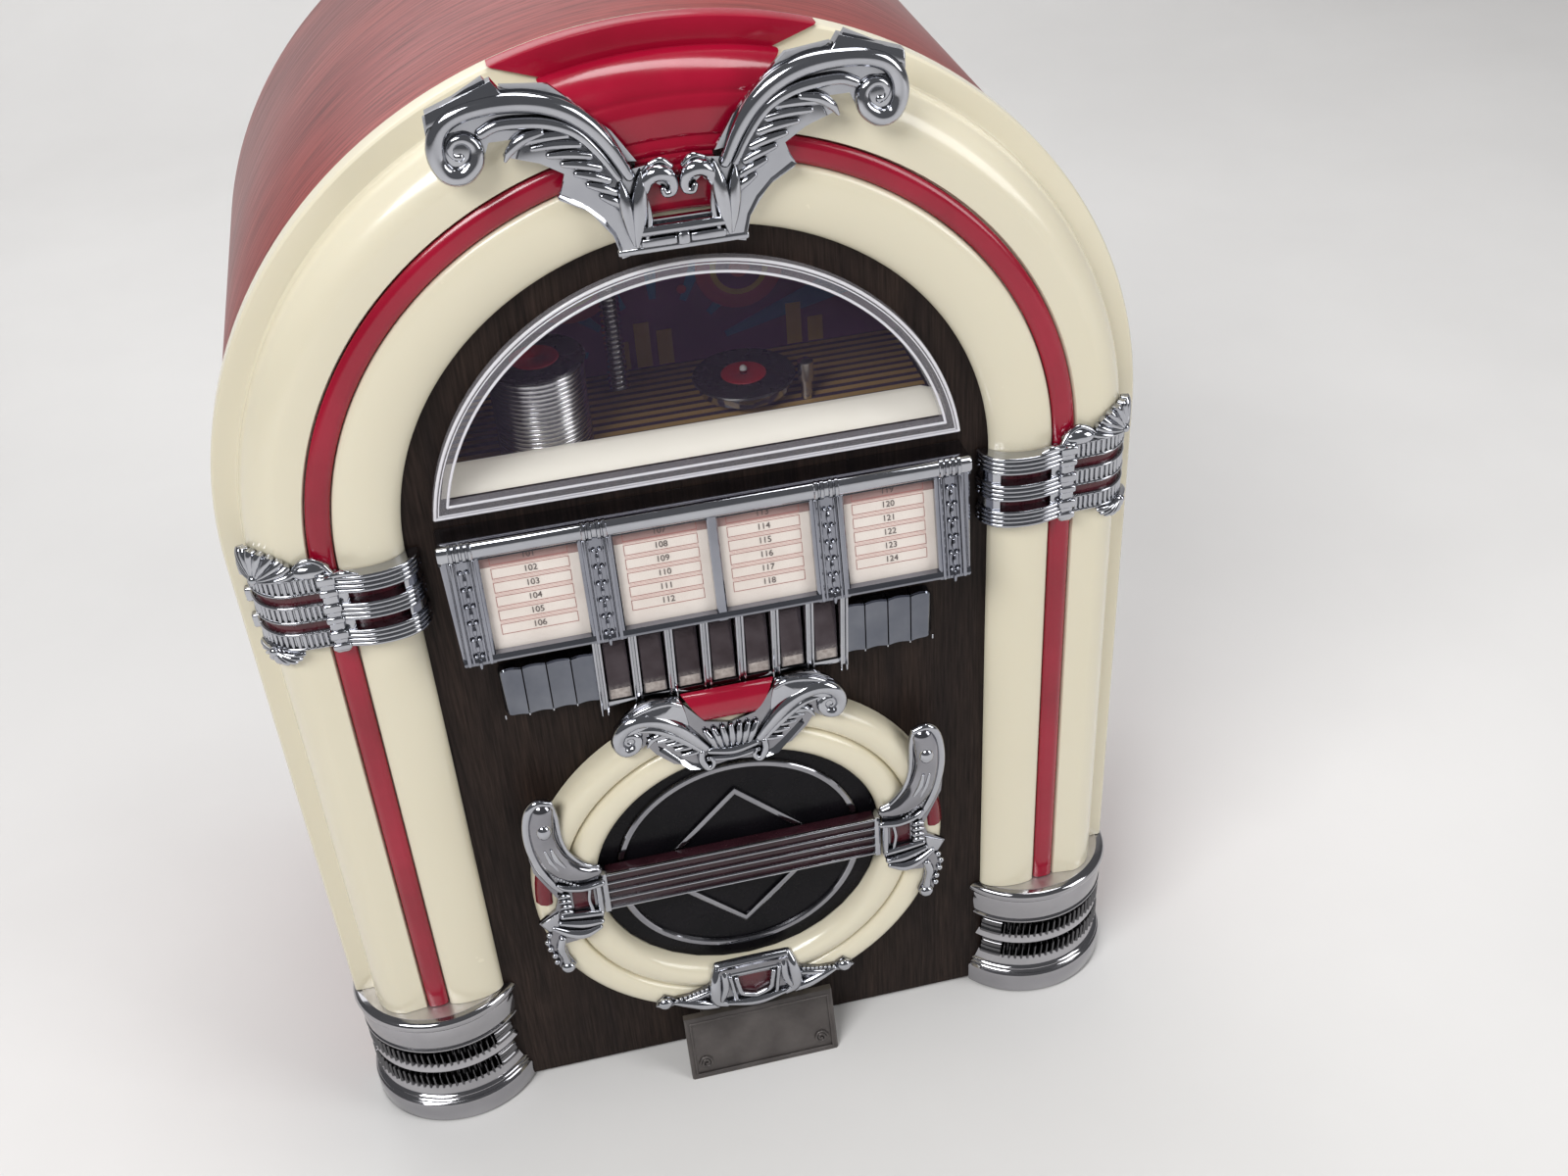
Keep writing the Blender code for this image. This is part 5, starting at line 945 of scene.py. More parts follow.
def title_walls(solid):
    """Bars between the openings, and the two side walls."""
    edges = [-TITLE_HALF_FOOT, *(x for span in CARD_SPANS for x in span), TITLE_HALF_FOOT]
    bevel, thick = 0.35, 1.8
    for x0, x1 in zip(edges[::2], edges[1::2]):
        rings = []
        for z in (TITLE_FOOT, 0.9):
            y = title_face(z)
            rings.append([(x0, y + thick, z), (x1, y + thick, z), (x1, y + bevel, z), (x1 - bevel, y, z),
                          (x0 + bevel, y, z), (x0, y + bevel, z)])
        solid.loft(rings)
    for side in (-1, 1):
        rings = []
        for z in (TITLE_FOOT, TITLE_TOP - 1.0):
            share = (z - TITLE_FOOT) / (TITLE_TOP - TITLE_FOOT)
            half = TITLE_HALF_FOOT + (TITLE_HALF_TOP - TITLE_HALF_FOOT) * share
            y = title_face(z)
            rings.append([(side * (half - thick), SEAT, z), (side * half, SEAT, z), (side * half, y + 0.5, z),
                          (side * (half - 0.5), y, z), (side * (half - thick), y, z)])
        solid.loft(rings)


def title_foot_rail(solid):
    """Rail along the foot of the title holder."""
    front = ((1.8, -25.0), (0.0, -25.0), (-0.3, -25.4), (-0.35, -26.4), (0.0, -27.0), (0.5, -27.2))
    outline = [(title_face(z) + out, z) for out, z in front]
    outline += [(SEAT, -27.2), (SEAT, -26.0), (title_face(-26.0) + 2.2, -26.0)]
    solid.loft([[(x, y, z) for y, z in outline] for x in (-TITLE_HALF_FOOT, TITLE_HALF_FOOT)])


def half_round(x, deep, rise, steps=12):
    """Half-round section of the top rail, from its top to its foot."""
    angles = [math.pi / 2 - math.pi * step / steps for step in range(steps + 1)]
    return [(x, title_face(RAIL_Z) - deep * math.cos(angle), RAIL_Z + rise * math.sin(angle))
            for angle in angles]


def title_top_rail(rail):
    """Half-round rail with a fine step above and below, slightly smaller at its ends."""
    rings = []
    step_y = title_face(0.3)
    for x, short in ((-66.2, 0.85), (-65.7, 1.0), (65.7, 1.0), (66.2, 0.85)):
        ring = [(x, SEAT, 5.3 * short), (x, -6.6, 5.4 * short), (x, -7.6, 5.5 * short)]
        ring += half_round(x, RAIL_DEEP * short, RAIL_RISE * short)
        ring += [(x, step_y + 0.1, 0.2), (x, step_y + 1.9, 0.2), (x, SEAT, 2.4)]
        rings.append(ring)
    rail.loft(rings)


def title_pilaster(solid, x0, x1):
    """Edge ridges with a hollow between and a column of paired beads."""
    middle = (x0 + x1) / 2
    for x, radius in ((x0 + 0.55, 0.5), (x0 + 1.6, 0.32), (x1 - 1.6, 0.32), (x1 - 0.55, 0.5)):
        line = [(x, title_face(z) - 0.15, z, radius) for z in (TITLE_FOOT + 0.4, -13.0, 0.4)]
        tube(solid, line, sides=10, per=2)
    for row in range(6):
        z = -2.2 - row * 4.45
        for shift in (-0.75, 0.75):
            ball(solid, (middle + shift, title_face(z) - 0.35, z), 0.62, 6, 10)
        drop = ((1.0, 0.9, 0.2, 0.3), (2.2, 2.2, 0.3, 0.5), (3.4, 3.5, 0.2, 0.3))
        tube(solid, [(middle, title_face(z - face) - out, z - down, radius)
                     for face, down, out, radius in drop], sides=8, per=3)


def title_collars(rail, x0, x1):
    """Four collars on the top rail, above a pilaster."""
    for x in (x0 + 0.9, x0 + 2.4, x1 - 2.4, x1 - 0.9):
        rings = []
        for shift, swell in ((-0.55, 0.1), (-0.35, 0.35), (0.35, 0.35), (0.55, 0.1)):
            back = title_face(RAIL_Z) + 0.8
            rings.append(half_round(x + shift, RAIL_DEEP + swell, RAIL_RISE + swell)
                         + [(x + shift, back, RAIL_Z - RAIL_RISE), (x + shift, back, RAIL_Z + RAIL_RISE)])
        rail.loft(rings)


def build_title_holder():
    """Chrome frame with its top rail, collars, beaded pilasters, and the cards of strips."""
    solid, rail = Solid(), Solid()
    title_walls(solid)
    title_foot_rail(solid)
    title_top_rail(rail)
    for x0, x1 in PILASTERS:
        title_pilaster(solid, x0, x1)
        title_collars(rail, x0, x1)
    piece("title_frame", solid, HOLDER_CHROME_DARK_REFLECTION, replaces=["title_holder"], slot="chrome")
    piece("title_rail", rail, CHROME, slot="chrome")
    build_cards()
    build_numbers()


def patch(solid, x, z, lift, thick):
    """A thin flat patch between pairs of x and z, lifted off the leaning card."""
    rings = []
    (x0, x1), card_depth = x, 2.3
    for height in z:
        front = title_face(height) + card_depth - lift
        back = front + thick
        rings.append([(x0, front, height), (x1, front, height), (x1, back, height), (x0, back, height)])
    solid.loft(rings)


def build_cards():
    """Four paper cards with six outlined strips each, and a painted shadow of the top rail over their top
    strips.
    """
    paper, shade, ink, pale = Solid(), Solid(), Solid(), Solid()
    high, line = CARD_TOP + 0.8, 0.13
    for start, end in CARD_SPANS:
        patch(paper, (start - 0.5, end + 0.5), (CARD_FOOT - 0.6, high), 0.0, 0.12)
        x0, x1 = start + 2.4, end - 2.4
        for row in range(STRIP_ROWS):
            z1 = CARD_TOP - 0.3 - row * STRIP_PITCH
            z0 = z1 - STRIP_TALL
            for x, z in (((x0, x1), (z1 - line, z1)), ((x0, x1), (z0, z0 + line)),
                         ((x0, x0 + line), (z0, z1)), ((x1 - line, x1), (z0, z1))):
                patch(ink, x, z, 0.09, 0.03)
            # painted shadow of the top rail over the top strip
            if row == 0:
                patch(shade, (start - 0.2, end + 0.2), (z0 - 0.45, high), 0.05, 0.05)
                continue
            for z in (z1 + 0.30, z1 + 0.65):
                patch(pale, (x0, x1), (z - 0.05, z + 0.05), 0.07, 0.03)
    piece("title_papers", paper, PAPER, replaces=["title_card"], slot="paper", sharp=30)
    piece("title_shades", shade, PAPER_RAIL_SHADOW, slot="paper", sharp=30)
    piece("title_lines", ink, INK, slot="paper", sharp=30)
    piece("title_pale_lines", pale, INK_PALE, slot="paper", sharp=30)


def build_numbers():
    """Plain numbers on the strips, one for each selection."""
    lean = math.atan2(FACE_FOOT - FACE_TOP, TITLE_TOP - TITLE_FOOT)
    number = 101
    for x0, x1 in CARD_SPANS:
        for row in range(STRIP_ROWS):
            z = CARD_TOP - 0.3 - row * STRIP_PITCH - STRIP_TALL / 2
            words(str(number), (x0 + x1) / 2, title_face(z) + 2.17, z, 2.3, lean)
            number += 1
    gather_words("strip_numbers", INK_DARK)


# Figures
LETTERS = []


def words(text, x, y, z, size, lean=0.0, turn=0.0):
    """Generic figures as a thin mesh, gathered for one piece."""
    data = bpy.data.curves.new("figure", "FONT")
    data.body = text
    data.size = size * MM
    data.align_x = "CENTER"
    data.align_y = "CENTER"
    data.extrude = 0.03 * MM
    obj = bpy.data.objects.new("figure", data)
    bpy.context.scene.collection.objects.link(obj)
    obj.matrix_world = (Matrix.Translation(place(x, y, z)) @ Matrix.Rotation(turn, 4, "Z")
                        @ Matrix.Rotation(math.pi / 2 - lean, 4, "X"))
    LETTERS.append(obj)


def gather_words(name, finish):
    """Join the figures made so far into one mesh piece."""
    work = bmesh.new()
    bpy.context.view_layer.update()
    depsgraph = bpy.context.evaluated_depsgraph_get()
    for obj in LETTERS:
        mesh = bpy.data.meshes.new_from_object(obj.evaluated_get(depsgraph))
        mesh.transform(obj.matrix_world)
        work.from_mesh(mesh)
        bpy.data.meshes.remove(mesh)
    for obj in LETTERS:
        bpy.data.objects.remove(obj, do_unlink=True)
    LETTERS.clear()
    mesh = bpy.data.meshes.new(name)
    work.to_mesh(mesh)
    work.free()
    obj = bpy.data.objects.new(name, mesh)
    bpy.context.scene.collection.objects.link(obj)
    mesh.materials.clear()
    mesh.materials.append(finish.material)
    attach(obj, "cabinet")


# Selector bank and keys
KEY_COUNT = 7
KEY_PITCH = 9.2
RIB_TOP, RIB_FOOT = -27.6, -55.5
RIB_HALF = 1.1
BANK_HALF = KEY_COUNT * KEY_PITCH / 2 + RIB_HALF
END_REACH = 57.9
END_FLUTES = 4


def rib_front(z):
    """How far forward a rib is at a height."""
    return -(10.0 + (6.8 - 10.0) * (RIB_TOP - z) / (RIB_TOP - RIB_FOOT))


def bank_ribs(solid):
    """Ribs with two bright edges and small pins, between two rails."""
    edge = ((0.0, 0.5), (0.1, 0.1), (0.35, 0.0), (0.6, 0.15), (0.8, 0.75))
    for index in range(KEY_COUNT + 1):
        x = (index - KEY_COUNT / 2) * KEY_PITCH
        rings = []
        for z in (RIB_TOP, -30.0, -40.0, -50.0, RIB_FOOT + 0.6, RIB_FOOT):
            y = rib_front(z) + (0.6 if z == RIB_FOOT else 0.0)
            rings.append([(x - RIB_HALF, SEAT, z), (x + RIB_HALF, SEAT, z)]
                         + [(x + RIB_HALF - inset, y + back, z) for inset, back in edge]
                         + [(x - RIB_HALF + inset, y + back, z) for inset, back in reversed(edge)])
        solid.loft(rings)
        y = rib_front(-55)
        for side in (-0.75, 0.75):
            pin = [(x + side, y + 0.4, -54.6, 0.28), (x + side, y + 0.5, -56.6, 0.28)]
            tube(solid, pin, sides=8, smooth=False)
    for z in ((-29.4, -27.6), (-54.6, -52.9)):
        slab(solid, (0.2 - BANK_HALF, BANK_HALF - 0.2), (-5.8, SEAT), z, 0.5)


def bank_ends(solid, ends):
    """End plates: wide shallow flutes with fine steps between and a rounded outer end, on small pins."""
    top, foot, rise = -38.0, -53.6, 4.0
    start = BANK_HALF - 0.4
    width = (END_REACH - start) / END_FLUTES
    for flute in range(END_FLUTES):
        x0 = start + flute * width
        x1 = x0 + width - 0.35
        last = flute == END_FLUTES - 1
        rings = []
        for step in range(9):
            share = step / 8
            x = x0 + (x1 - x0) * share
            y = -rise + 0.55 * math.sin(math.pi * share)
            inset = 0.0
            if last:
                y += 1.4 * max(0.0, (share - 0.7) / 0.3) ** 2
                inset = 1.6 * (1 - math.sqrt(max(0.0, 1 - max(0.0, (share - 0.55) / 0.45) ** 2)))
            low, high = foot + inset, top - inset
            rings.append([(x, SEAT, low), (x, SEAT, high), (x, y + 0.4, high), (x, y, high - 0.4),
                          (x, y, low + 0.4), (x, y + 0.4, low)])
        ends.loft(rings)
        pin = [(x1 + 0.1, -3.4, foot + 0.6, 0.25), (x1 + 0.1, -3.4, foot - 0.4, 0.25)]
        tube(solid, pin, sides=8, smooth=False)


def build_key(number):
    """A key leaning back towards its top, its stem, and the worn edge along its foot."""
    low, high = node_box(f"key_{number}")
    x0, x1, face = low[0], high[0], low[1]
    rings = []
    for z, y in ((-52.3, face + 0.5), (-51.9, face), (-40.5, face), (-39.6, face + 0.15), (-30.4, face + 1.0),
                 (-29.9, face + 1.4)):
        rings.append([(x0, -2.8, z), (x1, -2.8, z), (x1, y + 0.4, z), (x1 - 0.12, y + 0.12, z),
                      (x1 - 0.4, y, z), (x0 + 0.4, y, z), (x0 + 0.12, y + 0.12, z), (x0, y + 0.4, z)])
    cap = Solid().loft(rings)
    middle = (x0 + x1) / 2
    slab(cap, (middle - 2.0, middle + 2.0), (-2.9, high[1]), (-47.0, -44.0), 0.2)
    piece(f"key_cap_{number}", cap, KEY, body=f"key_{number}", replaces=[f"key_{number}"], slot="chrome")
    edge = Solid()
    slab(edge, (x0 + 0.45, x1 - 0.45), (face - 0.06, face + 0.6), (-51.8, -48.7), 0.1)
    piece(f"key_edge_{number}", edge, WORN_EDGE, body=f"key_{number}", slot="cream_plastic")


def build_bank():
    """Ribs, end plates and keys."""
    ribs, pins, ends = Solid(), Solid(), Solid()
    bank_ribs(ribs)
    bank_ends(pins, ends)
    piece("selector_ribs", ribs.join(pins.doubled()), CHROME, replaces=["selector_bank"], slot="chrome")
    piece("selector_ends", ends.doubled(), DARK_REFLECTION_CHROME, slot="chrome")
    for number in range(1, KEY_COUNT + 1):
        build_key(number)


# Speaker ring
RING_Z = -121.6
RING_R = 60.0
RING_HOLE = 41.7
RING_STEPS = 120
TRIM_STEPS = 96


def ring_section():
    """Two tubes with the crease between them, as (radius, y)."""
    crease = (RING_R + RING_HOLE) / 2
    rim, dip, crest, steps = 1.2, 3.4, 7.3, 16
    profile = [(RING_HOLE, SEAT)]
    for start, end, by_crease in ((RING_HOLE, crease, (False, True)), (crease, RING_R, (True, False))):
        for step in range(steps + 1):
            share = step / steps
            r = start + (end - start) * (1 - math.cos(math.pi * share)) / 2
            low = dip if by_crease[share > 0.5] else rim
            swell = 0.0 if step in (0, steps) else math.sin(math.pi * share) ** 0.7
            profile.append((r, -(low + (crest - low) * swell)))
    return profile + [(RING_R, SEAT)]


def build_ring():
    """Two ivory tubes round the speaker."""
    section = ring_section()
    solid = Solid().loft([[(r * math.cos(angle), y, RING_Z + r * math.sin(angle)) for r, y in section]
                          for angle in circle(RING_STEPS)], loop=True)
    piece("ivory_ring", solid, IVORY, replaces=["speaker_ring"], slot="ivory", sharp=50)


def build_grille():
    """Thin chrome circle and diamond over the black plate."""
    section = [(33.9, -1.9), (34.1, -2.6), (34.4, -2.85), (35.7, -2.85), (36.0, -2.6), (36.2, -1.9)]
    solid = Solid().loft([[(r * math.cos(angle), y, RING_Z + r * math.sin(angle)) for r, y in section]
                          for angle in circle(TRIM_STEPS)], loop=True)
    half, band = 27.0, 0.095
    edge = ((1.0, -1.9), (0.993, -2.7), (0.98, -2.85), (1.02 - band, -2.85), (1.007 - band, -2.7),
            (1 - band, -1.9))
    solid.loft([[(x * share, y, RING_Z + z * share) for share, y in edge]
                for x, z in ((half, 0), (0, half), (-half, 0), (0, -half))], loop=True)
    for x in (-30.0, 30.0):
        slab(solid, (x - 3.4, x + 3.4), (-2.8, -1.9), (RING_Z - 1.2, RING_Z + 1.2), 0.2)
    piece("thin_trim", solid, SHADED_TRIM_CHROME, replaces=["grille_trim"], slot="chrome")
    build_cross_bar()
    build_plaque()


def build_cross_bar(count=5):
    """Cross bar with its fine ribs and end blocks, on a near-black base of painted shade and reflection
    between the ribs.
    """
    low, high = node_box("cross_bar")
    bar = Solid()
    slab(bar, (low[0], high[0]), (low[1] + 1.3, high[1]), (low[2], high[2]), 0.3)
    piece("cross_bar_base", bar, GROOVE_PAINTED_SHADE, replaces=["cross_bar"], slot="chrome")
    ribs = Solid()
    y = low[1] + 0.95
    for rib in range(count):
        z = low[2] + 0.55 + (high[2] - low[2] - 1.1) * rib / (count - 1)
        tube(ribs, [(low[0] + 0.4, y, z, 0.42), (high[0] - 0.4, y, z, 0.42)], sides=12, smooth=False)
        slab(ribs, (low[0] + 0.2, high[0] - 0.2), (y, low[1] + 1.6), (z - 0.4, z + 0.4), 0.1)
    for x in (-high[0], high[0]):
        slab(ribs, (x - 0.9, x + 0.9), (low[1] + 0.4, high[1]), (low[2] - 0.3, high[2] + 0.3), 0.3)
    piece("cross_bar_ribs", ribs, CHROME, slot="chrome")


def build_plaque():
    """Pewter plaque leaning out at the foot, with a raised line and a small scroll in each lower corner."""
    low, high = node_box("plaque")
    half, foot_y, top_y, thick, edge, inset = high[0], low[1], -9.4, 2.0, 0.5, 1.6

    def face(z):
        return foot_y + (top_y - foot_y) * (z - low[2]) / (high[2] - low[2])

    rings = []
    for z, bevel in ((low[2], edge), (low[2] + edge, 0.0), (high[2] - edge, 0.0), (high[2], edge)):
        y = face(z) + bevel * 0.5
        rings.append([(-half, y + thick, z), (half, y + thick, z), (half, y + edge, z), (half - edge, y, z),
                      (-half + edge, y, z), (-half, y + edge, z)])
    solid = Solid().loft(rings)
    slab(solid, (-half + 6.0, half - 6.0), (top_y + thick - 0.2, high[1]),
         (high[2] - 6.0, high[2] - 1.5), 0.3)
    x, z0, z1 = half - inset, low[2] + inset, high[2] - inset
    corners = [(-x, z0), (x, z0), (x, z1), (-x, z1)]
    for start, end in zip(corners, corners[1:] + corners[:1]):
        tube(solid, [(x, face(z) - 0.12, z, 0.38) for x, z in (start, end)], sides=8, smooth=False)
    for side in (-1, 1):
        path = []
        for step in range(16):
            angle = math.radians(44 * step)
            reach = 2.1 * (1 - step / 19)
            z = low[2] + 5.4 + reach * math.sin(angle)
            path.append((side * (half - 5.0 + reach * math.cos(angle)), face(z) - 0.2, z, 0.42))
        tube(solid, path, sides=8, per=2)
    piece("pewter_plaque", solid, PEWTER, replaces=["plaque"], slot="pewter")


# Chrome ornaments
def ribbon(solid, inner, outer, thick=0.8, sag=0.5, steps=5):
    """A thin curved sheet between two lines of (x, y, z), dished between them."""
    rings = []
    for a, b in zip(inner, outer):
        front = []
        for step in range(steps + 1):
            share = step / steps
            x, y, z = (p + (q - p) * share for p, q in zip(a, b))
            front.append((x, y + sag * math.sin(math.pi * share), z))
        rings.append(front + [(x, y + thick, z) for x, y, z in reversed(front)])
    solid.loft(rings)


def beads(solid, start, end, count, radius):
    """A row of small balls between two points."""
    for index in range(count):
        share = index / (count - 1)
        ball(solid, tuple(a + (b - a) * share for a, b in zip(start, end)), radius, 6, 10)


def at_depth(points, y):
    """Points of (x, z) at one depth."""
    return [(x, y, z) for x, z in points]


def lay(points, y, radii):
    """Points of (x, z) at one depth, with a radius each."""
    return [(x, y, z, radius) for (x, z), radius in zip(points, radii)]


TOP_OUTLINE = (
    (0.0, 0.062), (0.272, 0.0), (0.30, 0.11), (0.39, 0.235), (0.507, 0.30), (0.47, 0.41),
    (0.563, 0.468), (0.707, 0.518), (0.641, 0.584), (0.757, 0.584), (0.796, 0.497),
    (0.878, 0.462), (0.97, 0.507), (1.0, 0.594), (1.0, 0.718), (0.744, 0.849), (0.713, 0.804),
    (0.563, 0.769), (0.423, 0.68), (0.272, 0.526), (0.19, 0.39), (0.117, 0.40), (0.062, 0.396),
    (0.0, 0.332), (0.03, 0.262), (0.10, 0.32), (0.163, 0.25), (0.163, 0.155), (0.0, 0.155))


def feathers(solid, pairs, y, wide, narrow):
    """Slanted leaf feathers, each from its root to its tip."""
    for (x0, z0), (x1, z1) in pairs:
        x0, x1 = x0 - (x1 - x0) * 0.18, x1 + (x1 - x0) * 0.12
        bend = ((x0 + x1) / 2, (z0 + z1) / 2 + (x1 - x0) * 0.05)
        tube(solid, [(x0, y + 0.5, z0, wide * 0.9), (bend[0], y, bend[1], wide),
                     (x1, y + 0.1, z1, narrow)], sides=12, per=5, flat=0.85)


def crest_scroll(wing):
    """Scrolled rail with its ridge, the thin flange over it and the flat tab at its outer end."""
    rail = ((10.3, 90.2), (14.0, 97.7), (17.9, 102.9), (23.0, 106.8), (29.4, 109.1), (37.1, 109.6),
            (44.2, 108.4), (48.2, 105.4), (49.4, 100.5), (47.8, 96.4), (44.6, 95.6), (41.6, 98.0),
            (41.2, 101.2), (43.0, 103.2), (45.3, 103.0), (46.4, 101.4), (45.8, 99.9), (44.6, 99.6))
    radii = (1.2, 1.7, 2.0, 2.2, 2.3, 2.2, 2.1, 2.0, 2.0, 2.1, 2.2, 1.9, 1.5, 1.3, 1.1, 1.0, 0.9, 1.2)
    tube(wing, lay(rail, -8.4, radii), sides=16, per=6, flat=1.0)
    ball(wing, (45.0, -7.2, 99.9), 5.2, 10, 24, (1.0, 0.38, 1.0))
    ridge = ((12.6, 89.8), (16.3, 96.2), (20.4, 101.2), (25.7, 103.9), (31.3, 104.9), (36.3, 105.0),
             (39.8, 103.6))
    tube(wing, lay(ridge, -8.1, (0.8, 1.1, 1.4, 1.5, 1.5, 1.4, 1.2)), sides=12)
    inner = ((10.9, 93.4), (15.2, 99.4), (20.4, 104.6), (26.0, 108.6), (32.0, 111.0))
    outer = ((8.4, 93.0), (13.0, 100.3), (20.2, 107.6), (24.8, 111.9), (34.6, 113.0))
    ribbon(wing, at_depth(inner, -8.0), at_depth(outer, -7.7), 1.1, 0.1)
    plate(wing, [(33.6, 110.6), (36.2, 114.6), (50.2, 109.6), (50.3, 106.6), (44.0, 109.4)], -6.4, -9.3, 0.3)


def crest_leaf(wing):
    """Leaf with its feathers and hooked tip, and the smooth flange below it."""
    leaf = [(12.1, 81.2), (16.8, 86.2), (19.9, 90.2), (23.7, 94.3), (28.0, 96.2), (33.4, 97.4),
            (31.4, 101.6), (26.0, 102.6), (20.0, 99.6), (15.6, 94.0), (12.6, 88.6)]
    plate(wing, leaf, -6.6, -8.3, 0.5)
    pairs = (((12.9, 83.6), (16.2, 86.6)), ((14.2, 86.8), (18.6, 89.6)), ((15.7, 89.8), (20.8, 92.4)),
             ((17.4, 92.8), (23.2, 94.9)), ((19.3, 95.8), (25.8, 97.2)), ((21.4, 98.6), (28.8, 99.2)),
             ((23.8, 101.0), (31.8, 100.6)))
    feathers(wing, pairs, -8.7, 1.05, 0.7)
    tube(wing, lay(((27.6, 102.4), (31.4, 101.6), (34.2, 99.6), (35.6, 97.4)), -8.6,
                   (0.9, 1.3, 1.1, 0.4)), sides=12)
    inner = ((10.9, 74.4), (12.0, 79.6), (14.6, 83.8), (17.6, 87.6), (20.2, 90.9), (22.6, 93.4))
    outer = ((13.8, 72.8), (15.0, 77.2), (17.2, 81.0), (20.8, 84.6), (26.0, 87.6), (24.4, 90.6))
    ribbon(wing, at_depth(inner, -7.7), at_depth(outer, -8.4), 0.9, 0.8)


def crest_posts(wing):
    """Tulip posts, and a curl with a rounded top beside them."""
    for x0, x1, z0, z1, wide in ((10.3, 7.9, 74.2, 90.9, 1.95), (10.9, 12.4, 74.6, 89.4, 1.6)):
        line = [(x0 + (x1 - x0) * s, -8.9, z0 + (z1 - z0) * s, wide * w)
                for s, w in ((0.0, 0.2), (0.25, 0.75), (0.55, 1.0), (0.82, 0.7), (1.0, 0.12))]
        tube(wing, line, sides=14, flat=0.95)
    tube(wing, [(8.0, -8.6, 75.6, 0.5), (7.0, -8.7, 80.0, 0.7), (7.4, -8.6, 85.5, 0.5)], sides=10)
    tube(wing, lay(((7.6, 86.6), (6.6, 89.0), (4.6, 90.2), (2.4, 89.5), (1.25, 87.4), (1.5, 85.6),
                    (2.9, 85.2), (3.5, 86.3)), -8.6, (1.2, 1.7, 1.95, 1.75, 1.2, 1.0, 0.85, 0.75)),
         sides=16, per=7)
    tube(wing, lay(((5.9, 92.0), (3.4, 92.6), (1.3, 91.0)), -8.0, (0.5, 0.8, 0.6)), sides=12)


def build_top_ornament():
    """Two scroll wings with feathered leaves, joined by a bracket with an open window."""
    low, high = node_box("top_ornament")
    half, base = high[0], low[2]
    wing = Solid().sheet([(x * half * 0.985, base + z * half) for x, z in TOP_OUTLINE], (-6.5, -7.9))
    crest_scroll(wing)
    crest_leaf(wing)
    crest_posts(wing)
    both = wing.doubled()
    tube(both, [(-9.6, -8.7, 77.4, 1.25), (0.0, -8.7, 77.4, 1.25), (9.6, -8.7, 77.4, 1.25)], smooth=False)
    slab(both, (-9.4, -1.5), (-9.3, -6.8), (73.6, 75.6), 0.4)
    slab(both, (1.5, 9.4), (-9.3, -6.8), (73.6, 75.6), 0.4)
    slab(both, (-1.3, 1.3), (-9.6, -6.8), (73.2, 76.2), 0.5)
    slab(both, (-14.6, 14.6), (-8.2, -6.8), (71.8, 73.4), 0.4)
    piece("scroll_crest", both, CHROME, replaces=["top_ornament"], slot="chrome", sharp=50)


def ring_spot(x, z):
    """Shares of the ring's radius, measured from its middle, as a place."""
    return x * RING_R, RING_Z + z * RING_R


def shares_to_ring(points):
    """Places from shares of the ring's radius."""
    return [ring_spot(x, z) for x, z in points]


def bars_on(solid):
    """A function that adds bars to a solid, along shares of the ring's radius."""
    def bar(points, y, radii, **extra):
        tube(solid, lay(shares_to_ring(points), y, radii), **extra)
    return bar


RING_TOP_OUTLINE = (
    (0.0, 0.03), (0.19, 0.0), (0.25, 0.01), (0.33, 0.03), (0.52, 0.10), (0.66, 0.24), (0.74, 0.37),
    (0.80, 0.32), (0.874, 0.31), (0.96, 0.35), (1.0, 0.44), (0.99, 0.60), (0.88, 0.73), (0.74, 0.82),
    (0.63, 0.83), (0.44, 0.80), (0.31, 0.62), (0.22, 0.50), (0.0, 0.44))
RING_SIDE_OUTLINE = (
    (0.87, 0.69), (0.93, 0.67), (0.965, 0.61), (0.992, 0.457), (0.975, 0.26), (0.908, 0.11),
    (0.887, 0.062), (0.908, -0.007), (0.995, -0.073), (0.958, -0.14), (0.98, -0.225), (0.942, -0.315),
    (0.937, -0.39), (0.897, -0.43), (0.857, -0.39), (0.883, -0.323), (0.892, -0.24), (0.80, -0.23),
    (0.70, -0.14), (0.685, -0.09), (0.685, 0.152), (0.665, 0.205), (0.742, 0.227), (0.80, 0.302),
    (0.817, 0.41), (0.82, 0.527), (0.825, 0.627), (0.84, 0.67))
RING_BOTTOM_OUTLINE = (
    (0.0, -0.945), (0.10, -0.935), (0.217, -0.91), (0.333, -0.87), (0.408, -0.84), (0.46, -0.855),
    (0.507, -0.808), (0.46, -0.762), (0.413, -0.793), (0.333, -0.79), (0.242, -0.757),
    (0.20, -0.71), (0.17, -0.675), (0.0, -0.67), (0.0, -0.735), (0.085, -0.735), (0.075, -0.84),
    (0.0, -0.875))
SLIT_POINT = 19


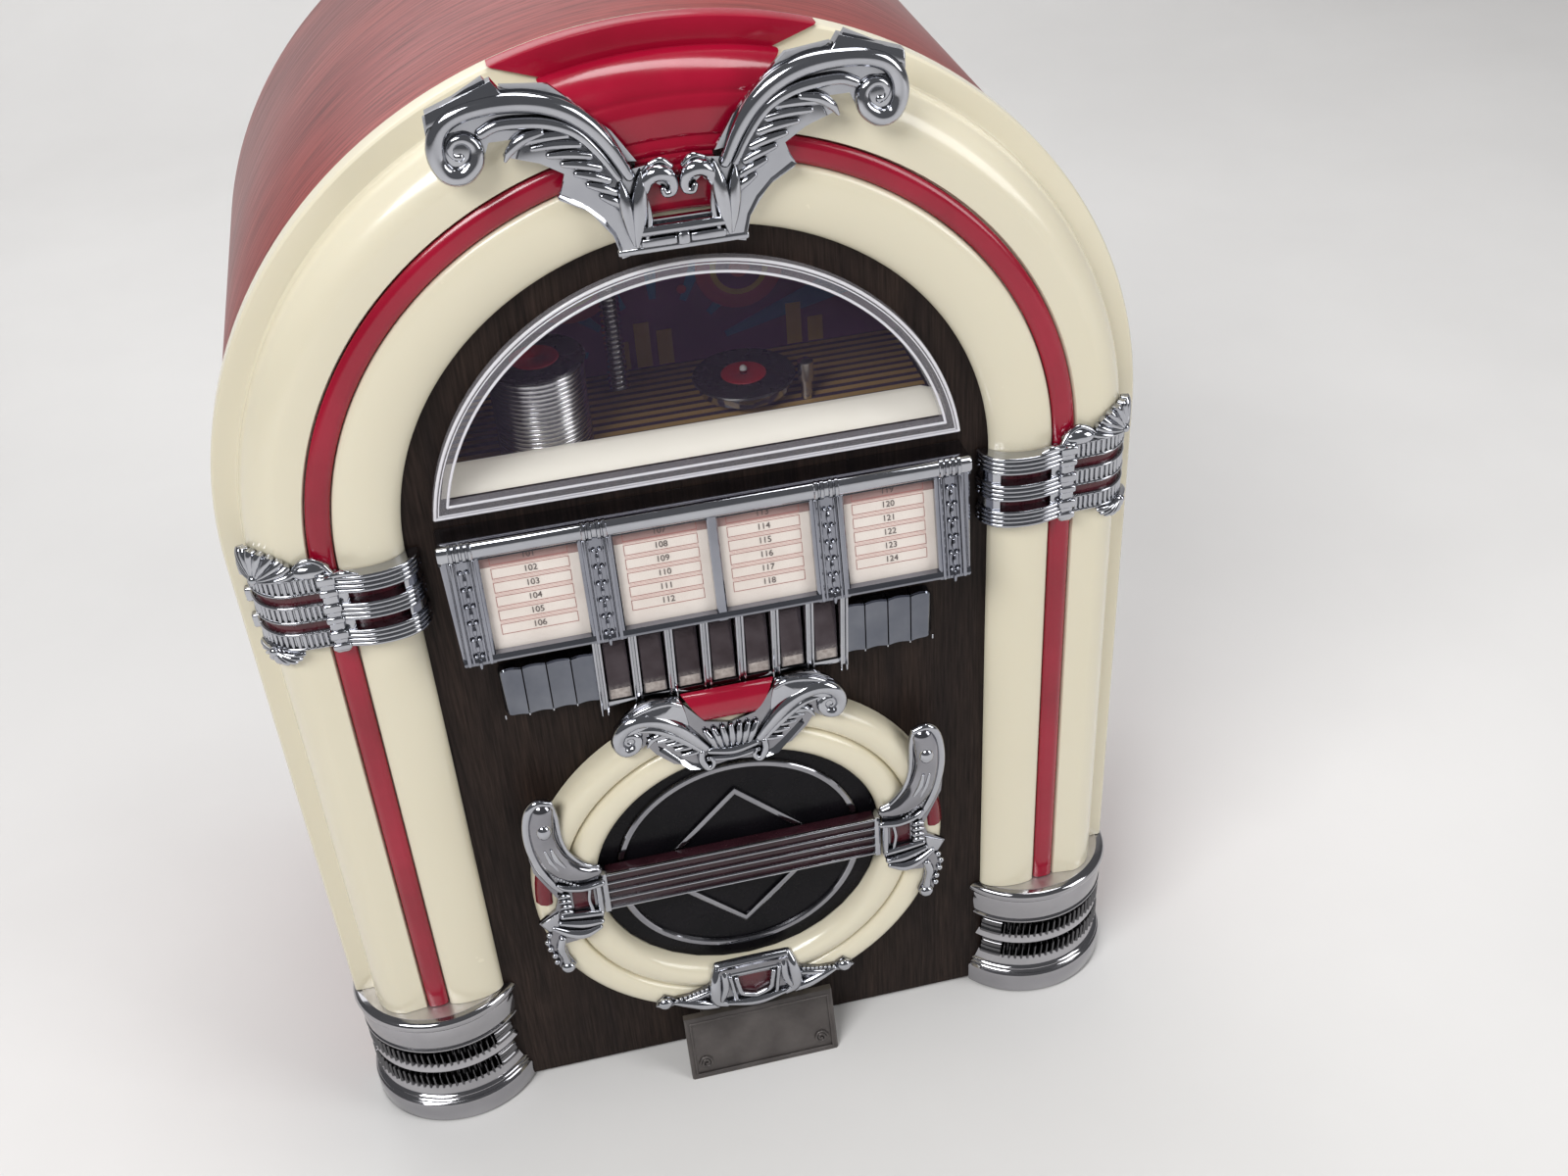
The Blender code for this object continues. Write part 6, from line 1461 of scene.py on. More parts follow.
def ring_wing():
    """A small scroll wing: rail, ridge, domed shield, feathers and lower flange."""
    wing = Solid()
    rail = ((7.5, -72.3), (11.1, -67.5), (15.2, -62.6), (19.4, -59.6), (24.0, -58.6), (27.6, -59.8),
            (29.9, -62.8), (30.2, -66.0), (28.6, -68.2), (26.0, -67.6), (25.0, -65.2), (26.0, -63.4),
            (27.8, -63.4), (28.4, -64.9), (27.6, -65.8))
    radii = (1.3, 1.8, 2.2, 2.3, 2.3, 2.2, 2.0, 1.8, 1.8, 1.6, 1.3, 1.1, 1.0, 0.9, 1.1)
    tube(wing, lay(rail, -8.6, radii), sides=14, per=6)
    ball(wing, (27.4, -8.0, -64.2), 3.9, 10, 22, (1.0, 0.36, 1.0))
    ridge = ((8.4, -73.2), (12.2, -69.0), (16.4, -65.0), (20.2, -62.6), (24.2, -62.0))
    tube(wing, lay(ridge, -8.9, (0.7, 1.1, 1.3, 1.2, 0.7)), sides=12)
    shield = [(10.9, -63.4), (12.3, -55.4), (14.6, -53.9), (18.0, -53.7), (21.5, -54.2), (26.2, -56.3),
              (30.3, -60.3), (31.6, -64.4), (26.0, -60.4), (20.6, -60.8), (15.6, -63.8), (12.0, -67.6)]
    plate(wing, curve(shield + shield[:1], 4)[:-1], -7.3, -8.5, 0.8, dome=1.8, steps=9)
    tube(wing, lay(((12.6, -56.4), (16.0, -54.8), (21.2, -55.2), (26.0, -57.4), (30.0, -61.2)), -8.6,
                   (0.6, 0.9, 1.0, 0.9, 0.6)), sides=12)
    pairs = (((9.2, -73.2), (13.2, -73.4)), ((10.8, -71.2), (15.0, -71.0)), ((12.4, -69.2), (16.9, -68.9)),
             ((14.2, -67.2), (19.2, -67.1)), ((16.4, -65.5), (21.6, -66.0)))
    feathers(wing, pairs, -9.0, 0.85, 0.5)
    tube(wing, lay(((18.2, -64.6), (20.8, -65.4), (22.8, -68.2)), -9.0, (0.8, 0.9, 0.3)), sides=10)
    inner = ((6.6, -77.4), (9.2, -75.6), (12.4, -73.8), (16.0, -70.6))
    outer = ((8.0, -79.4), (12.2, -78.6), (15.0, -75.4), (19.8, -70.0))
    ribbon(wing, at_depth(inner, -8.0), at_depth(outer, -9.4), 0.9, 0.7)
    tube(wing, lay(((8.6, -73.2), (8.8, -76.4), (7.2, -79.4), (5.6, -78.0), (6.4, -76.0)), -9.1,
                   (0.9, 1.0, 0.9, 0.7, 0.5)), sides=12)
    return wing


def build_ring_top():
    """Small scroll wings over the ring, joined by a fluted cup, with the red bar above it."""
    low, high = node_box("ring_ornament_top")
    half, base = high[0], low[2]
    sheet = Solid().sheet([(x * half * 0.98, base + z * half) for x, z in RING_TOP_OUTLINE], (-7.3, -8.2))
    piece("ring_scroll_base", sheet.doubled(), SHADED_TRIM_CHROME, slot="chrome", sharp=50)
    both = ring_wing().doubled()
    for index in range(7):
        share = (index - 3) / 3
        tube(both, [(share * 7.0, -8.8, -66.2 - abs(share) * 0.6, 0.75), (share * 5.6, -9.3, -69.4, 1.0),
                    (share * 4.6, -8.8, -72.6, 0.8)], sides=10)
    tube(both, [(-6.4, -8.7, -73.6, 1.1), (0.0, -9.0, -74.6, 1.3), (6.4, -8.7, -73.6, 1.1)])
    tube(both, [(-7.0, -8.3, -76.6, 0.9), (0.0, -8.3, -77.6, 1.0), (7.0, -8.3, -76.6, 0.9)])
    piece("ring_scroll", both, CHROME, replaces=["ring_ornament_top"], slot="chrome", sharp=50)
    build_red_bar()


def build_red_bar():
    """Ridged red bar above the ring, narrower at its foot."""
    low, high = node_box("ring_red_bar")
    top, foot, wide, narrow, samples = high[2], low[2], high[0], 6.6, 24
    rings = []
    for side in (-1, -0.97, 0.97, 1):
        swell = 1.0 if abs(side) < 1 else 0.6
        ring = []
        for step in range(samples + 1):
            share = step / samples
            reach = wide + (narrow - wide) * share
            ridge = math.sin(math.pi * share) ** 0.6
            ring.append((side * reach, -7.7 - (0.5 + 2.4 * ridge) * swell, top + (foot - top) * share))
        rings.append(ring + [(side * narrow, -7.5, foot), (side * wide, -7.5, top)])
    piece("ring_red_ridges", Solid().loft(rings), RED, replaces=["ring_red_bar"], slot="red", sharp=50)


def clasp_horn(solid):
    """Rails along both edges of the horn, with the knob, drops and beads on it."""
    bar = bars_on(solid)
    bar(((0.845, 0.665), (0.905, 0.68), (0.95, 0.63), (0.972, 0.52), (0.968, 0.40), (0.94, 0.27),
         (0.90, 0.17), (0.865, 0.11)), -8.3, (1.0, 1.25, 1.3, 1.3, 1.3, 1.2, 1.0, 0.7), sides=14, per=6)
    bar(((0.845, 0.655), (0.832, 0.58), (0.83, 0.50), (0.825, 0.42), (0.80, 0.33), (0.735, 0.245),
         (0.68, 0.22)), -8.1, (0.8, 0.8, 0.75, 0.7, 0.7, 0.75, 0.6), sides=12, per=6)
    x, z = ring_spot(0.893, 0.535)
    ball(solid, (x, -10.4, z), 2.3, 12, 22, (0.92, 0.75, 1.15))
    bar(((0.875, 0.42), (0.862, 0.36), (0.83, 0.30)), -10.9, (0.45, 0.8, 0.4), sides=10)
    bar(((0.905, 0.42), (0.888, 0.35), (0.862, 0.29)), -10.9, (0.4, 0.65, 0.35), sides=10)
    for index in range(11):
        share = index / 10
        x, z = ring_spot(0.895 - 0.125 * share ** 1.3, 0.245 - 0.125 * share)
        ball(solid, (x, -9.0 + 0.2 * share, z), 0.5, 6, 10)


def clasp_bracket(solid):
    """Bars round the square hole by the cross bar's end."""
    bar = bars_on(solid)
    bar(((0.675, 0.125), (0.76, 0.115), (0.84, 0.135), (0.875, 0.16)), -9.0, (1.0, 1.1, 1.0, 0.5))
    bar(((0.695, 0.11), (0.695, 0.03), (0.695, -0.06)), -8.9, (0.8, 0.9, 0.8))
    bar(((0.735, 0.10), (0.745, 0.03), (0.735, -0.04)), -8.9, (0.55, 0.5, 0.55))
    bar(((0.70, -0.065), (0.78, -0.055), (0.88, -0.045)), -9.1, (1.0, 1.1, 0.8))
    bar(((0.705, -0.125), (0.79, -0.115), (0.895, -0.085)), -9.0, (0.9, 1.4, 0.8))
    bar(((0.715, -0.165), (0.79, -0.185), (0.86, -0.165), (0.93, -0.115)), -8.7, (0.8, 1.7, 1.5, 0.8))
    for z in (-0.02, 0.015, 0.05, 0.085):
        bar(((0.835, z), (0.855, z + 0.006), (0.88, z)), -9.2, (0.6, 0.8, 0.5), sides=8)


def clasp_foot(solid):
    """Small leaf outside, a row of beads, and the lower horn with its ball."""
    leaf = shares_to_ring(((0.895, -0.02), (0.985, -0.072), (0.955, -0.135), (0.905, -0.115)))
    plate(solid, leaf, -7.3, -8.9, 0.5)
    for x, z in shares_to_ring(((0.958, -0.155), (0.972, -0.20), (0.965, -0.25), (0.95, -0.30),
                                (0.945, -0.345))):
        ball(solid, (x, -8.6, z), 0.95, 7, 12)
    bar = bars_on(solid)
    bar(((0.90, -0.20), (0.915, -0.26), (0.905, -0.32), (0.90, -0.36)), -8.4, (1.2, 1.4, 1.1, 1.2))
    x, z = ring_spot(0.897, -0.395)
    ball(solid, (x, -8.6, z), 2.15, 10, 18, (1.0, 0.75, 0.9))


def clasp_sheet():
    """Flat sheet under a side ornament, with its square hole let in from one edge."""
    outline = shares_to_ring(RING_SIDE_OUTLINE)
    hole = shares_to_ring(((0.72, -0.03), (0.82, -0.03), (0.82, 0.09), (0.72, 0.09)))
    slit = [(x, z + 0.02) for x, z in (hole[0], outline[SLIT_POINT])]
    merged = outline[:SLIT_POINT + 1] + hole + slit + outline[SLIT_POINT + 1:]
    return Solid().sheet(merged, (-7.3, -8.3))


def window_shade(x, y, z):
    """Red sheet darkened with painted shade, seen through a window in an ornament, between shares of the
    ring's radius.
    """
    shade = Solid()
    slab(shade, (x[0] * RING_R, x[1] * RING_R), y, (RING_Z + z[0] * RING_R, RING_Z + z[1] * RING_R), 0.1)
    return shade


def tongue():
    """Red tongue beside a bracket, round the ring."""
    section = ((54.6, -6.9), (55.2, -7.9), (56.6, -8.2), (58.2, -7.6), (59.4, -6.0), (59.4, -4.6),
               (54.6, -5.6))
    angles = [math.radians(2 + step) for step in range(13)]
    return Solid().loft([[(r * math.cos(angle), y, RING_Z + r * math.sin(angle)) for r, y in section]
                         for angle in angles])


def build_ring_side():
    """Ornaments that clasp the ring and the ends of the cross bar."""
    horn = Solid()
    bars_on(horn)(((0.885, 0.63), (0.90, 0.56), (0.905, 0.47), (0.893, 0.38), (0.865, 0.30), (0.81, 0.235),
                   (0.745, 0.20), (0.69, 0.19)), -7.9, (3.2, 3.7, 3.6, 3.7, 3.9, 3.6, 2.7, 1.7),
                  sides=28, flat=0.85, per=6)
    solid = Solid()
    clasp_horn(solid)
    clasp_bracket(solid)
    clasp_foot(solid)
    pair("ring_clasp_base", clasp_sheet(), SHADED_TRIM_CHROME, slot="chrome", sharp=50)
    shade = window_shade((0.71, 0.83), (-7.7, -7.0), (-0.04, 0.10))
    pair("ring_window", shade, SLOT_RED_PAINTED_SHADE, slot="red", sharp=50)
    pair("ring_horn", horn, SHADED_TRIM_CHROME, slot="chrome", sharp=60)
    pair("ring_clasp", solid, CHROME, "ring_ornament", slot="chrome", sharp=50)
    pair("ring_tongue", tongue(), RED_IN_PAINTED_SHADE, slot="red", sharp=50)


def bracket_posts(solid):
    """Two curved posts beside the window."""
    for points in (((0.158, -0.672, -6.0, 1.1), (0.152, -0.72, -8.0, 1.2), (0.158, -0.80, -9.0, 1.2),
                    (0.195, -0.885, -9.0, 1.0)),
                   ((0.180, -0.668, -5.8, 1.2), (0.195, -0.72, -7.6, 1.7), (0.208, -0.80, -8.8, 2.0),
                    (0.200, -0.87, -8.8, 1.7), (0.155, -0.91, -8.6, 1.0))):
        tube(solid, [(x * RING_R, y, RING_Z + z * RING_R, radius) for x, z, y, radius in points], sides=16)
    bar = bars_on(solid)
    bar(((0.095, -0.735), (0.085, -0.80), (0.07, -0.85), (0.0, -0.88)), -8.9, (0.8, 0.8, 0.8, 0.8))
    bar(((0.125, -0.72), (0.115, -0.80), (0.105, -0.885)), -8.7, (0.7, 0.7, 0.7), sides=10)


def bracket_horn(solid):
    """Horn with a row of beads, which ends in a ball."""
    bar = bars_on(solid)
    bar(((0.20, -0.90), (0.27, -0.875), (0.34, -0.845), (0.41, -0.818)), -8.5, (1.3, 1.9, 1.6, 0.9))
    bar(((0.24, -0.795), (0.30, -0.81), (0.36, -0.825)), -8.5, (0.9, 1.0, 0.7))
    start, end = [(x, -8.9, z) for x, z in shares_to_ring(((0.25, -0.765), (0.405, -0.80)))]
    beads(solid, start, end, 8, 0.62)
    x, z = ring_spot(0.462, -0.808)
    ball(solid, (x, -8.5, z), 2.2, 10, 18, (1.05, 0.75, 0.95))
    tube(solid, [(x + 1.6, -8.5, z - 0.2, 1.1), (x + 2.6, -8.5, z - 0.4, 0.4)], smooth=False)


def build_ring_bottom():
    """Bracket with its window under the ring, and horns that end in balls."""
    sheet = Solid().sheet(shares_to_ring(RING_BOTTOM_OUTLINE), (-7.3, -8.2))
    piece("ring_bracket_base", sheet.doubled(), SHADED_TRIM_CHROME, slot="chrome", sharp=50)
    shade = window_shade((-0.11, 0.11), (-7.7, -6.6), (-0.88, -0.73))
    piece("ring_window_bottom", shade, SLOT_RED_PAINTED_SHADE, slot="red", sharp=50)
    half = Solid()
    bracket_posts(half)
    bracket_horn(half)
    both = half.doubled()
    for reach, y, share, end, middle in ((10.4, -5.9, 0.675, 1.5, 1.55), (8.4, -7.7, 0.715, 0.9, 0.9)):
        z = RING_Z - share * RING_R
        tube(both, [(-reach, y, z, end), (0.0, y, z, middle), (reach, y, z, end)], smooth=False)
    z = RING_Z - 0.91 * RING_R
    tube(both, [(-9.4, -8.6, z + 0.5, 0.9), (0.0, -9.0, z - 0.4, 1.6), (9.4, -8.6, z + 0.5, 0.9)])
    piece("ring_bracket", both, CHROME, replaces=["ring_ornament_bottom"], slot="chrome", sharp=50)


# Column bands
CLAMP_TOPS = (1.8, -6.2, -14.2)
CLAMP_TALL = 5.1
BAND_FOOT, BAND_HEAD = CLAMP_TOPS[-1] - CLAMP_TALL, CLAMP_TOPS[0]
POST_R = 92.5
SHELL_TURN = 0.60
BAND_FLUTES = 18
ACROSS = (0.0, 0.0, 1.0)


class Wrap:
    """A line of (r, y) round a tube, measured along its length."""

    def __init__(self, line, samples):
        self.line = line
        self.length = measured(line)
        self.total = self.length[-1]
        self.spots = [self.total * step / samples for step in range(samples + 1)]

    def at(self, spot, rise):
        """The place at a distance along the line, raised off it."""
        return on_line(self.line, self.length, spot, rise)

    def sleeve(self, solid, over, under, heights):
        """A sheet between two rises off the line, from one height to another."""
        outline = [self.at(spot, over) for spot in self.spots]
        solid.column(outline + [self.at(spot, under) for spot in reversed(self.spots)], heights)


def outer_wrap():
    """The outer tube, from the post to its outer side."""
    line = [(93.6, -4.2), (97.5, -4.1), (TUBE_CREST, -4.0)] + shoulder(18) + [(TUBE_OUT, 7.6)]
    return Wrap(line, 48)


def scallop(solid, wrap, middle, level, half, tall, lobes, up):
    """A fluted fan shell that lies round the tube, from its hinge at a level."""
    spread = math.radians(84)
    rings = []
    steps, rows = lobes * 8, 9
    for step in range(steps + 1):
        turn = -1 + 2 * step / steps
        flute = abs(math.sin(math.pi * lobes * (turn + 1) / 2))
        front, back = [], []
        for row in range(rows + 1):
            share = 0.06 + 0.94 * row / rows
            reach = share * (1.0 - 0.10 * (1 - flute ** 0.5))
            spot = middle + half * reach * math.sin(spread * turn)
            z = level + up * tall * reach * math.cos(spread * turn)
            dome = 1.5 * math.sqrt(max(0.0, 1 - (share * 0.96) ** 2))
            rise = 1.2 + dome + 0.9 * flute ** 0.8 * share * (1 - 0.5 * share ** 6)
            front.append((*wrap.at(spot, rise), z))
            back.append((*wrap.at(spot, 0.4), z))
        rings.append(front + back[::-1])
    solid.loft(rings)
    ball(solid, (*wrap.at(middle, 2.4), level + up * 0.7), 1.3, 8, 14)


def band_clamps(solid):
    """Three ribbed clamps over the inner tube, and the uprights at both ends of the slots between."""
    bow_line = curve([(70.7, -0.7), (71.5, -3.6), (74.2, -6.4), (79.0, -8.0), (84.8, -8.2), (90.6, -6.9)], 6)
    seat = [(r, y - 0.5) for r, y in inner_tube(12) if r > 75.5]
    body = [(r, y + 0.35) for r, y in bow_line] + [(90.6, -3.9)] + seat[::-1] + [(72.6, -0.6)]
    for top in CLAMP_TOPS:
        low = top - CLAMP_TALL
        solid.column(body, (low + 0.2, top - 0.2))
        for rib in range(4):
            z = low + 0.65 + rib * 1.27
            tube(solid, [(r, y, z, 0.60) for r, y in bow_line], up=ACROSS, sides=10, smooth=False)
        for z in (low + 0.9, low + 2.55, low + 4.2):
            ball(solid, (70.9, -1.4, z), 0.75, 6, 12)
    near = [(70.9, -0.4), (70.9, -2.0), (71.8, -3.9), (73.3, -5.4), (74.9, -6.2), (75.2, -5.6), (75.2, -2.4),
            (73.0, -0.4)]
    far = [(88.2, -3.6), (88.2, -7.0), (88.7, -7.3), (90.8, -6.7), (90.8, -3.6)]
    for outline in (near, far):
        solid.column(outline, (BAND_FOOT + 0.6, BAND_HEAD - 0.6))


def band_post(solid):
    """Post between the two tubes, with its knuckles and the petals above it."""
    slab(solid, (POST_R - 1.8, POST_R + 1.8), (-7.6, -4.2), (BAND_FOOT - 1.2, BAND_HEAD + 1.0), 0.6)
    for top in CLAMP_TOPS:
        slab(solid, (POST_R - 2.2, POST_R + 2.2), (-8.3, -4.6), (top - 1.9, top + 0.5), 0.45)
        slab(solid, (POST_R - 2.2, POST_R + 2.2), (-8.1, -4.6), (top - CLAMP_TALL - 0.2, top - 3.4), 0.45)
    ball(solid, (POST_R + 3.2, -4.9, BAND_HEAD + 1.5), 4.6, 12, 26, (1.0, 0.52, 0.50))
    for petal in (((-1.6, -6.6, 0.6, 0.6), (0.4, -5.6, 3.0, 0.75), (3.4, -5.0, 4.2, 0.8),
                   (6.6, -5.0, 2.6, 0.75), (8.2, -5.4, 0.6, 0.6)),
                  ((-1.6, -7.4, 0.4, 0.7), (-4.8, -8.2, 1.1, 0.9), (-7.6, -8.4, 0.4, 0.3))):
        tube(solid, [(POST_R + out, y, BAND_HEAD + up, radius) for out, y, up, radius in petal], sides=12)


def band_flutes(solid, wrap):
    """Three fluted bands round the outer tube, each with a bead along both edges."""
    for top in CLAMP_TOPS:
        low = top - CLAMP_TALL
        wrap.sleeve(solid, 1.0, 0.1, (low + 0.1, top - 0.1))
        for z in (low + 0.35, top - 0.35):
            bead = [(*wrap.at(spot, 1.35), z, 0.42) for spot in wrap.spots]
            tube(solid, bead, up=ACROSS, sides=8, smooth=False)
        for flute in range(BAND_FLUTES):
            r, y = wrap.at(wrap.total * (flute + 0.6) / BAND_FLUTES, 1.05)
            tube(solid, [(r, y, low + 0.5, 0.56), (r, y, top - 0.5, 0.56)], sides=12, smooth=False)
        slab(solid, (109.7, 113.6), (6.6, 8.9), (low + 0.6, top - 0.6), 0.5)


def build_band():
    """Clamps, post, fluted bands and shells, and the red sheet in painted shade seen through the slots."""
    solid, slots = Solid(), Solid()
    outer = outer_wrap()
    inner = Wrap([(72.0, -0.4)] + [point for point in inner_tube(16) if point[0] > 73.6] + [(91.0, -3.6)], 24)
    band_clamps(solid)
    band_post(solid)
    band_flutes(solid, outer)
    middle = outer.total * SHELL_TURN
    scallop(solid, outer, middle, BAND_HEAD - 0.4, 9.2, 8.6, 11, 1.0)
    scallop(solid, outer, middle, BAND_FOOT + 0.4, 6.8, 5.0, 9, -1.0)
    inner.sleeve(slots, 0.75, 0.2, (BAND_FOOT + 0.4, BAND_HEAD - 0.4))
    outer.sleeve(slots, 0.55, 0.1, (BAND_FOOT + 0.4, BAND_HEAD - 0.4))
    pair("ribbed_band", solid, CHROME, "column_band", slot="chrome", sharp=45)
    pair("band_slots", slots, SLOT_RED_PAINTED_SHADE, slot="chrome", sharp=45)


# Feet
FOOT_TEETH = 26
FOOT_ROWS = ((14.6, 20.2), (24.2, 29.8))
FOOT_ROW_MARGIN = 0.3
FOOT_PLAIN = (
    (0.0, 0.9), (0.3, 0.35), (0.8, 0.0), (7.0, 0.0), (7.5, 0.2), (7.9, 0.9), (8.2, 1.3), (8.5, 0.75),
    (8.8, 0.5), (9.1, 0.7), (9.4, 1.3), (9.9, 1.5), (10.2, 0.9), (10.5, 0.8), (10.8, 1.1), (11.1, 1.7),
    (14.2, 2.6), (20.6, 3.3), (21.1, 2.0), (21.5, 1.7), (23.8, 2.6), (30.2, 3.3), (30.6, 2.4), (31.0, 1.5),
    (31.4, 1.05), (31.8, 1.1), (32.2, 1.8), (32.6, 1.8), (33.0, 1.25), (36.5, 0.95), (39.8, 1.1),
    (40.3, 1.3), (40.7, 0.75), (41.5, 0.2), (42.4, 0.0), (43.2, 0.2), (43.8, 0.6), (44.2, 1.4))
FOOT_END_SHARE = 0.865
FOOT_HALF, FOOT_FRONT, FOOT_MIDDLE = 25.6, 22.8, 12.0
FOOT_INSIDE = 104.7
FOOT_STEPS = 312
LEDGE_LIP = 2.6


def foot_inset(height, share):
    """How far a foot's face lies behind its outline, by height and by share of the way round."""
    inset = share_at(FOOT_PLAIN, height)
    deep = 4.1
    margin = FOOT_ROW_MARGIN
    for low, high in FOOT_ROWS:
        if low - margin <= height <= high + margin:
            if share > FOOT_END_SHARE:
                level = (height - low + margin) / (high - low + 2 * margin)
                stripe = abs(math.sin(math.pi * 3 * level)) ** 0.6
                return min(inset, 2.0 - 0.8 * stripe)
            turn = share / FOOT_END_SHARE * FOOT_TEETH
            part = abs(2 * (turn - math.floor(turn)) - 1)
            top = high + 0.1 - 1.9 * part
            wide = min(1.0, part / 0.66)
            tooth = deep - 2.9 * math.sqrt(max(0.0, 1 - wide ** 2))
            if height > top:
                return tooth + (deep - tooth) * min(1.0, (height - top) / 0.8)
            return tooth
    return inset


def foot_ring(centre, height, inset_at, plain, steps):
    """A foot's outline at one height, round the front from the outer side to the inner."""
    start = math.pi - math.asin((FOOT_MIDDLE + 0.3) / (FOOT_FRONT - plain))
    ring = []
    for step in range(steps + 1):
        share = 1 - step / steps
        inset = inset_at(share)
        fade = min(1.0, (1 - share) / 0.02, share / 0.01) if inset != plain else 1.0
        inset = plain + (inset - plain) * max(0.0, fade)
        angle = start * share
        ring.append((centre + (FOOT_HALF - inset) * math.cos(angle),
                     FOOT_MIDDLE - (FOOT_FRONT - inset) * math.sin(angle), height))
    return ring


def foot_section(centre, z, inset_at, plain_inset, steps):
    """A foot's whole outline at one height, with its straight back."""
    outside = centre + FOOT_HALF - plain_inset
    return foot_ring(centre, z, inset_at, plain_inset, steps) + [
        (outside, FRAME_BACK, z), (FOOT_INSIDE, FRAME_BACK, z), (FOOT_INSIDE, SEAT, z)]


def foot_heights():
    """Heights at which a foot's outline changes, closer together in the rows of teeth."""
    margin = FOOT_ROW_MARGIN
    heights = {height for height, _ in FOOT_PLAIN}
    for low, high in FOOT_ROWS:
        heights |= {round(low + (high - low + 2 * margin) * step / 16 - margin, 4) for step in range(17)}
        heights |= {round(low - 0.34, 4), round(high + 0.34, 4)}
    return sorted(heights)


def build_foot():
    """Half-round chrome foot: ledge with a rounded lip, polished band, two rows of teeth, base band."""
    low, high = node_box("foot_right")
    centre = high[0] - FOOT_HALF
    rings = []
    for height in foot_heights():
        rings.append(foot_section(centre, low[2] + height, lambda share: foot_inset(height, share),
                                  share_at(FOOT_PLAIN, height), FOOT_STEPS))
    pair("toothed_foot", Solid().loft(rings), FOOT_CHROME_PAINTED_SHADE, "foot", slot="chrome", sharp=38)
    floor = [foot_section(centre, high[2] + rise, lambda share: LEDGE_LIP, LEDGE_LIP, 48)
             for rise in (0.0, 0.16)]
    pair("foot_ledge", Solid().loft(floor), SATIN, slot="chrome", sharp=38)


# Side controls and back
def carve(obj, cutter_solid):
    """Cut a solid out of a piece and keep the result as its mesh."""
    cutter = piece("cutter", cutter_solid, CHROME)
    cut = obj.modifiers.new("cut", "BOOLEAN")
    cut.operation = "DIFFERENCE"
    cut.object = cutter
    bpy.context.view_layer.update()
    depsgraph = bpy.context.evaluated_depsgraph_get()
    result = bpy.data.meshes.new_from_object(obj.evaluated_get(depsgraph))
    obj.modifiers.clear()
    obj.data = result
    result.shade_smooth()
    result.set_sharp_from_angle(angle=math.radians(SHARP))
    bpy.data.objects.remove(cutter, do_unlink=True)


KNOB_FLUTES = 30
KNOB_DEEP = 7.8


def build_knob(node, body):
    """Fluted knob with a stepped skirt, a bright disc let into its face, and a pointer line."""
    low, high = node_box(node)
    face = high[0]
    _, cy, cz = centre_of(low, high)
    radius = (high[2] - low[2]) / 2
    foot = face - KNOB_DEEP
    rings = []
    for x, reach, deep in ((foot, 0.99, 0.0), (foot + 0.3, 1.0, 0.0), (foot + 1.2, 1.0, 0.0),
                           (foot + 1.6, 0.96, 0.0), (foot + 1.9, 0.94, 0.35), (face - 1.4, 0.92, 0.6),
                           (face - 0.5, 0.90, 0.4), (face - 0.1, 0.86, 0.0), (face, 0.83, 0.0),
                           (face, 0.70, 0.0), (face - 0.6, 0.68, 0.0), (face - 0.6, 0.02, 0.0)):
        ring = []
        for angle in circle(KNOB_FLUTES * 6):
            r = radius * reach - deep * (0.5 + 0.5 * math.cos(KNOB_FLUTES * angle))
            ring.append((x, cy + r * math.cos(angle), cz + r * math.sin(angle)))
        rings.append(ring)
    knob = Solid().loft(rings)
    spun(knob, (low[0], cy, cz), [(2.8, 0.0), (2.8, foot - low[0] + 0.5)], 24, "x")
    piece(node + "_body", knob, BLACK, body=body, replaces=[node], slot="black_plastic", sharp=40)
    disc = Solid()
    spun(disc, (face - 0.6, cy, cz), [(0.0, -0.2), (radius * 0.64, -0.2), (radius * 0.64, 0.25),
                                      (radius * 0.60, 0.42), (radius * 0.56, 0.28), (0.0, 0.22)], 56, "x")
    piece(node + "_disc", disc, CHROME, body=body, slot="chrome", sharp=40)
    mark = Solid()
    slab(mark, (face - 0.3, face - 0.02), (cy - 0.5, cy + 0.5), (cz + radius * 0.66, cz + radius * 0.84), 0.1)
    slab(mark, (face - 0.4, face - 0.2), (cy - 0.4, cy + 0.4), (cz + radius * 0.2, cz + radius * 0.54), 0.08)
    piece(node + "_mark", mark, WHITE, body=body, slot="cream_plastic")


DIAL_STEPS = 32
DIAL_FIGURES = ((-5.4, ("88", "92", "96", "100", "104", "108")),
                (5.4, ("53", "60", "70", "90", "120", "160")))


def build_dial():
    """Marks along both sides of the dial's slot, and plain figures beside them."""
    low, high = node_box("dial_scale")
    face = high[0]
    middle = centre_of(low, high)[1]
    top, foot = high[2] - 8.0, high[2] - 72.0
    near = 1.6
    marks = Solid()

    def mark(y, z):
        slab(marks, (face, face + 0.05), y, z, 0.01)

    for step in range(DIAL_STEPS + 1):
        z = top + (foot - top) * step / DIAL_STEPS
        far = near + (1.5 if step % 4 else 3.0)
        for y in ((middle - far, middle - near), (middle + near, middle + far)):
            mark(y, (z - 0.12, z + 0.12))
    for y in (middle - near, middle + near):
        mark((y - 0.06, y + 0.06), (foot, top))
    piece("dial_marks", marks, INK_DARK, slot="cream_plastic")
    for shift, figures in DIAL_FIGURES:
        for step, figure in enumerate(figures):
            z = top + (foot - top) * step / (len(figures) - 1) + 1.4
            words(figure, face + 0.04, middle + shift, z, 1.9, turn=math.pi / 2)
    gather_words("dial_figures", INK_DARK)


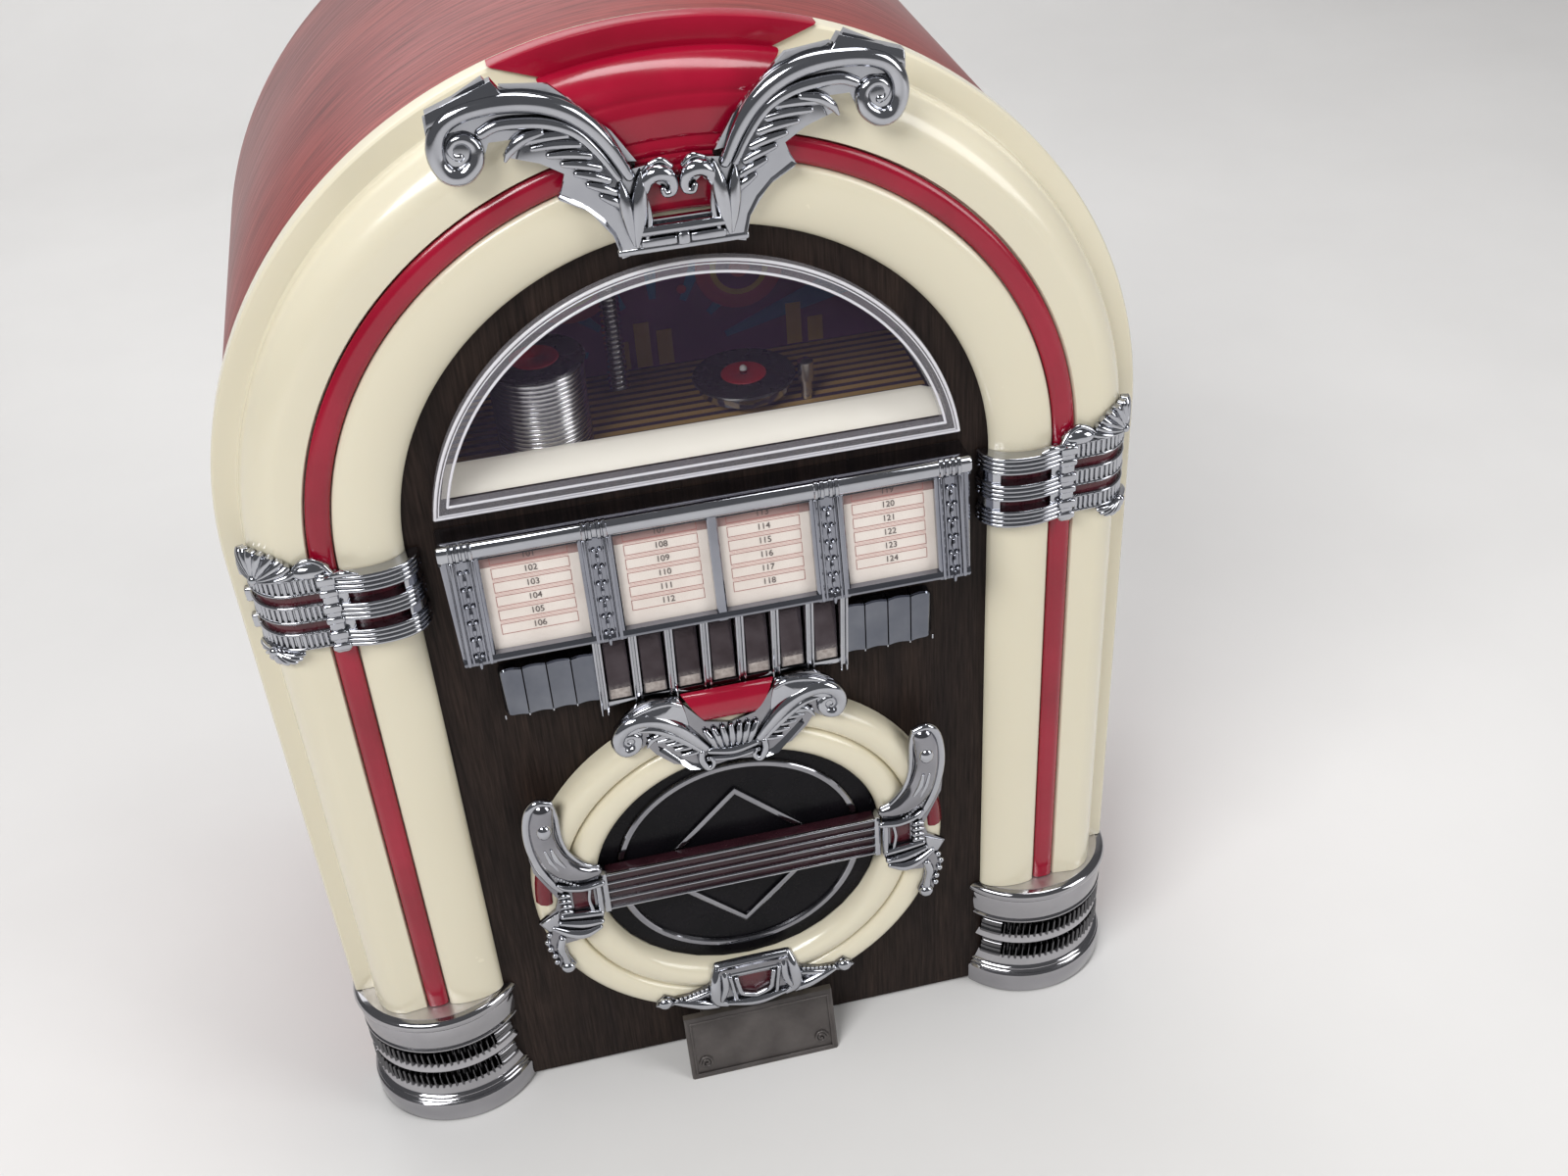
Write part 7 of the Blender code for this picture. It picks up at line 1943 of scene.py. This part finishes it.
def build_screw(number):
    """Round-headed screw with a crossed slot."""
    node = f"back_screw_{number}"
    low, high = node_box(node)
    cx, _, cz = centre_of(low, high)
    radius, back = (high[0] - low[0]) / 2, high[1]
    screw = Solid()
    spun(screw, (cx, back - 1.2, cz), [
        (0.0, -8.0), (1.3, -8.0), (1.3, 0.0), (radius, 0.0), (radius, 0.35), (radius * 0.86, 0.8),
        (radius * 0.55, 1.1), (0.0, 1.18)], 32, "y")
    obj = piece(f"crossed_screw_{number}", screw, STEEL, replaces=[node], slot="steel", sharp=50)
    for wide, tall in ((1.7, 0.3), (0.3, 1.7)):
        cross = Solid()
        slab(cross, (cx - wide, cx + wide), (back - 0.75, back + 1.0), (cz - tall, cz + tall), 0.05)
        carve(obj, cross)


def build_controls():
    """Knobs and dial on the side, and the screws in the back."""
    build_knob("tuning_knob", "tuning")
    build_knob("volume_knob", "volume")
    build_dial()
    for number in range(1, 5):
        build_screw(number)


# Stage, light and camera
FLOOR_HALF, FLOOR_FRONT, FLOOR_BACK, FLOOR_TALL, FLOOR_TURN = 3.0, -2.2, 1.1, 1.8, 0.35
LAMP_TARGET = Vector((0.0, 0.0, 0.16))
LAMPS = (("key_lamp", (-0.75, -0.85, 1.25), (0.8, 0.5), 17.0),
         ("fill_lamp", (1.1, -0.8, 0.7), (0.5, 0.9), 7.0),
         ("top_lamp", (0.15, 0.15, 1.35), (1.0, 0.35), 8.0),
         ("back_lamp", (-0.3, 1.0, 0.9), (1.2, 0.5), 3.0))
CAMERA_PLACE = Vector((-0.04942, -0.41826, 0.43621))
CAMERA_RIGHT = Vector((0.9721736, -0.22793338, -0.054082))
CAMERA_DOWN = Vector((-0.17854697, -0.57149026, -0.80094935))
CAMERA_AHEAD = Vector((0.15165575, 0.788318, -0.59628456))


def build_floor():
    """Pale floor that curves up behind."""
    bend = FLOOR_BACK - FLOOR_TURN
    section = [(FLOOR_FRONT, 0.0), (bend, 0.0)]
    for step in range(1, 17):
        angle = math.pi / 2 * step / 16
        section.append((bend + FLOOR_TURN * math.sin(angle), FLOOR_TURN - FLOOR_TURN * math.cos(angle)))
    section.append((FLOOR_BACK, FLOOR_TALL))
    work = bmesh.new()
    left, right = [[work.verts.new((x, y, z)) for y, z in section] for x in (-FLOOR_HALF, FLOOR_HALF)]
    for index in range(len(section) - 1):
        work.faces.new((left[index], right[index], right[index + 1], left[index + 1]))
    mesh = bpy.data.meshes.new("studio_floor")
    work.to_mesh(mesh)
    work.free()
    mesh.shade_smooth()
    floor = bpy.data.objects.new("studio_floor", mesh)
    bpy.context.scene.collection.objects.link(floor)
    finish = plain("floor", (0.70, 0.69, 0.68), (0.74, 0.73, 0.72), 6.0, (0.7, 0.85), rise=0.02)
    mesh.materials.append(finish.material)


def build_light():
    """Soft lamps, and a dim pale surround."""
    world = bpy.data.worlds.new("studio")
    bpy.context.scene.world = world
    world.use_nodes = True
    surround = world.node_tree.nodes["Background"].inputs
    surround["Color"].default_value = (0.86, 0.87, 0.90, 1.0)
    surround["Strength"].default_value = 0.17
    for name, spot, size, power in LAMPS:
        lamp = bpy.data.lights.new(name, "AREA")
        lamp.shape = "RECTANGLE"
        lamp.size, lamp.size_y = size
        lamp.energy = power
        obj = bpy.data.objects.new(name, lamp)
        obj.location = spot
        obj.rotation_euler = (LAMP_TARGET - Vector(spot)).to_track_quat("-Z", "Y").to_euler()
        bpy.context.scene.collection.objects.link(obj)


def build_camera():
    """Camera where the photo was taken from."""
    view = bpy.data.cameras.new("photo_view")
    view.sensor_width = 36.0
    view.lens = 39.6
    view.clip_start = 0.01
    camera = bpy.data.objects.new("photo_view", view)
    turn = Matrix((CAMERA_RIGHT, -CAMERA_DOWN, -CAMERA_AHEAD)).transposed()
    camera.matrix_world = Matrix.Translation(CAMERA_PLACE) @ turn.to_4x4()
    bpy.context.scene.collection.objects.link(camera)
    bpy.context.scene.camera = camera
    bpy.context.scene.view_settings.view_transform = "Standard"


build_floor()
build_light()
build_camera()
build_works()
build_arch()
build_crown()
build_cabinet()
build_window()
build_display()
build_title_holder()
build_bank()
build_ring()
build_grille()
build_top_ornament()
build_ring_top()
build_ring_side()
build_ring_bottom()
build_band()
build_foot()
build_controls()
